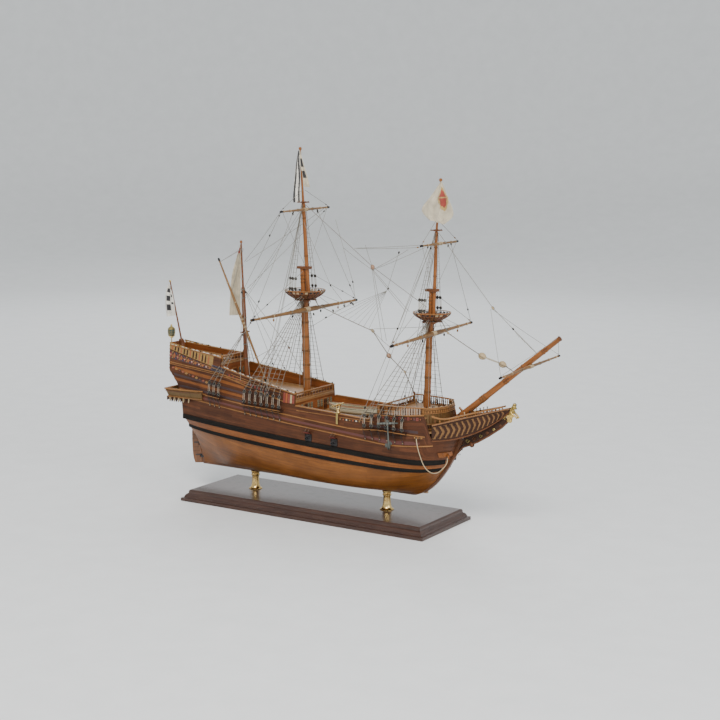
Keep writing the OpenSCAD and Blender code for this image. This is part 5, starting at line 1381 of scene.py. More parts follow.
lower = Piece("lower_mast_spars", stands_for=["lower_masts"])
for at, r0, r1, r2, r3, top, cap_z, aft in ((main_at, 5.6, 5.4, 4.1, 3.7, 320.5, 368.5, (1.2, 2.0)),
                                         (fore_at, 5.0, 4.7, 2.9, 2.7, 301, 347, (0, 0))):
    spar(lower, at(DECK_Z - 1.8), at(top), r0, r1)
    spar(lower, at(top - 1) - X * aft[0], at(cap_z) - X * aft[1], r2, r3)
    ax = at(300) - at(200)
    z = 200.0
    while z < top - 12:
        r = mix(r0, r1, (z - DECK_Z) / (top - DECK_Z))
        woolding(lower, at(z), ax, r, 4, 0.42, "hoop")
        for s in (-1, 1):
            lower.lathe(at(z) + ax.normalized() * s * 2.3, ax,
                        [(r, -0.3), (r + 0.35, -0.3), (r + 0.35, 0.3), (r, 0.3)],
                        M["trim"], 18, caps=False)
        z += 21.5
    for k in range(3):
        z = top + 26 + 5 * k
        if z < cap_z - 3:
            woolding(lower, at(z) - X * mix(*aft, (z - top) / (cap_z - top)), ax,
                     mix(r2, r3, (z - top) / (cap_z - top)), 3, 0.38, "hoop")
    lower.lathe(at(DECK_Z + (31 if at is main_at else 25)), ax,
                [(r0 - 0.1, -5), (r0 + 1.7, -5), (r0 + 1.9, -4.2), (r0 + 1.2, -3.4), (r0 - 0.1, -3.2)],
                M["brown"], 24, caps=False)
    for s in (-1, 1):                 # cheeks under the top
        lower.prism([(-2.6, 0), (3.2, 0), (2.4, -14), (-1.4, -18)],
                    at(top - 1) + vec(0.8, s * (r1 + 0.3), 0), X, Z, 1.5,
                    M["brown"], grain=Z)
lower.finish()

upper = Piece("topmast_spars", stands_for=["topmasts"])
for at, z0, z1, pole, a, b, c, d in ((main_top_at, 326, 464, main_top_at(544), 3.1, 2.7, 1.9, 1.0),
                                    (fore_top_at, 307, 430, vec(201.5, 0, 502), 2.6, 2.3, 1.7, 0.9)):
    spar(upper, at(z0), at(z1), a, b)
    spar(upper, at(z1 - 1), pole, c, d)
    ax = at(z1) - at(z0)
    for z in (z0 + 4, z0 + 60, z1 - 22, z1 - 5):
        woolding(upper, at(z), ax, mix(a, b, (z - z0) / (z1 - z0)), 3, 0.34, "hoop")
    upper.lathe(pole - Z, Z, [(0.8, -0.6), (1.9, -0.2), (2.4, 0.7), (2.2, 1.6), (2.4, 2.3), (1.8, 3.4),
                              (0.9, 4.0),
                                 (0.1, 4.1)], M["mast"], 18)
upper.finish()

mizzen = Piece("mizzen_mast_spar", stands_for=["mizzen_mast"])
spar(mizzen, mizzen_at(DECK_Z - 1.8), mizzen_at(332), 3.9, 3.0, "mizzen")
spar(mizzen, mizzen_at(331), mizzen_at(402), 1.7, 1.1, "mizzen")
for z in (222, 244, 285, 316, 329, 345, 366):
    woolding(mizzen, mizzen_at(z), mizzen_at(300) - mizzen_at(200),
             mix(3.9, 3.0, (z - 149) / 183) if z < 332 else mix(1.7, 1.1, (z - 331) / 71), 3, 0.36,
             "rope_dark")
mizzen.lathe(mizzen_at(400.8), Z, [(0.9, -0.4), (1.9, 0), (1.9, 1.2), (2.1, 2), (1.4, 3.2), (0.1, 4.0)],
             M["mast"], 16)
mizzen.finish()

sprit = Piece("bowsprit_spar", stands_for=["bowsprit"])
BS0, BS1 = vec(226, 0, 160.5), vec(389, 0, 293)
spar(sprit, BS0, BS1, 5.2, 3.4, n=24)
bs = (BS1 - BS0).normalized()
for d in (12, 17, 58, 62, 66, 104, 108, 140, 178, 183):
    woolding(sprit, BS0 + bs * d, bs, mix(5.2, 3.4, d / 207), 4 if d < 70 else 3, 0.4, "hoop")
for d in (104, 178):
    for s in (-1, 1):
        c = BS0 + bs * (d + 6) + Y * s * (mix(5.2, 3.4, d / 207) + 0.6)
        sprit.prism([(-5, -0.9), (5, -0.9), (3.4, 0.9), (-4.2, 0.5)], c, bs, bs.cross(Y), 1.1, M["brown"],
                    grain=bs)
sprit.lathe(BS1 - bs * 1.2, bs, [(3.3, 0), (3.8, 0.3), (3.8, 1.1), (3.3, 1.5), (0.2, 1.6)], M["brown"], 18)
sprit.finish()

# ------------------------------------------------------------------ tops, caps and crosstrees
tops = Piece("mast_top_bowls", stands_for=["mast_tops"], sharp=32)


def bowl(c, r, low, h, hole, n=14):
    """A lookout bowl: swelling latticed side, a rail on posts and a planked floor."""
    c = vec(c)

    def wall(t):
        """Radius and height up the outside of the side."""
        return mix(low + 1.2, r - 0.4, 1 - (1 - t) ** 1.55), 1 + (h - 2.2) * t

    side_out = [wall(t) for t in span(0, 0.66, 7)]
    rail_r, rail_h = side_out[-1]
    tops.lathe(c, Z, [(hole, 0), (low, 0)] + side_out, M["panelled"], 56, caps=False)
    tops.lathe(c, Z, [(q - 0.9, z + 0.3) for q, z in side_out[::-1]]
               + [(low - 0.9, 1.5), (hole, 1.4), (hole, 0)],
               M["inner"], 56, caps=False)
    tops.lathe(c, Z, [(r - 1.9, h - 1.0), (r - 0.1, h - 1.0), (r, h - 0.6), (r, h - 0.2), (r - 0.3, h),
                      (r - 1.7, h),
                      (r - 1.9, h - 0.3), (r - 1.9, h - 1.0)], M["trim"], 56, caps=False)
    tops.lathe(c, Z, [(low + 0.2, 0.2), (low + 1.3, 0.4), (low + 1.9, 1.1), (low + 1.2, 1.8)], M["dark"], 48,
               caps=False)
    for q, z in (side_out[3], (rail_r, rail_h)):
        tops.lathe(c + Z * z, Z, [(q - 1.0, 0.45), (q - 0.3, -0.5), (q + 0.3, -0.45), (q + 0.45, 0),
                                  (q + 0.35, 0.5),
                                  (q - 1.0, 0.5)], M["brown"], 56, caps=False)
    for k in range(n * 2):
        a = 2 * math.pi * (k + 0.5) / (n * 2)
        out = vec(math.cos(a), math.sin(a), 0)
        ribs = [c + out * (wall(t)[0] + 0.25) + Z * wall(t)[1] for t in span(0.02, 0.97, 5)]
        for p0, p1 in zip(ribs, ribs[1:]):
            tops.bar(p0, p1, 0.85, 0.8, M["brown" if k % 2 else "dark"], up=out)
        b = a + math.pi / (n * 2)
        mid = vec(math.cos(b), math.sin(b), 0)
        width = 2 * math.pi * rail_r / (n * 2)
        q0, q1 = wall(0.72), wall(0.93)
        tops.bar(c + mid * (q0[0] - 0.5) + Z * q0[1], c + mid * (q1[0] - 0.6) + Z * q1[1], width * 0.62, 0.4,
                 M["cream" if (k * 5) % 7 in (0, 2, 3) else "void"], up=mid)
        for t0, t1, side_step in ((0.08, 0.3, 1), (0.34, 0.6, -1)):
            e = mid.cross(Z) * side_step * width * 0.3
            p0, p1 = c + mid * (wall(t0)[0] + 0.1) + Z * wall(t0)[1], c + mid * (wall(t1)[0]
                                                                                 + 0.1) + Z * wall(t1)[1]
            tops.bar(p0 - e, p1 + e, 0.5, 0.5, M["trim" if k % 3 else "red"], up=mid)
    for k in range(8):                # knees inside
        a = 2 * math.pi * (k + 0.5) / 8
        out = vec(math.cos(a), math.sin(a), 0)
        tops.bar(c + out * (hole + 0.2) + Z * 1.8, c + out * (low + 1.5) + Z * 2.4, 1.1, 0.8, M["dark"])
    for s in (-1, 1):                 # trestletrees under the bowl
        tops.block(c + vec(1.2, s * (hole + 1.2), -1.4), (low * 1.8, 1.8, 2.6), M["brown"], chamfer=0.3)
        tops.block(c + vec(s * (hole + 1.2), 0, -0.9), (1.8, low * 1.8, 1.6), M["brown"], chamfer=0.3)


TOP_R, TOP_Z, TOP_X = (31, 27.5), (335.5, 316), (-29.9, 189.3)
bowl((TOP_X[0], 0, TOP_Z[0] - 14), TOP_R[0], 15, 14, 7.4)
bowl((TOP_X[1], 0, TOP_Z[1] - 13), TOP_R[1], 11.4, 13, 8.8, 12)


def cap_block(c, back, front, r_mast, r_top, dx, sx=0.1):
    """Cap with a square hole for the masthead and a round one for the topmast, dx before it."""
    c = vec(c)
    for s in (-1, 1):
        tops.block(c + vec((front - back) / 2, s * 4.7, 2), (back + front, 1.1, 4), M["brown"], chamfer=0.35)
    for x0, x1 in ((-back, sx - r_mast - 0.6), (dx + r_top + 0.8, front)):
        tops.block(c + vec((x0 + x1) / 2, 0, 2), (x1 - x0, 8.4, 4), M["brown"], chamfer=0.3)
    tops.lathe(c + X * sx, Z, [(r_mast + 0.2, 0), (r_mast + 1, 0), (r_mast + 1, 3.6), (r_mast + 0.4, 4.0),
                               (0.4, 4.1)], M["brown"], 24)
    tops.lathe(c + X * dx, Z, [(r_top + 0.3, -0.2), (r_top + 1.3, 0), (r_top + 1.3, 4), (r_top + 0.8, 4.3),
                               (r_top + 0.3, 4.3)], M["brown"], 24, caps=False)
    for z in (0.9, 3.1):
        tops.block(c + vec(-back - 0.2, 0, z), (0.5, 9.6, 0.5), M["iron"], chamfer=0.1)


cap_block(main_at(366.5), 9, 12, 3.7, 3.0, 6.1, -1.95)
cap_block(fore_at(345), 7, 11, 2.7, 2.5, 5.8)


def crosstrees(c, l):
    c = vec(c)
    tops.block(c + vec(-3.1, 0, 1.1), (1.5, l, 1.3), M["brown"], chamfer=0.25)
    tops.block(c + vec(3.1, 0, 1.1), (1.5, l * 0.9, 1.3), M["brown"], chamfer=0.25)
    for s in (-1, 1):
        tops.block(c + vec(0, s * 3.6, 0.5), (l / 1.3, 1.4, 1.2), M["brown"], chamfer=0.25)
        for t in (-3.1, 3.1):
            tops.ball(c + vec(t, s * l * 0.46, 1.9), 0.5, M["ebony"], 8)
    tops.lathe(c, Z, [(3.0, -0.6), (4.3, -0.4), (4.6, 0.4), (4.6, 1.6), (4.2, 1.9), (3.0, 1.9)], M["brown"],
               24, caps=False)


crosstrees(main_top_at(465), 22)
crosstrees(fore_top_at(431.4), 20)
c = mizzen_at(262)
tops.block(c + vec(0, 6.2, 1), (4, 7.4, 2), M["brown"], chamfer=0.3)
tops.block(c + vec(0, -6.2, 1), (4, 7.4, 2), M["brown"], chamfer=0.3)
tops.lathe(c, Z, [(3.6, 0), (4.6, 0.1), (4.8, 0.6), (4.8, 1.5), (4.5, 2), (3.6, 2)], M["brown"], 20,
           caps=False)
tops.finish()

# ------------------------------------------------------------------ yards
YARDS = {
    "main": (vec(-21, -8, 306.5), 301, 3, 3.4, 1.6), "fore": (vec(194, -3, 285.3), 286, 6, 3.2, 1.5),
    "main_topsail": (vec(-26.4, -3, 455.2), 157, 7.2, 2.1, 1.1),
    "fore_topsail": (vec(200.7, 0, 413.5), 112, 1.3, 1.9, 1.0),
    "spritsail": (vec(346.2, 0, 250.7), 226, 4.7, 2.2, 1.1),
}


def yard_dir(key):
    a = math.radians(YARDS[key][2])
    return vec(math.sin(a), -math.cos(a), 0)


def build_yard(p, key):
    c, l, _, r, re = YARDS[key]
    d = yard_dir(key)
    for s in (-1, 1):
        spar(p, c, c + d * s * l / 2, r, re, "yard", 18, 8)
        tip = c + d * s * (l / 2 - 0.5)
        cap = [(re + 0.25, 0), (re + 0.55, 0.2), (re + 0.5, 5.6), (re + 0.1, 6.1)]
        p.lathe(tip - d * s * 5.6, d * s, cap, M["ebony"], 16)
        for f in (0.3, 0.62, 0.86):
            woolding(p, c + d * s * l / 2 * f, d, mix(r, re, f), 3, 0.34, "lash" if f > 0.5 else "rope_dark")
        p.bar(c + d * s * (l * 0.47) + Z * (re + 0.3), c + d * s * (l * 0.485) + Z * (re + 0.3), 0.9, 0.9,
              M["brown"])
    for k in range(-2, 3):
        woolding(p, c + d * k * 2.4, d, r, 3, 0.4)
    if key in ("main", "fore"):       # long strengthening battens at the slings
        reach = r + 0.15
        for a in range(0, 360, 60):
            turn = math.radians(a)
            off = Z * reach * math.sin(turn) + d.cross(Z) * reach * math.cos(turn)
            p.bar(c + off - d * 30, c + off + d * 30, 0.9, 0.5, M["yard"], up=off)


square = Piece("square_yard_spars", stands_for=["square_yards"])
for key in ("main", "fore", "main_topsail", "fore_topsail"):
    build_yard(square, key)
square.finish()
spritsail = Piece("spritsail_yard_spar", stands_for=["spritsail_yard"])
build_yard(spritsail, "spritsail")
spritsail.finish()

LL, LP = vec(-98, -8, 190), vec(-188, -6.4, 375.5)
lateen = Piece("lateen_yard_spar", stands_for=["lateen_yard"])
ld = (LP - LL).normalized()
lm = (LL + LP) / 2
spar(lateen, lm, LL, 2.3, 1.1, "yard", 18, 8)
spar(lateen, lm, LP, 2.3, 1.1, "yard", 18, 8)
for f in (0.04, 0.2, 0.36, 0.44, 0.47, 0.5, 0.53, 0.64, 0.8, 0.95):
    woolding(lateen, LL.lerp(LP, f), ld, 2.3 - 1.2 * abs(2 * f - 1), 4 if 0.4 < f < 0.6 else 3, 0.36)
for s, e in ((-1, LL), (1, LP)):
    lateen.lathe(e - ld * s * 4.6, ld * s, [(1.4, 0), (1.65, 0.2), (1.5, 4.6), (0.9, 5.0)], M["ebony"], 14)
lateen.finish()

# ------------------------------------------------------------------ channels, deadeyes and shrouds
GANGS = [(-177, -157, 3, 15), (-104, -36, 7, 15), (116, 176, 6, 14)]
HOUNDS = [vec(-144, 4.6, 260), vec(-30.8, 6, 318.6), vec(186, 5.2, 299.5)]
TOP_HOUNDS = [vec(-32.3, 3.3, 462.5), vec(195.4, 3, 428.5)]
EYE_R, TOP_EYE_R = 2.8, 2.1


def gang_x(g, i):
    return mix(g[0], g[1], i / (g[2] - 1))


def chan_z(x):
    return rail_z(x) + 2.2 + (3.2 * clamp((x + 104) / 68, 0, 1) if x < -20 else 0)


def foot(g, i, lift):
    x = gang_x(g, i)
    return vec(x, half_at(x, chan_z(x)) + 7.6 - lift * 0.1, chan_z(x) + 5.2 + lift)


def top_foot(k, i, lift):
    a, r = math.radians((-22, -10, 2)[i]), TOP_R[k] - 4
    return vec(TOP_X[k] + r * math.sin(a), r * math.cos(a) - lift * 0.1, TOP_Z[k] + 3.4 + lift)


chan = Piece("channel_boards", stands_for=["channels"], sharp=35)
eyes = Piece("deadeye_pairs", stands_for=["deadeyes"], sharp=40)
shroud = Piece("shroud_ropes", stands_for=["shrouds"], sharp=60)
steps_p = Piece("ratline_ropes", stands_for=["ratlines"], sharp=60)


def deadeye(p, c, r, t, mat="ebony", strap=True):
    """A round grooved block with three holes, flat to the ship's side."""
    c = vec(c)
    p.lathe(c - Y * t / 2, Y, [(r * 0.25, 0), (r * 0.75, 0.0), (r * 0.97, t * 0.18), (r * 0.9, t * 0.42),
                               (r * 0.9, t * 0.58),
                               (r * 0.97, t * 0.82), (r * 0.75, t), (r * 0.25, t)], M[mat], 18)
    for a in (90, 210, 330):
        h = c + vec(math.cos(math.radians(a)), 0, math.sin(math.radians(a))) * r * 0.48
        p.lathe(h - Y * (t / 2 + 0.03), Y, [(r * 0.17, 0), (r * 0.19, t + 0.06)], M["rope_grey"], 8)
    if strap:
        p.tube([c + vec(math.cos(a), 0, math.sin(a)) * (r + 0.12) for a in span(0, 2 * math.pi, 16)], 0.3,
               M["rope_dark"], 6, caps=False)


for mirror in (False, True):
    for p in (chan, eyes, shroud, steps_p):
        p.mirror = mirror
    for gi, g in enumerate(GANGS):
        us = span(nom_u(g[0] - 4), nom_u(g[1] + 4), 20)
        board = [(0.4, -0.7), (9.2, -0.7), (9.6, -0.35), (9.6, 0.35), (9.2, 0.7), (0.4, 0.7)]
        chan.strip(us, lambda u: chan_z(nom_x(u)), board, M["dark"])
        chan.strip(us, lambda u: chan_z(nom_x(u)),
                   [(9.55, -0.55), (10.0, -0.5), (10.15, 0), (10.0, 0.5), (9.55, 0.55)],
                   M["trim"])
        for i in range(g[2]):
            x = gang_x(g, i)
            z, y = chan_z(x), half_at(x, chan_z(x))
            lo = vec(x - 1, half_at(x, z - 15) + 1.6, z - 14.6)
            hi = vec(x, y + 10.3, z + 0.2)
            for k in range(4):            # the chain: four long links
                a, b = hi.lerp(lo, k / 4 + 0.01), hi.lerp(lo, (k + 1) / 4 + 0.03)
                w = vec(0.75, 0, 0) if k % 2 else vec(0.35, 0.45, 0)
                chan.tube([a, a.lerp(b, 0.12) + w, a.lerp(b, 0.88) + w, b, a.lerp(b, 0.88) - w,
                           a.lerp(b, 0.12) - w, a],
                          0.26, M["iron"], 6, caps=False)
            chan.block(lo - Z * 0.6, (1.5, 0.9, 3.0), M["iron"], chamfer=0.3)
            chan.ball(lo + vec(0, 0.5, -0.4), 0.75, M["cream"], 10)
            chan.ball(lo + vec(0, 0.4, -2.0), 0.45, M["iron"], 8)
            chan.tube([vec(x, y + 7.6, z), vec(x, y + 8.4, z + 1.2), foot(g, i, 0) - Z * EYE_R], 0.42,
                      M["iron"], 6)
        for i in range(0, g[2] - 1):      # brackets over the channel
            x = (gang_x(g, i) + gang_x(g, i + 1)) / 2
            z = chan_z(x)
            y = half_at(x, z)
            chan.prism([(0.3, -0.6), (8.4, -0.6), (0.6, -4.6)], (x, y, z), Y, Z, 1.0, M["dark"], grain=Y)
        for i in range(g[2]):
            a, b = foot(g, i, 0), foot(g, i, g[3])
            deadeye(eyes, a, EYE_R, 2.4)
            deadeye(eyes, b, EYE_R, 2.4)
            for dx in (-1.35, 0, 1.35):
                dy = 0.75 if dx else -0.75
                shroud.rod(a + vec(dx, dy, 1.0), b + vec(dx * 0.9, dy, -1.0), 0.27, M["rope_pale"], n=6)
            n = g[2] - 1
            top = HOUNDS[gi] + vec((i - g[2] / 2) * 1.1, 0, 0)
            low = b + Z * (EYE_R - 0.2)
            t = (top - low).normalized()
            shroud.tube([low.lerp(top, k / 6) for k in range(7)], 0.45, M["rope_dark"], 8)
            for k in range(3):            # seizings over the upper deadeye
                shroud.lathe(low + t * (2.0 + 2.6 * k), t, [(0.45, 0), (0.75, 0.2), (0.75, 1.0), (0.45, 1.2)],
                             M["rope_dark"], 8, caps=False)
            shroud.rod(low + vec(0.7, 0, 0), low + t * 9 + vec(0.1, 0.7, 0), 0.4, M["rope_dark"], n=8)
        # rungs, each a rope lying across the shrouds and sagging a little between them
        lows = [foot(g, i, g[3]) + Z * (EYE_R - 0.2) for i in range(g[2])]
        highs = [HOUNDS[gi] + vec((i - g[2] / 2) * 1.1, 0, 0) for i in range(g[2])]
        z = lows[0].z + 8
        while z < highs[0].z - 10:
            pts = []
            for i in range(g[2]):
                t = (z - lows[i].z) / (highs[i].z - lows[i].z)
                q = lows[i].lerp(highs[i], t) + Y * 0.5
                if pts and t < 0.86:
                    pts.append((pts[-1] + q) / 2 - Z * 0.25)
                pts.append(q)
                if t < 0.9:
                    steps_p.ball(q - Y * 0.1, 0.5, M["rope_dark"], 6)
            e = (pts[-1] - pts[0]).normalized()
            steps_p.tube([pts[0] - e * 0.9] + pts + [pts[-1] + e * 0.9], 0.24, M["rope_grey"], 5)
            z += 6.6
        # a wooden batten seized across the lowest part
        a = lows[0].lerp(highs[0], 0.02) + Y * 0.5
        b = lows[-1].lerp(highs[-1], 0.02) + Y * 0.5
        e = (b - a).normalized()
        shroud.rod(a - e * 1.6, b + e * 1.6, 0.55, M["ebony"], n=8)
    for k in (0, 1):
        lows, highs = [], []
        for i in range(3):
            deadeye(eyes, top_foot(k, i, 0), TOP_EYE_R, 2.0)
            deadeye(eyes, top_foot(k, i, 15), TOP_EYE_R, 2.0)
            for dx in (-1.1, 0, 1.1):
                dy = 0.5 if dx else -0.5
                shroud.rod(top_foot(k, i, 1.0) + vec(dx, dy, 0), top_foot(k, i, 14.0) + vec(dx, dy, 0), 0.26,
                           M["rope_pale"], n=6)
            shroud.rod(top_foot(k, i, -TOP_EYE_R), top_foot(k, i, -5) + vec(0, 0.3, 0), 0.35, M["iron"], n=6)
            low, high = top_foot(k, i, 15 + TOP_EYE_R), TOP_HOUNDS[k] + vec((i - 1) * 1.1, 0, 0)
            lows.append(low)
            highs.append(high)
            shroud.tube([low.lerp(high, j / 5) for j in range(6)], 0.35, M["rope_dark"], 8)
        z = lows[0].z + 7
        while z < highs[0].z - 8:
            t = (z - lows[0].z) / (highs[0].z - lows[0].z)
            pts = [lows[i].lerp(highs[i], t) + Y * 0.35 for i in range(3)]
            e = (pts[2] - pts[0]).normalized()
            steps_p.tube([pts[0] - e * 0.7] + pts + [pts[2] + e * 0.7], 0.2, M["rope_grey"], 5)
            z += 6.2
        # futtock shrouds under the bowl
        at = main_at if k == 0 else fore_at
        for i in range(3):
            p0 = top_foot(k, i, -6)
            c = at(TOP_Z[k] - 34)
            shroud.rod(vec(p0.x, p0.y * 0.62, TOP_Z[k] - 13), vec(mix(p0.x, c.x, 0.75), 5.2, TOP_Z[k] - 33),
                       0.35,
                       M["rope_dark"], n=8)
for p in (chan, eyes, shroud, steps_p):
    p.finish()


# ------------------------------------------------------------------ beak
def panel_y(x):
    return 3 + 37 * ((320 - x) / 107) ** 2


def panel_low(x):
    return 138 + 0.0044 * (x - 214) ** 2


def panel_high(x):
    return 160.5 + 0.28 * (x - 213.6)


def head_rail_z(x):
    return panel_high(x) + 3.2 + 9 * clamp((235 - x) / 22, 0, 1) ** 2


def beak_pt(x, z, d=0.0):
    """A point d outside the port panel of the beak."""
    t = vec(2, panel_y(x + 1) - panel_y(x - 1), 0).normalized()
    return vec(x, panel_y(x), z) + vec(-t.y, t.x, 0) * d


def beak_sweep(p, zf, profile, mat, x0=213.0, x1=316.0, n=22):
    """Sweeps a profile of (outwards, up) pairs along the beak at the height zf(x)."""
    p.loft([[beak_pt(x, zf(x) + h, d) for d, h in profile] for x in span(x0, x1, n)], mat)


MOULDING = [(-0.5, -0.9), (1.9, -0.9), (2.4, -0.4), (2.4, 0.4), (1.9, 0.9), (-0.5, 0.9)]
beak = Piece("beak_chevron_panels", stands_for=["beak_panels"], sharp=34)


def build_beak():
    xs = span(213, 316, 24)
    beak.loft([[beak_pt(x, panel_low(x)), beak_pt(x, panel_high(x)), beak_pt(x, panel_high(x), 1.3),
                beak_pt(x, panel_low(x), 1.3)] for x in xs], M["dark"])
    beak_sweep(beak, panel_low, MOULDING, M["brown"])
    beak_sweep(beak, panel_high, MOULDING, M["beak_rail"])
    beak_sweep(beak, lambda x: mix(panel_low(x), panel_high(x), 0.16), [(1.2, -0.3), (1.7, 0), (1.2, 0.3)],
               M["gilt"])
    beak_sweep(beak, lambda x: mix(panel_low(x), panel_high(x), 0.84), [(1.2, -0.3), (1.7, 0), (1.2, 0.3)],
               M["gilt"])
    beak_sweep(beak, lambda x: head_rail_z(x) + 1,
               [(-0.4, -1.1), (2.0, -1.1), (2.4, -0.5), (2.4, 0.5), (2.0, 1.1),
                                                   (-0.4, 1.1)], M["trim"], 213, 306)
    marks = 14
    for k in range(marks):            # chevrons pointing forward
        x = mix(214.5, 311, k / marks)
        w = mix(8.0, 4.6, k / marks)
        for za, zb in ((0.13, 0.5), (0.87, 0.5)):
            for part, mat in ((0.0, "chevron"), (0.5, "dark")):
                a = x + part * w * 0.6
                q = [(a, za), (a + w * 0.42, za), (a + w * 0.95, zb), (a + w * 0.53, zb)]
                pts = [beak_pt(min(u, 315), mix(panel_low(u), panel_high(u), v), 1.3 + d)
                       for d in (0.0, 0.45) for u, v in q]
                beak.add(pts, [[4, 5, 6, 7], [0, 1, 5, 4], [1, 2, 6, 5], [2, 3, 7, 6], [3, 0, 4, 7]], M[mat])
    for k in range(16):               # turned pins under the head rail
        x = mix(217, 301, k / 15)
        lo, hi = panel_high(x) + 0.9, head_rail_z(x) - 0.2
        if hi - lo > 1.6:
            c = beak_pt(x, lo, 0.9)
            h = hi - lo
            beak.lathe(c, Z, [(0.55, 0), (0.9, 0.06 * h), (0.9, 0.14 * h), (0.5, 0.24 * h), (1.05, 0.5 * h),
                              (0.6, 0.76 * h),
                              (0.9, 0.88 * h), (0.6, h)], M["trim" if k % 2 else "brown"], 12)
    for k in range(5):                # pin heads over it
        x = mix(246, 274, k / 4)
        beak.lathe(beak_pt(x, head_rail_z(x) + 2, 0.9), Z,
                   [(0.5, 0), (0.5, 1.4), (1.0, 2.2), (0.9, 3.1), (0.1, 3.6)],
                   M["cream" if k % 2 else "ebony"], 12)


beak.both(build_beak)
beak.lathe((320.4, 2.2, 191), vec(0.3, 0, 1), [(1.0, 0), (2.4, 1.2), (2.9, 3.2), (2.2, 5.0), (0.3, 6.0)],
           M["ebony"], 20)
beak.finish()

knee = Piece("beak_knee_carved", stands_for=["beak_knee"], sharp=40)
TOP_EDGE = [(stem_out(137) + 0.3, 136.5), (244, 143), (258, 147.4), (280, 157.6), (296, 167.5), (310, 175)]
LOW_EDGE = [(stem_out(106) + 0.3, 106), (232, 113), (242, 124), (254, 129), (266, 134.5), (283, 145),
            (303, 159), (314, 170)]
for half, mat in ((2.0, "dark"), (2.35, "brown")):
    outline = LOW_EDGE + TOP_EDGE[::-1] + [(stem_out(125) + 0.3, 125), (stem_out(115) + 0.3, 115)]
    if mat == "brown":                # a raised border along the lower edge
        border = [vec(x, 0, z) for x, z in LOW_EDGE]
        for a, b in zip(border, border[1:]):
            knee.bar(a + Z * 1.3, b + Z * 1.3, 2 * half, 1.5, M["brown"])
    else:
        knee.prism(outline, (0, 0, 0), X, Z, 2 * half, M["dark"], grain=X)
for s in (-1, 1):
    for k in range(7):                # carved scrolls down the knee
        t = k / 6
        c = vec(mix(240, 302, t), s * 2.1, mix(131, 163, t * (0.75 + 0.25 * t)))
        r = mix(3.6, 1.8, t)
        knee.tube([c + vec(math.cos(a) * r * (1 - a / 11), s * 0.2, math.sin(a) * r * (1 - a / 11))
                   for a in span(0, 8.2, 16)], 0.5, M["old_brass" if k % 2 else "brown"], 6)
    for z in (113, 120, 128):
        knee.ball((stem_out(z) + 4.5, s * 2.1, z + 1), 0.8, M["iron"], 8)
c = vec(256, 0, 131.5)
knee.ball(c, 4.2, M["brown"], 20, 0.8, vec(1, 0, 0.5))
for a in span(0, 2 * math.pi * 7 / 8, 7):
    knee.ball(c + vec(math.cos(a) * 2.4, 0, math.sin(a) * 2.4) - Z * 0.6, 1.9, M["dark"], 12)
knee.tube([vec(238, 0, 126) + vec(math.cos(a) * 2.1, 0, math.sin(a) * 2.1)
           for a in span(0, 2 * math.pi, 16)], 0.45,
          M["iron"], 8, caps=False)
knee.finish()

grate = Piece("beak_grating_bars", stands_for=["beak_grating"], sharp=40)
for x in range(222, 269, 4):
    h = panel_y(x) - 0.6
    if h > 1:
        grate.bar((x, -h, 157.2), (x, h, 157.2), 1.3, 1.5, M["trim"])
for y in range(-16, 17, 4):
    ends = [x for x in span(222, 268, 46) if panel_y(x) - 1.2 > abs(y)]
    if ends:
        grate.bar((ends[0], y, 157.6), (ends[-1], y, 157.6), 1.1, 0.8, M["deck"])
for s in (-1, 1):
    edge = [vec(x, s * (panel_y(x) - 0.8), 157.2) for x in span(222, 268, 10)]
    for a, b in zip(edge, edge[1:]):
        grate.bar(a, b, 1.2, 1.7, M["brown"])
grate.finish()

figure = Piece("figurehead_carving", stands_for=["figurehead"], sharp=50)
BASE = vec(314.4, 0, 171.4)
figure.lathe(BASE, vec(0.35, 0, 1), [(1.5, -2.4), (3.6, -1.6), (4.2, 0.4), (3.4, 2.4), (2.6, 3.4),
                                     (3.4, 5.0), (3.9, 7.6),
                                     (3.2, 10.2), (3.0, 12.4), (3.9, 14.0), (4.0, 15.6), (2.2, 17.2),
                                     (1.6, 17.8),
                                     (2.7, 18.8), (3.3, 20.6), (3.1, 22.4), (2.0, 24.0), (0.2, 24.6)],
                                     M["gilt"], 24)
for s in (-1, 1):                     # arms, mane and folds of the body
    figure.tube(smooth_line([(318.4, s * 3.2, 185), (321.6, s * 4.4, 181.6), (325.4, s * 3.6, 179.0),
                             (327.2, s * 2.4, 177.2)]),
                [1.5, 1.45, 1.4, 1.35, 1.3, 1.25, 1.2, 1.1, 1.0, 0.9][:10], M["gilt"], 10)
    figure.ball((327.3, s * 2.4, 177), 1.5, M["gilt"], 12)
    for k in range(5):
        a = vec(318.2 - 0.8 * k, s * (2.6 + 0.25 * k), 191.4 - 3.1 * k)
        figure.tube([a + vec(0.6 * math.sin(j * 1.1), s * 0.35 * math.cos(j * 1.4), -1.1 * j)
                     for j in range(5)],
                    [0.9, 1.0, 0.95, 0.8, 0.5], M["gilt"], 8)
    for k in range(4):
        a = 0.5 * k
        figure.tube([BASE + vec(2.6 * math.cos(a + j * 0.5), s * (3.3 - 0.2 * j), 0.6 + 2.3 * j)
                     for j in range(5)],
                    [0.5, 0.75, 0.8, 0.7, 0.4], M["gilt"], 6)
    figure.ball((323.2, s * 1.3, 191.4), 0.6, M["gilt"], 8)
figure.ball((324.4, 0, 189.6), 1.6, M["gilt"], 14, 0.8)
figure.ball((322.2, 0, 195.2), 2.3, M["gilt"], 14, 0.6)
for a in (-50, -25, 0, 25, 50):       # crown
    t = math.radians(a)
    figure.lathe((321.8, 2.2 * math.sin(t), 195.2), vec(0.3, math.sin(t) * 0.5, 1),
                 [(0.5, 0), (0.3, 1.2), (0.05, 2.0)],
                 M["gilt"], 8)
figure.tube(smooth_line([(305, 0, 173.2), (308, 0, 176.4), (306.4, 0, 179.6), (303.4, 0, 178.6),
                         (303.8, 0, 176.2)]), 1.3,
            M["gilt"], 10)            # scroll behind it
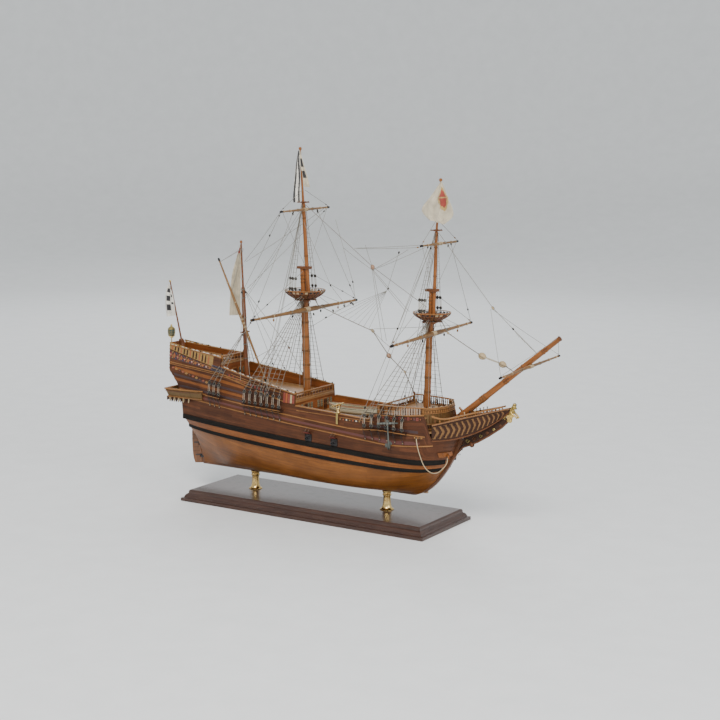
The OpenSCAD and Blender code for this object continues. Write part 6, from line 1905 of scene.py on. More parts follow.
figure.ball((308.6, 0, 173.4), 2.2, M["gilt"], 14)
figure.finish()

# ------------------------------------------------------------------ rudder
HINGE_FOOT = vec(-230.4, 0, KEEL_Z)
hinge = vec(-RAKE, 0, 1).normalized()
aft = vec(-1, 0, -RAKE).normalized()
rud = Piece("rudder_blade", "rudder", ["rudder"], sharp=35)
EDGE = [(0.6, 14.5), (7, 16.2), (14, 17.0), (25, 16.4), (36, 15.5), (45, 14.4), (52, 13.5), (57, 10.6),
        (62, 7.0), (80, 6.2),
        (100, 5.5)]


def rudder_pt(h, d, y):
    return HINGE_FOOT + hinge * h + aft * d + Y * y


def rudder_ring(h, d0, d1, fat):
    return [rudder_pt(h, d0, fat), rudder_pt(h, d1 - 0.8, fat * 0.92), rudder_pt(h, d1, fat * 0.5),
            rudder_pt(h, d1, -fat * 0.5), rudder_pt(h, d1 - 0.8, -fat * 0.92), rudder_pt(h, d0, -fat)]


def back_at(h):
    for (a, p), (b, q) in zip(EDGE, EDGE[1:]):
        if a <= h <= b:
            return mix(p, q, (h - a) / (b - a))
    return EDGE[-1][1]


SCORES = (12, 32, 52)
stops = sorted({0.6, 100.0} | {h for h, _ in EDGE} | {h + s * 3 for h in SCORES for s in (-1, 1)})
for a, b in zip(stops, stops[1:]):    # notched where a hinge sits
    notched = any(h - 3 <= a and b <= h + 3 for h in SCORES)
    rings = [rudder_ring(h, 2.75 if notched else 0.0, back_at(h), 2.0) for h in (a, b)]
    rud.loft(rings, M["rudder"])
lows = [0.6] + [h + 3 for h in SCORES]
highs = [h - 3 for h in SCORES] + [100.0]
for a, b in zip(lows, highs):
    rud.lathe(HINGE_FOOT + hinge * a, hinge, [(2.0, 0), (2.0, b - a)], M["rudder"], 20)
for h in (20, 26, 40, 46):            # planks let in across the blade
    for s in (-1, 1):
        rud.bar(rudder_pt(h, 1.5, s * 2.02), rudder_pt(h, back_at(h) - 0.6, s * 1.95), 0.25, 0.3, M["ebony"])
for s in (-1, 1):
    rud.bar(rudder_pt(98, -1.6, s * 2.2), rudder_pt(98, 5, s * 2.2), 0.5, 2.6, M["iron"])
    rud.bar(rudder_pt(92, -1.6, s * 2.2), rudder_pt(92, 5, s * 2.2), 0.5, 1.6, M["iron"])
rud.finish()

# ------------------------------------------------------------------ boat, grating, guns
boat = Piece("open_boat", stands_for=["ships_boat"], sharp=35)
BOAT_X, BOAT_L, BOAT_Y = 52.0, 84.0, 6.0


def boat_half(t):
    return 11.5 * max(1 - abs(2 * t - 1) ** 2.6, 0) ** 0.6 + 0.6


def boat_ring(t, w, n=16):
    x = BOAT_X + (t - 0.5) * (BOAT_L - 2 * w)
    y = boat_half(t) - w
    top = 164.5 + 2 * (2 * t - 1) ** 2
    low = 152.6 + 3.5 * abs(2 * t - 1) ** 3 + w
    return [vec(x, BOAT_Y + y * math.sin(a), top - (top - low) * max(math.cos(a), 0) ** 0.7)
            for a in span(-math.pi / 2, math.pi / 2, n)]


ts = [0.5 - 0.5 * math.cos(math.pi * k / 36) for k in range(37)]
hull_rings = [boat_ring(t, 0) for t in ts]
girth = [mix(-13, 13, k / 16) for k in range(17)]
boat.loft(hull_rings, M["boat"], closed=False, vs=girth)
boat.loft([r[::-1] for r in (boat_ring(t, 1.0) for t in ts)], M["boat_in"], closed=False, vs=girth)
for s in (0, -1):                     # gunwale, rubbing strake and a line of nails
    for lift, off, w, h, mat in ((0.1, -0.5, 1.9, 0.9, "trim"), (-2.2, 0.1, 0.7, 0.8, "boat_line")):
        line = [boat_ring(t, 0)[s] + Z * lift + Y * (off if s else -off) for t in ts]
        for a, b in zip(line, line[1:]):
            if (b - a).length > 0.2:
                boat.bar(a, b, w, h, M[mat], chamfer=0.1)
    for t in span(0.04, 0.96, 34):
        q = boat_ring(t, 0)
        boat.ball(q[s] - Z * 4.0 + Y * (0.1 if s else -0.1) + (q[s + (1 if s == 0 else -1)] - q[s]) * 0.12,
                  0.42, M["dark"], 6)
for k in range(4):                    # plank edges
    a = k * 3 + 3
    for ring_pick in (a, 16 - a):
        line = [boat_ring(t, -0.08)[ring_pick] for t in ts[1:-1]]
        boat.tube(line, 0.16, M["boat_line"], 5)
for t in (0.2, 0.38, 0.56, 0.74):     # thwarts and ribs
    x = BOAT_X + (t - 0.5) * BOAT_L
    h = boat_half(t) - 1.2
    boat.block((x, BOAT_Y, 162), (4.2, 2 * h, 0.9), M["deck"], chamfer=0.2)
for t in span(0.1, 0.9, 14):
    rib = [p * 1 for p in boat_ring(t, 1.25)]
    boat.tube(rib, 0.45, M["frame"], 6)
boat.block((BOAT_X, BOAT_Y, 154.6), (BOAT_L * 0.78, 4.6, 0.6), M["deck"], chamfer=0.15)
for s, y in ((-1, 2.4), (1, 2.4), (1, -2.8)):
    boat.rod((BOAT_X - 24, BOAT_Y + s * y, 163.2), (BOAT_X + 26, BOAT_Y + s * y, 163.4), 0.55, M["yard"],
             n=10)
    boat.block((BOAT_X + 31, BOAT_Y + s * y, 163.4), (9, 1.8, 0.4), M["yard"], chamfer=0.1)
for x in (BOAT_X - 22, BOAT_X + 22):  # chocks on the deck
    boat.block((x, BOAT_Y, 151.6), (3, 17, 1.6), M["brown"], chamfer=0.3)
    for s in (-1, 1):
        boat.prism([(-2.6, 0), (2.6, 0), (1.2 * s + 0.6, 4.2), (-1.2 * s * 0 - 1.0, 2.2)],
                   (x, BOAT_Y + s * 7.2, 152), Y, Z, 2.2,
                   M["brown"], grain=Y)
boat.rod((10, BOAT_Y, 150.6), (10, BOAT_Y, 152), 0.5, M["brown"])
boat.finish()

hatch = Piece("hatch_grating_bars", stands_for=["hatch_grating"], sharp=40)
for y in (-11.2, 11.2):
    hatch.block((108, y, 152), (20, 1.6, 2.6), M["brown"], chamfer=0.3)
for x in (98.8, 117.2):
    hatch.block((x, 0, 152), (1.6, 22.4, 2.6), M["brown"], chamfer=0.3)
for k in range(6):
    hatch.block((101.2 + 2.7 * k, 0, 152.2), (1.1, 21, 1.6), M["trim"], chamfer=0.15)
for k in range(8):
    hatch.block((108, -9 + 2.57 * k, 152.5), (18, 1.0, 0.9), M["deck"], chamfer=0.12)
hatch.finish()

GUNS = [(15.5, 124), (61, 122)]
barrels = Piece("gun_barrel_castings", stands_for=["gun_barrels"], sharp=40)
lids = Piece("port_lid_boards", stands_for=["port_lids"], sharp=40)


def build_guns():
    for x, z in GUNS:
        y = half_at(x, z)
        barrels.lathe((x, y + 0.2, z), Y, [(2.1, 0), (2.25, 0.4), (1.95, 0.9), (1.8, 3.0), (1.65, 5.2),
                                           (1.75, 5.8),
                                           (2.05, 6.3), (2.15, 7.0), (1.95, 7.6), (1.2, 7.8), (1.0, 7.5),
                                           (0.9, 4.4),
                                           (0.05, 4.3)], M["iron"], 28)
        barrels.lathe((x, y + 2.0, z), Y, [(1.75, 0), (2.05, 0.25), (1.75, 0.5)], M["iron"], 24, caps=False)


def build_lids():
    for x, z in GUNS:
        y = half_at(x, z) + 0.5
        out = vec(0, math.cos(math.radians(28)), math.sin(math.radians(28)))
        face = X.cross(out)
        for k in range(4):            # boards outside, red lining inside
            lids.block(vec(x - 3.75 + 2.5 * k, y, z + 5.6) + out * 4.25 + face * 0.62, (2.4, 8.5, 0.6),
                       M["ebony"],
                       (X, out, face), 0.1)
        lids.block(vec(x, y, z + 5.6) + out * 4.25 + face * 0.2, (9.2, 7.7, 0.5), M["red"], (X, out, face),
                   0.1)
        for s in (-1, 1):
            lids.block(vec(x + s * 2.9, y, z + 5.6) + out * 3.6 + face * 1.05, (0.9, 7.2, 0.3), M["iron"],
                       (X, out, face), 0.08)
            lids.rod(vec(x + s * 2.9, y, z + 5.6) + out * 7.4 + face * 1.2,
                     vec(x + s * 2.4, y - 0.2, z + 15), 0.2,
                     M["rope_dark"], n=6)
        for dx, dz, w, h in ((-5.4, 0, 1.0, 10.6), (5.4, 0, 1.0, 10.6), (0, -5.2, 10.4, 1.0),
                             (0, 5.2, 10.4, 1.0)):
            yy = half_at(x + dx, z + dz)
            lids.block((x + dx, yy + 0.25, z + dz), (w, 0.7, h), M["ebony"], chamfer=0.12)
        # painted shade: a near-black plate flush on the side stands for the shaded inside of the open gun
        # port
        n = (vec(0, half_at(x, z + 3) - half_at(x, z - 3), 6)).normalized()
        lids.block((x, half_at(x, z) + 0.05, z), (9.8, 0.4, 9.6), M["void"], (X, n.cross(X), n), 0.05)


barrels.both(build_guns)
lids.both(build_lids)
barrels.finish()
lids.finish()

SWIVEL = vec(66, -55.4, 178.1)
gun = Piece("swivel_gun_barrel", "swivel_gun", ["swivel_gun"], sharp=40)
gun.lathe(SWIVEL + Y * 7, -Y, [(0.3, -1.2), (0.9, -0.7), (0.7, -0.2), (1.5, 0), (1.75, 0.5), (1.7, 2.2),
                               (1.85, 2.4),
                               (1.85, 2.9), (1.55, 3.2), (1.45, 7.6), (1.6, 7.8), (1.6, 8.3), (1.38, 8.6),
                               (1.25, 19.2),
                               (1.4, 19.6), (1.7, 20.6), (1.75, 21.6), (1.6, 22.0), (0.95, 22.0), (0.8, 21.6),
                               (0.75, 14.2), (0.05, 14)], M["brass"], 32)
gun.rod(SWIVEL - X * 3.4, SWIVEL + X * 3.4, 0.7, M["brass"], n=20)
gun.tube(smooth_line([SWIVEL + Y * 7.4, SWIVEL + vec(0, 10, 0.2), SWIVEL + vec(0, 12.6, 0.7),
                      SWIVEL + vec(0, 14, 0.4)]), 0.5,
         M["brass"], 10)
gun.ball(SWIVEL + vec(0, 14, 0.4), 0.85, M["brass"], 12)
gun.finish()

yoke = Piece("swivel_fork", "swivel_yoke", ["swivel_yoke"], sharp=40)
yoke.lathe((SWIVEL.x, SWIVEL.y, 167.5), Z,
           [(0.4, 0), (1.0, 0.4), (1.0, 4.0), (2.4, 4.1), (2.9, 4.5), (2.9, 4.9), (2.4, 5.2),
                                            (0.6, 5.25)], M["brass"], 28)
for s in (-1, 1):
    yoke.prism([(-1.3, 172.3), (1.3, 172.3), (0.9, 175.3), (1.45, 177.1), (1.45, 178.7), (0.8, 179.6),
                (-0.8, 179.6),
                (-1.45, 178.7), (-1.45, 177.1), (-0.9, 175.3)], (SWIVEL.x + s * 2.5, SWIVEL.y, 0), Y, Z, 0.8,
                M["brass"], grain=Z)
yoke.finish()

socket = Piece("swivel_socket_fitting", stands_for=["swivel_socket"], sharp=40)
socket.block((SWIVEL.x, SWIVEL.y - 0.3, 166.5), (6, 6.6, 1), M["brass"], chamfer=0.25)
socket.lathe((SWIVEL.x, SWIVEL.y, 167.0), Z,
             [(2.9, 0), (2.7, 0.5), (2.2, 1.0), (2.1, 3.0), (2.35, 3.4), (2.35, 4.0),
                                              (1.4, 4.1), (1.1, 3.9), (1.1, 0.3)], M["brass"], 28, caps=False)
socket.block((SWIVEL.x, SWIVEL.y - 3.9, 158.3), (3.2, 0.8, 17.4), M["old_brass"], chamfer=0.2)
for z in (151.6, 158, 164.4):
    socket.ball((SWIVEL.x, SWIVEL.y - 4.3, z), 0.55, M["brass"], 10)
socket.finish()

# ------------------------------------------------------------------ anchors
anchor = Piece("anchor_castings", stands_for=["anchors"], sharp=40)
lean = Matrix.Rotation(math.radians(-4), 3, "Y") @ Matrix.Rotation(math.radians(72), 3, "Z")
ANCHOR = vec(159, 67, 126)


def at_anchor(x, y, z):
    return ANCHOR + lean @ vec(x, y, z)


def build_anchor():
    b = lean @ Y
    anchor.tube([at_anchor(0, 0, h) for h in (0, 6, 14, 24, 33, 41)], [1.5, 1.3, 1.1, 1.05, 1.1, 1.25],
                M["pewter"], 14)
    for s in (-1, 1):
        arm = [at_anchor(s * x, 0, z) for x, z in ((0, -0.2), (3.4, 0.4), (6.6, 2.2), (9.2, 4.9), (11, 8.4))]
        anchor.tube(smooth_line(arm), [1.5 - 0.07 * k for k in range(13)], M["pewter"], 10)
        n = vec(s * 0.55, 0, 0.83)
        palm = at_anchor(s * 10.0, 0, 7.0)
        t = lean @ n
        w = t.cross(b)
        anchor.prism([(-3.0, -2.6), (2.4, -2.2), (4.6, 0), (2.4, 2.2), (-3.0, 2.6)], palm + w * 1.1 * s * -1,
                     t, b, 0.8,
                     M["pewter"], grain=t)
    for s in (-1, 1):                 # wooden stock in two halves with iron bands
        anchor.tube([at_anchor(0, s * d, 36) for d in (0.2, 5, 10, 15)], [1.9, 1.75, 1.4, 1.1], M["pewter"],
                    8)
        for d in (2.4, 6.6, 11.4):
            anchor.tube([at_anchor(0, s * (d - 0.4), 36), at_anchor(0, s * (d + 0.4), 36)],
                        mix(2.1, 1.5, d / 14), M["iron"], 12)
    anchor.tube([at_anchor(2.6 * math.cos(t), 0.5 * math.sin(t) * 0, 44.2 + 2.6 * math.sin(t))
                 for t in span(0, 2 * math.pi, 20)],
                0.5, M["iron"], 8, caps=False)
    ties = [at_anchor(0, 0, 35), at_anchor(-2, 0, 37)]
    for k, q in enumerate(ties):
        anchor.tube([q + vec(math.cos(t), math.sin(t), 0) * 2.0 + Z * 0.25 * t for t in span(0, 12, 40)],
                    0.35, M["rope_grey"], 6)


anchor.both(build_anchor)
anchor.finish()

# ------------------------------------------------------------------ hawser
hawser_points = [
    (195, -51.5, 141.5), (196, -53, 139), (197.5, -54, 134), (199, -54, 128), (201, -53.5, 121),
    (203.5, -52.5, 113),
    (206.5, -51, 105), (210, -48.5, 98.5), (214, -45, 94), (218, -40, 92), (221.5, -34.5, 93), (224, -29, 96),
    (226, -24, 100), (227.3, -20.5, 104.5), (227.2, -18.6, 108.5), (226.2, -17.6, 111.5)]
HAWSER_D = 1.3
line = smooth_line(hawser_points, 6)
cable = Piece("anchor_hawser", stands_for=["hawser"], sharp=80)
cable.tube(line, HAWSER_D / 2, M["rope"], 12)
cable = cable.finish()

hawse = Piece("hawse_plates", stands_for=["hawse_fittings"], sharp=40)
for c, turn, size in (((195, -50.6, 143.4), 14, (12, 2.6, 2.6)), ((226.6, -15.4, 112.6), -58, (8, 2.4, 4.6))):
    r = Matrix.Rotation(math.radians(turn), 3, "Z")
    mid = vec(*c) + r @ (vec(2, -0.1, -0.9) if turn > 0 else vec(0, 0, 0.3))
    hawse.block(mid, size, M["trim" if turn > 0 else "strake"], (r @ X, r @ Y, Z), 0.35)
    for s in (-1, 1):
        hawse.tube([mid + r @ vec(s * 2.4 + 1.1 * math.cos(t), -size[1] / 2 - 0.1, 1.1 * math.sin(t))
                    for t in span(0, 2 * math.pi, 16)],
                   0.35, M["iron"], 6, caps=False)
        hawse.ball(mid + r @ vec(s * (size[0] / 2 - 0.8), -size[1] / 2, 0), 0.45, M["brass"], 8)
hawse.finish()

# ------------------------------------------------------------------ rigging
stays = Piece("stay_ropes", stands_for=["stays"], sharp=60)
running = Piece("running_ropes", stands_for=["running_lines"], sharp=60)
tackle = Piece("rigging_block_shells", stands_for=["rigging_blocks"], sharp=45)


def block_shell(p, c, axis, size, mat="trim"):
    """A pulley block: an oval shell with a sheave in its slot, stropped round with rope."""
    c, axis = vec(c), vec(axis).normalized()
    a, b = basis(axis, Y)
    for s in (-1, 1):
        rings = []
        for k in range(9):
            t = -1 + 2 * k / 8
            w = size * 0.62 * math.sqrt(max(1 - t * t * 0.93, 0.02))
            mid = c + axis * t * size
            rings.append([mid + a * w * math.cos(q) + b * (s * size * 0.3 + size * 0.17 * math.sin(q))
                          for q in span(0, 2 * math.pi * 9 / 10, 9)])
        p.loft(rings, M[mat])
    p.rod(c - b * size * 0.34, c + b * size * 0.34, size * 0.34, M["iron"], n=10)
    p.tube([c + axis * math.cos(q) * size * 1.02 + a * math.sin(q) * size * 0.66
            for q in span(0, 2 * math.pi, 14)],
           size * 0.13, M["rope_dark"], 6, caps=False)


def heart(p, c, axis, size, mat="cream"):
    """A big rounded stay block with a lashed eye."""
    c, axis = vec(c), vec(axis).normalized()
    profile = [(0.3, 0), (size * 0.55, size * 0.25), (size * 0.8, size * 0.8), (size * 0.72, size * 1.3),
               (size * 0.4, size * 1.8), (0.3, size * 2)]
    p.lathe(c - axis * size, axis, profile, M[mat], 18)
    p.tube([c + axis * math.cos(q) * size + basis(axis)[0] * math.sin(q) * size * 0.84
            for q in span(0, 2 * math.pi, 14)],
           0.3, M["rope_dark"], 6, caps=False)


def rope_run(p, a, b, r, mat, sag=0.012, n=8):
    """A line from a to b with a little slack."""
    a, b = vec(a), vec(b)
    l = (b - a).length
    p.tube([a.lerp(b, k / n) - Z * sag * l * 4 * (k / n) * (1 - k / n) for k in range(n + 1)], r, M[mat], 7)


def grey_line(a, b, r, sag=0.012, n=8):
    """One of the thin grey lines of the running rigging."""
    rope_run(running, a, b, r, "rope_grey", sag, n)


STAYS = [
    [(-21, 0, 336), (-6.5, 0, 313.5), (90, 0, 281.5), (118, 0, 247), (145, 0, 225.5), (161, 0, 196),
     (166, 0, 176)],
    [(196, 0, 318), (215.6, 0, 287.6), (270, 0, 259), (305, 0, 249.3), (319, 0, 241.6)],
    [(-28, 0, 462), (90, 0, 375), (181, 0, 322)],
    [(198.6, 0, 429), (286.4, 0, 327.7), (354, 0, 269.5)],
    [(-144, 0, 330), (-60, 0, 245), (-33.5, 0, 205)],
]
for k, points in enumerate(STAYS):
    pts = [vec(q) for q in points]
    thick = 0.6 if k < 2 else 0.4
    for a, b in zip(pts, pts[1:]):
        rope_run(stays, a, b, thick, "rope_dark" if k < 3 else "rope_grey", 0.008 if k < 2 else 0.0)
        t = (b - a).normalized()
        if k < 2:                     # seizings near each end
            for c in (a + t * 5, b - t * 5):
                stays.lathe(c, t, [(thick, -1.1), (thick + 0.35, -0.8), (thick + 0.35, 0.8), (thick, 1.1)],
                            M["rope_dark"], 8,
                            caps=False)
block_shell(tackle, (90, 0, 281.5), (1, 0, -0.9), 3.2, "cream")
heart(tackle, (118, 0, 247), (1, 0, -0.8), 4.6, "stay_ball")
heart(tackle, (-33.5, 0, 207), (0.3, 0, -1), 3.0, "mizzen")
block_shell(tackle, (145, 0, 225.5), (0.5, 0, -0.8), 2.4, "cream")
block_shell(tackle, (161, 0, 196), (0.3, 0, -1), 2.4, "brown")
heart(tackle, (271, 0, 258.7), (1, 0, -0.45), 6.4, "cream")
heart(tackle, (303, 0, 249.8), (1, 0, -0.4), 6.0, "cream")
block_shell(tackle, (215.6, 0, 287.6), (1, 0, -0.8), 2.2, "cream")
heart(tackle, (89.6, 0, 374.6), (0.3, 0, -1), 4.0, "stay_ball")
block_shell(tackle, (286.4, 0, 327.7), (1, 0, -1), 2.6, "cream")
block_shell(tackle, (-60, 0, 245), (0.7, 0, -0.8), 2.2, "brown")
for dy in (-2.4, -0.8, 0.8, 2.4):     # lanyards between the forestay's hearts
    rope_run(stays, (274, dy, 257.6), (299, dy, 251.2), 0.5, "rope_pale", 0)
for s in (-1, 1):                     # tackle below the main topmast stay
    grey_line((89.6, s * 1.4, 371), (58, s * 30, 403.8), 0.32)
    grey_line((89.6, s * 1.4, 371), (163.4, s * 24, 405), 0.32)
    grey_line((89.6, s * 1.4, 371), (110, s * 6, 267.7), 0.32, 0.004)
    grey_line((89.6, s * 1.4, 371), (149.5, s * 4, 313.3), 0.32, 0.004)
for k in range(8):                    # crowsfeet under the fore top and over the main stay
    t = k / 7
    q = vec(-6.5, 0, 313.5).lerp(vec(90, 0, 281.5), mix(0.28, 0.93, t))
    grey_line((114, 0, 342), q, 0.23, 0.0, 2)
grey_line((114, 0, 342), (134, 0, 399), 0.29, 0)
block_shell(tackle, (116, 0, 344.9), (0.3, 0, 1), 1.8, "ebony")
block_shell(tackle, (134, 0, 398), (0.3, 0, 1), 1.8, "ebony")
for k in range(6):
    q = vec(328, 0, 289.8).lerp(vec(352, 0, 271.5), k / 5)
    grey_line(vec(318, 0, 300.6), q + Y * (k % 2 - 0.5) * 2, 0.23, 0.0, 2)
block_shell(tackle, (318, 0, 300.6), (1, 0, -0.9), 1.8, "ebony")


def yard_end(key, s):
    c, l = YARDS[key][:2]
    return c + yard_dir(key) * s * (l / 2 - 4) + Z * 2.4


for s in (1, -1):
    S = -s
    lines = [
        (yard_end("main", s), (-30, S * 6, 363)), (yard_end("fore", s), (190, S * 6, 342)),
        (yard_end("main_topsail", s), (-32, S * 3.2, 484)),
        (yard_end("fore_topsail", s), (196.4, S * 3, 446)),
        (yard_end("main", s) - vec(2, 0, 4.4), (-158, S * 40, 214)),
        (yard_end("fore", s) - vec(2, 0, 4.4), (90, S * 4, 284)),
        (yard_end("main_topsail", s) - vec(2, 0, 4.4), (-141.5, S * 4, 330)),
        (yard_end("fore_topsail", s) - vec(2, 0, 4.4), (60, S * 3, 401)),
        ((-62, S * 59, 178), (-33, S * 3.4, 452)), ((120, S * 60, 164), (194, S * 3.2, 424)),
    ]
    for k, (a, b) in enumerate(lines):
        a, b = vec(a), vec(b)
        t = (b - a).normalized()
        grey_line(a, b, 0.32, 0.006 if 4 <= k <= 7 else 0.0, 10)
        if k < 8:
            block_shell(tackle, a + t * 6, t, 1.9 if k in (0, 1, 4, 5) else 1.5, ("ebony", "trim")[k % 2])
        if k in (0, 4, 6):
            block_shell(tackle, a.lerp(b, 0.28), t, 1.8, "ebony")
    # topmast backstays with a tackle at the foot, and vangs with blocks near the mizzen
    for top, low in (((-33, S * 3, 456), (-66, S * 59, 172)), ((-33, S * 3, 456), (-74, S * 59, 176)),
                     ((195, S * 3, 422), (106, S * 60, 160))):
        grey_line(top, low, 0.38, 0.0)
        block_shell(tackle, vec(low).lerp(vec(top), 0.07), vec(top) - vec(low), 1.9, "ebony")
    for top, low in (((-147, S * 2, 333), (-118, S * 46, 196)), ((-147, S * 2, 333), (-96, S * 50, 190))):
        grey_line(top, low, 0.32, 0.0)
        block_shell(tackle, vec(low).lerp(vec(top), 0.1), vec(top) - vec(low), 1.7, "ebony")
        block_shell(tackle, vec(low).lerp(vec(top), 0.94), vec(top) - vec(low), 1.7, "ebony")
    for f in (0.25, 0.5, 0.75):       # jeer and clew lines from along the lower yards
        for key in ("main", "fore"):
            c, l = YARDS[key][:2]
            q = c + yard_dir(key) * s * l * 0.5 * f
            grey_line(q - Z * 3, vec(c.x, S * 6, c.z + 26), 0.29, 0.0)
    # sheets from the topsail yards to the lower yards' ends, and clew lines
    for low, high, near in (("main", "main_topsail", 0.5), ("fore", "fore_topsail", 0.62)):
        c, l = YARDS[high][:2]
        a = c + yard_dir(high) * s * l * 0.5 * near - Z * 3
        b = yard_end(low, s) + Z * 1.0
        grey_line(a, b, 0.32, 0.0)
        block_shell(tackle, a.lerp(b, 0.85), b - a, 1.8, "ebony")
        block_shell(tackle, a, b - a, 1.6, "ebony")
        q = main_top_at(372) if low == "main" else fore_top_at(350)
        grey_line(c + yard_dir(high) * s * l * 0.45 - Z * 2, q + Y * S * 5, 0.26, 0.01)
    # braces of the upper yards, and lines down to the mizzen
    grey_line(yard_end("main_topsail", s), (-141, S * 2.4, 372), 0.32, 0.01)
    grey_line((-36, S * 4, 452), (-140, S * 3, 318), 0.29, 0.008)
    grey_line((-2.6, S * 42, 438.8), (36, S * 30, 348), 0.29, 0.0)
    grey_line((36, S * 30, 348), (52, S * 14, 318), 0.29, 0.0)
    block_shell(tackle, (36, S * 30, 348), (0.3, 0, -1), 1.7, "ebony")
    block_shell(tackle, (3.4, S * 26, 303), (0.3, 0, -1), 1.9, "ebony")
    block_shell(tackle, (48, S * 12, 317), (0.5, 0, -1), 1.9, "ebony")
    # halyards down beside the masts
    for x, z0, z1 in ((-34, 303, 188), (-26, 303, 188), (178, 282, 176), (190, 282, 176)):
        grey_line((x, S * 8.2, z0), (x, S * 9, z1), 0.32, 0.0, 3)
    # spritsail yard lifts and braces
    grey_line(yard_end("spritsail", s), (386, S * 1.5, 293), 0.29, 0.005)
    grey_line(yard_end("spritsail", s), (284, S * 2, 326), 0.29, 0.01)
    # lateen yard tackles
    grey_line(LL.lerp(LP, 0.04), (-126, S * 30, 196), 0.32, 0.0)
    grey_line(LL.lerp(LP, 0.97), (-146, S * 2, 392), 0.29, 0.0)
    grey_line(LL.lerp(LP, 0.72), (-146, S * 2, 392), 0.29, 0.0)

BLOCK_AT = [("main", 40, -6), ("main", 92, -6), ("fore", 38, -6), ("fore", 88, -6),
            ("main_topsail", 40, -4.6), ("fore_topsail", 26, -4.6)]
for key, d, dz in BLOCK_AT:
    for s in (-1, 1):
        c = YARDS[key][0] + yard_dir(key) * s * d + Z * dz
        block_shell(tackle, c, Z, 1.9, "ebony" if d < 60 else "trim")
        tackle.rod(c + Z * 1.8, c + Z * (-dz - 1.0), 0.22, M["rope_dark"], n=6)
for p in (stays, running, tackle):
    p.finish()


# ------------------------------------------------------------------ flags
def along(edge, t):
    """A point at the fraction t of an edge given by a few points."""
    k = min(int(t * (len(edge) - 1)), len(edge) - 2)
    return vec(edge[k]).lerp(vec(edge[k + 1]), t * (len(edge) - 1) - k)


def flag(name, left, right, folds, depth, colour, nu=28, nt=44, phase=0.0, twist=0.4):
    """A hanging flag between two edges, with folds running down it; colour(u, t) picks the cloth."""
    p = Piece(name, stands_for=(), sharp=80)
    pts = []
    left, right = smooth_line(left, 6), smooth_line(right, 6)
    for i in range(nt + 1):
        t = i / nt
        a, b = along(left, t), along(right, t)
        n = Z.cross(b - a)
        n = n.normalized() if n.length > 0.01 else Y
        grow = 0.25 + 0.75 * min(1, 2.2 * t)
        for j in range(nu + 1):
            u = j / nu
            w = 2 * math.pi * (folds * u + phase + twist * t)
            q = a.lerp(b, u + 0.35 / (2 * math.pi * folds) * math.sin(2 * w) * math.sin(math.pi * u))
            edge = 0.45 + 0.55 * math.sin(math.pi * min(max(u, 0.0), 1.0))
            pts.append(q + n * depth * grow * edge * (math.sin(w) + 0.25 * math.sin(2.3 * w + 5 * t)))
    row = nu + 1
    us = [0.0]
    for j in range(nu):
        us.append(us[-1] + sum((pts[i * row + j + 1] - pts[i * row + j]).length
                               for i in range(nt + 1)) / (nt + 1))
    ts_ = [0.0]
    for i in range(nt):
        ts_.append(ts_[-1] + sum((pts[(i + 1) * row + j] - pts[i * row + j]).length
                                 for j in range(row)) / row)
    groups = {}
    for i in range(nt):
        for j in range(nu):
            groups.setdefault(colour((j + 0.5) / nu, (i + 0.5) / nt), []).append((i, j))
    base = len(p.co)
    p.co += [tuple(q) for q in pts]
    for key, cells in sorted(groups.items()):
        p.mats.append(M[key])
        for i, j in cells:
            p.faces.append([base + i * row + j, base + (i + 1) * row + j, base + (i + 1) * row + j + 1,
                            base + i * row + j + 1])
            p.uvs.append([(us[j], ts_[i]), (us[j], ts_[i + 1]), (us[j + 1], ts_[i + 1]), (us[j + 1], ts_[i])])
            p.index.append(len(p.mats) - 1)
    obj = p.finish()
    area = sum(f.area for f in obj.data.polygons)
    return obj, us[-1] / 1000, ts_[-1] / 1000, area


def chequer(u, t):
    """Dark squares down the fly of a white flag, smaller ones beside them."""
    for c, h in ((0.28, 0.07), (0.53, 0.075), (0.77, 0.07)):
        if abs(t - c) < h and 0.22 < u < 0.62 or abs(t - c + 0.12) < h * 0.6 and 0.74 < u < 0.94:
            return "flag_black"
    return "flag_white"


def stripes(u, t):
    """Broad black stripes that wander a little down a white streamer."""
    w = u + 0.06 * math.sin(9 * t)
    return "flag_black" if 0.06 < w < 0.4 or 0.6 < w < 0.9 or 0.02 < t < 0.12 else "flag_white"


def squares(u, t):
    return "flag_black" if (0.2 < t < 0.4 or 0.52 < t < 0.72) and 0.08 < u < 0.86 else "canvas"


def emblem(u, t):
    """A plain heraldic patch: a red lozenge with a pale border and a pale bar across it."""
    d = abs(u - 0.7) / 0.3 + abs(t - 0.4) / 0.24
    if d < 1:
        return "flag_red" if d < 0.72 and not 0.38 < t < 0.42 else "flag_gold"
    return "canvas"


def faded(u, t):
    return "flag_red" if 0.11 < t < 0.2 and 0.1 < u < 0.75 else "canvas"


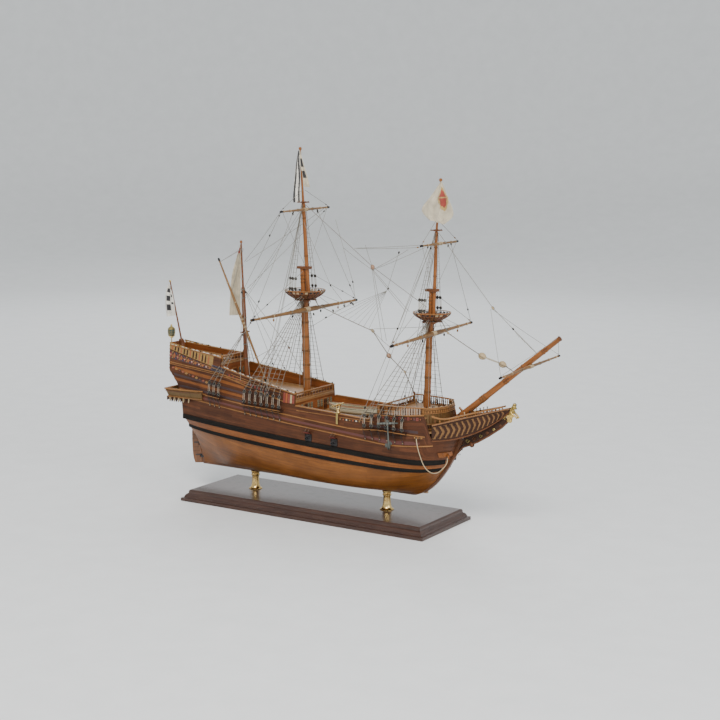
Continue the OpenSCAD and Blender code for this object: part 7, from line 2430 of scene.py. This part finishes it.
FLAGS = {
    "stern_ensign": ([(-291.8, -2, 331), (-298, -2.6, 318), (-300.2, -2.6, 300), (-297, -2.6, 277)],
                     [(-290.4, -2, 330), (-284.5, -2.6, 314), (-281.5, -2.6, 298), (-279, -2.6, 280)], 1.8,
                     1.8, chequer, ["ensign"], 0.1),
    "main_streamer_aft": ([(-38.2, -4, 542), (-42.6, -5, 518), (-45.6, -5, 494), (-47.6, -5, 465)],
                          [(-36.2, -4, 542), (-34.4, -5, 518), (-33.6, -5, 494), (-33, -5, 466)], 1.0, 1.0,
                          stripes, [], 0.2),
    "main_streamer_fore": ([(-36.0, -4, 542), (-33.4, -5, 522), (-29.6, -5, 505), (-27.6, -5, 489)],
                           [(-35.0, -4, 542), (-27.5, -5, 522), (-21.8, -5, 505), (-17, -5, 488)], 1.2, 1.2,
                           squares, [], 0.6),
    "fore_flag": ([(204.6, -5, 501), (190, -6, 481), (174, -6, 461), (186, -6, 447)],
                  [(205.6, -5, 501), (215, -6, 484), (226, -6, 456), (211, -6, 441)], 2.6, 2.0, emblem, [],
                  0.0),
    "mizzen_flag": ([(-152.6, 4, 399), (-164, 6, 372), (-173, 6, 340), (-177, 6, 286)],
                    [(-151.4, 4, 399), (-153, 6, 372), (-154, 6, 340), (-155, 6, 288)], 3.0, 2.3, faded, [],
                    0.4),
}
for name, (left, right, folds, depth, colour, nodes, phase) in FLAGS.items():
    obj, w, l, area = flag(name, left, right, folds, depth, colour, phase=phase)
    if nodes:
        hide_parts(*nodes)
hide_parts("masthead_flags")


# ------------------------------------------------------------------ floor and light
def plain_floor():
    m = Mat("pale_floor", "x")
    grain = m.noise((0.02, 0.02, 0.02), 4, 0.6, 0.0, m.space)
    return m.set(Base_Color=m.ramp(grain, [(0.3, (0.76, 0.77, 0.77)), (0.7, (0.8, 0.81, 0.81))]),
                 Roughness=0.8)


mesh = bpy.data.meshes.new("floor")
ring = [(0, 0), (3.4, 0), (4.0, 0.08), (4.5, 0.3), (4.8, 0.65), (4.95, 1.5)]
steps = 48
pts = [(r * math.cos(2 * math.pi * k / steps), r * math.sin(2 * math.pi * k / steps), h)
       for r, h in ring[1:] for k in range(steps)]
faces = [[k for k in range(steps)]]
for i in range(len(ring) - 2):
    for k in range(steps):
        a, b = i * steps + k, i * steps + (k + 1) % steps
        faces.append([b, a, a + steps, b + steps])
mesh.from_pydata(pts, [], faces)
mesh.polygons.foreach_set("use_smooth", [True] * len(faces))
floor = bpy.data.objects.new("floor", mesh)
bpy.context.scene.collection.objects.link(floor)
floor.data.materials.append(plain_floor())


def soft_light(name, place, target, size, power, colour):
    d = bpy.data.lights.new(name, "AREA")
    d.shape, d.size, d.energy, d.color = "DISK", size, power, colour
    o = bpy.data.objects.new(name, d)
    bpy.context.scene.collection.objects.link(o)
    o.location = place
    o.rotation_euler = (vec(target) - vec(place)).to_track_quat("-Z", "Y").to_euler()


soft_light("key_light", (0.9, -2.3, 2.4), (0, 0, 0.2), 1.5, 95, (1.0, 0.97, 0.93))
soft_light("fill_light", (2.6, -0.6, 1.3), (0, 0, 0.2), 1.6, 30, (0.95, 0.97, 1.0))
soft_light("back_light", (-1.6, 2.2, 2.2), (0, 0, 0.25), 1.8, 40, (0.96, 0.98, 1.0))
world = bpy.data.worlds.new("studio")
bpy.context.scene.world = world
world.use_nodes = True
world.node_tree.nodes["Background"].inputs[0].default_value = (0.78, 0.81, 0.83, 1)
world.node_tree.nodes["Background"].inputs[1].default_value = 0.85
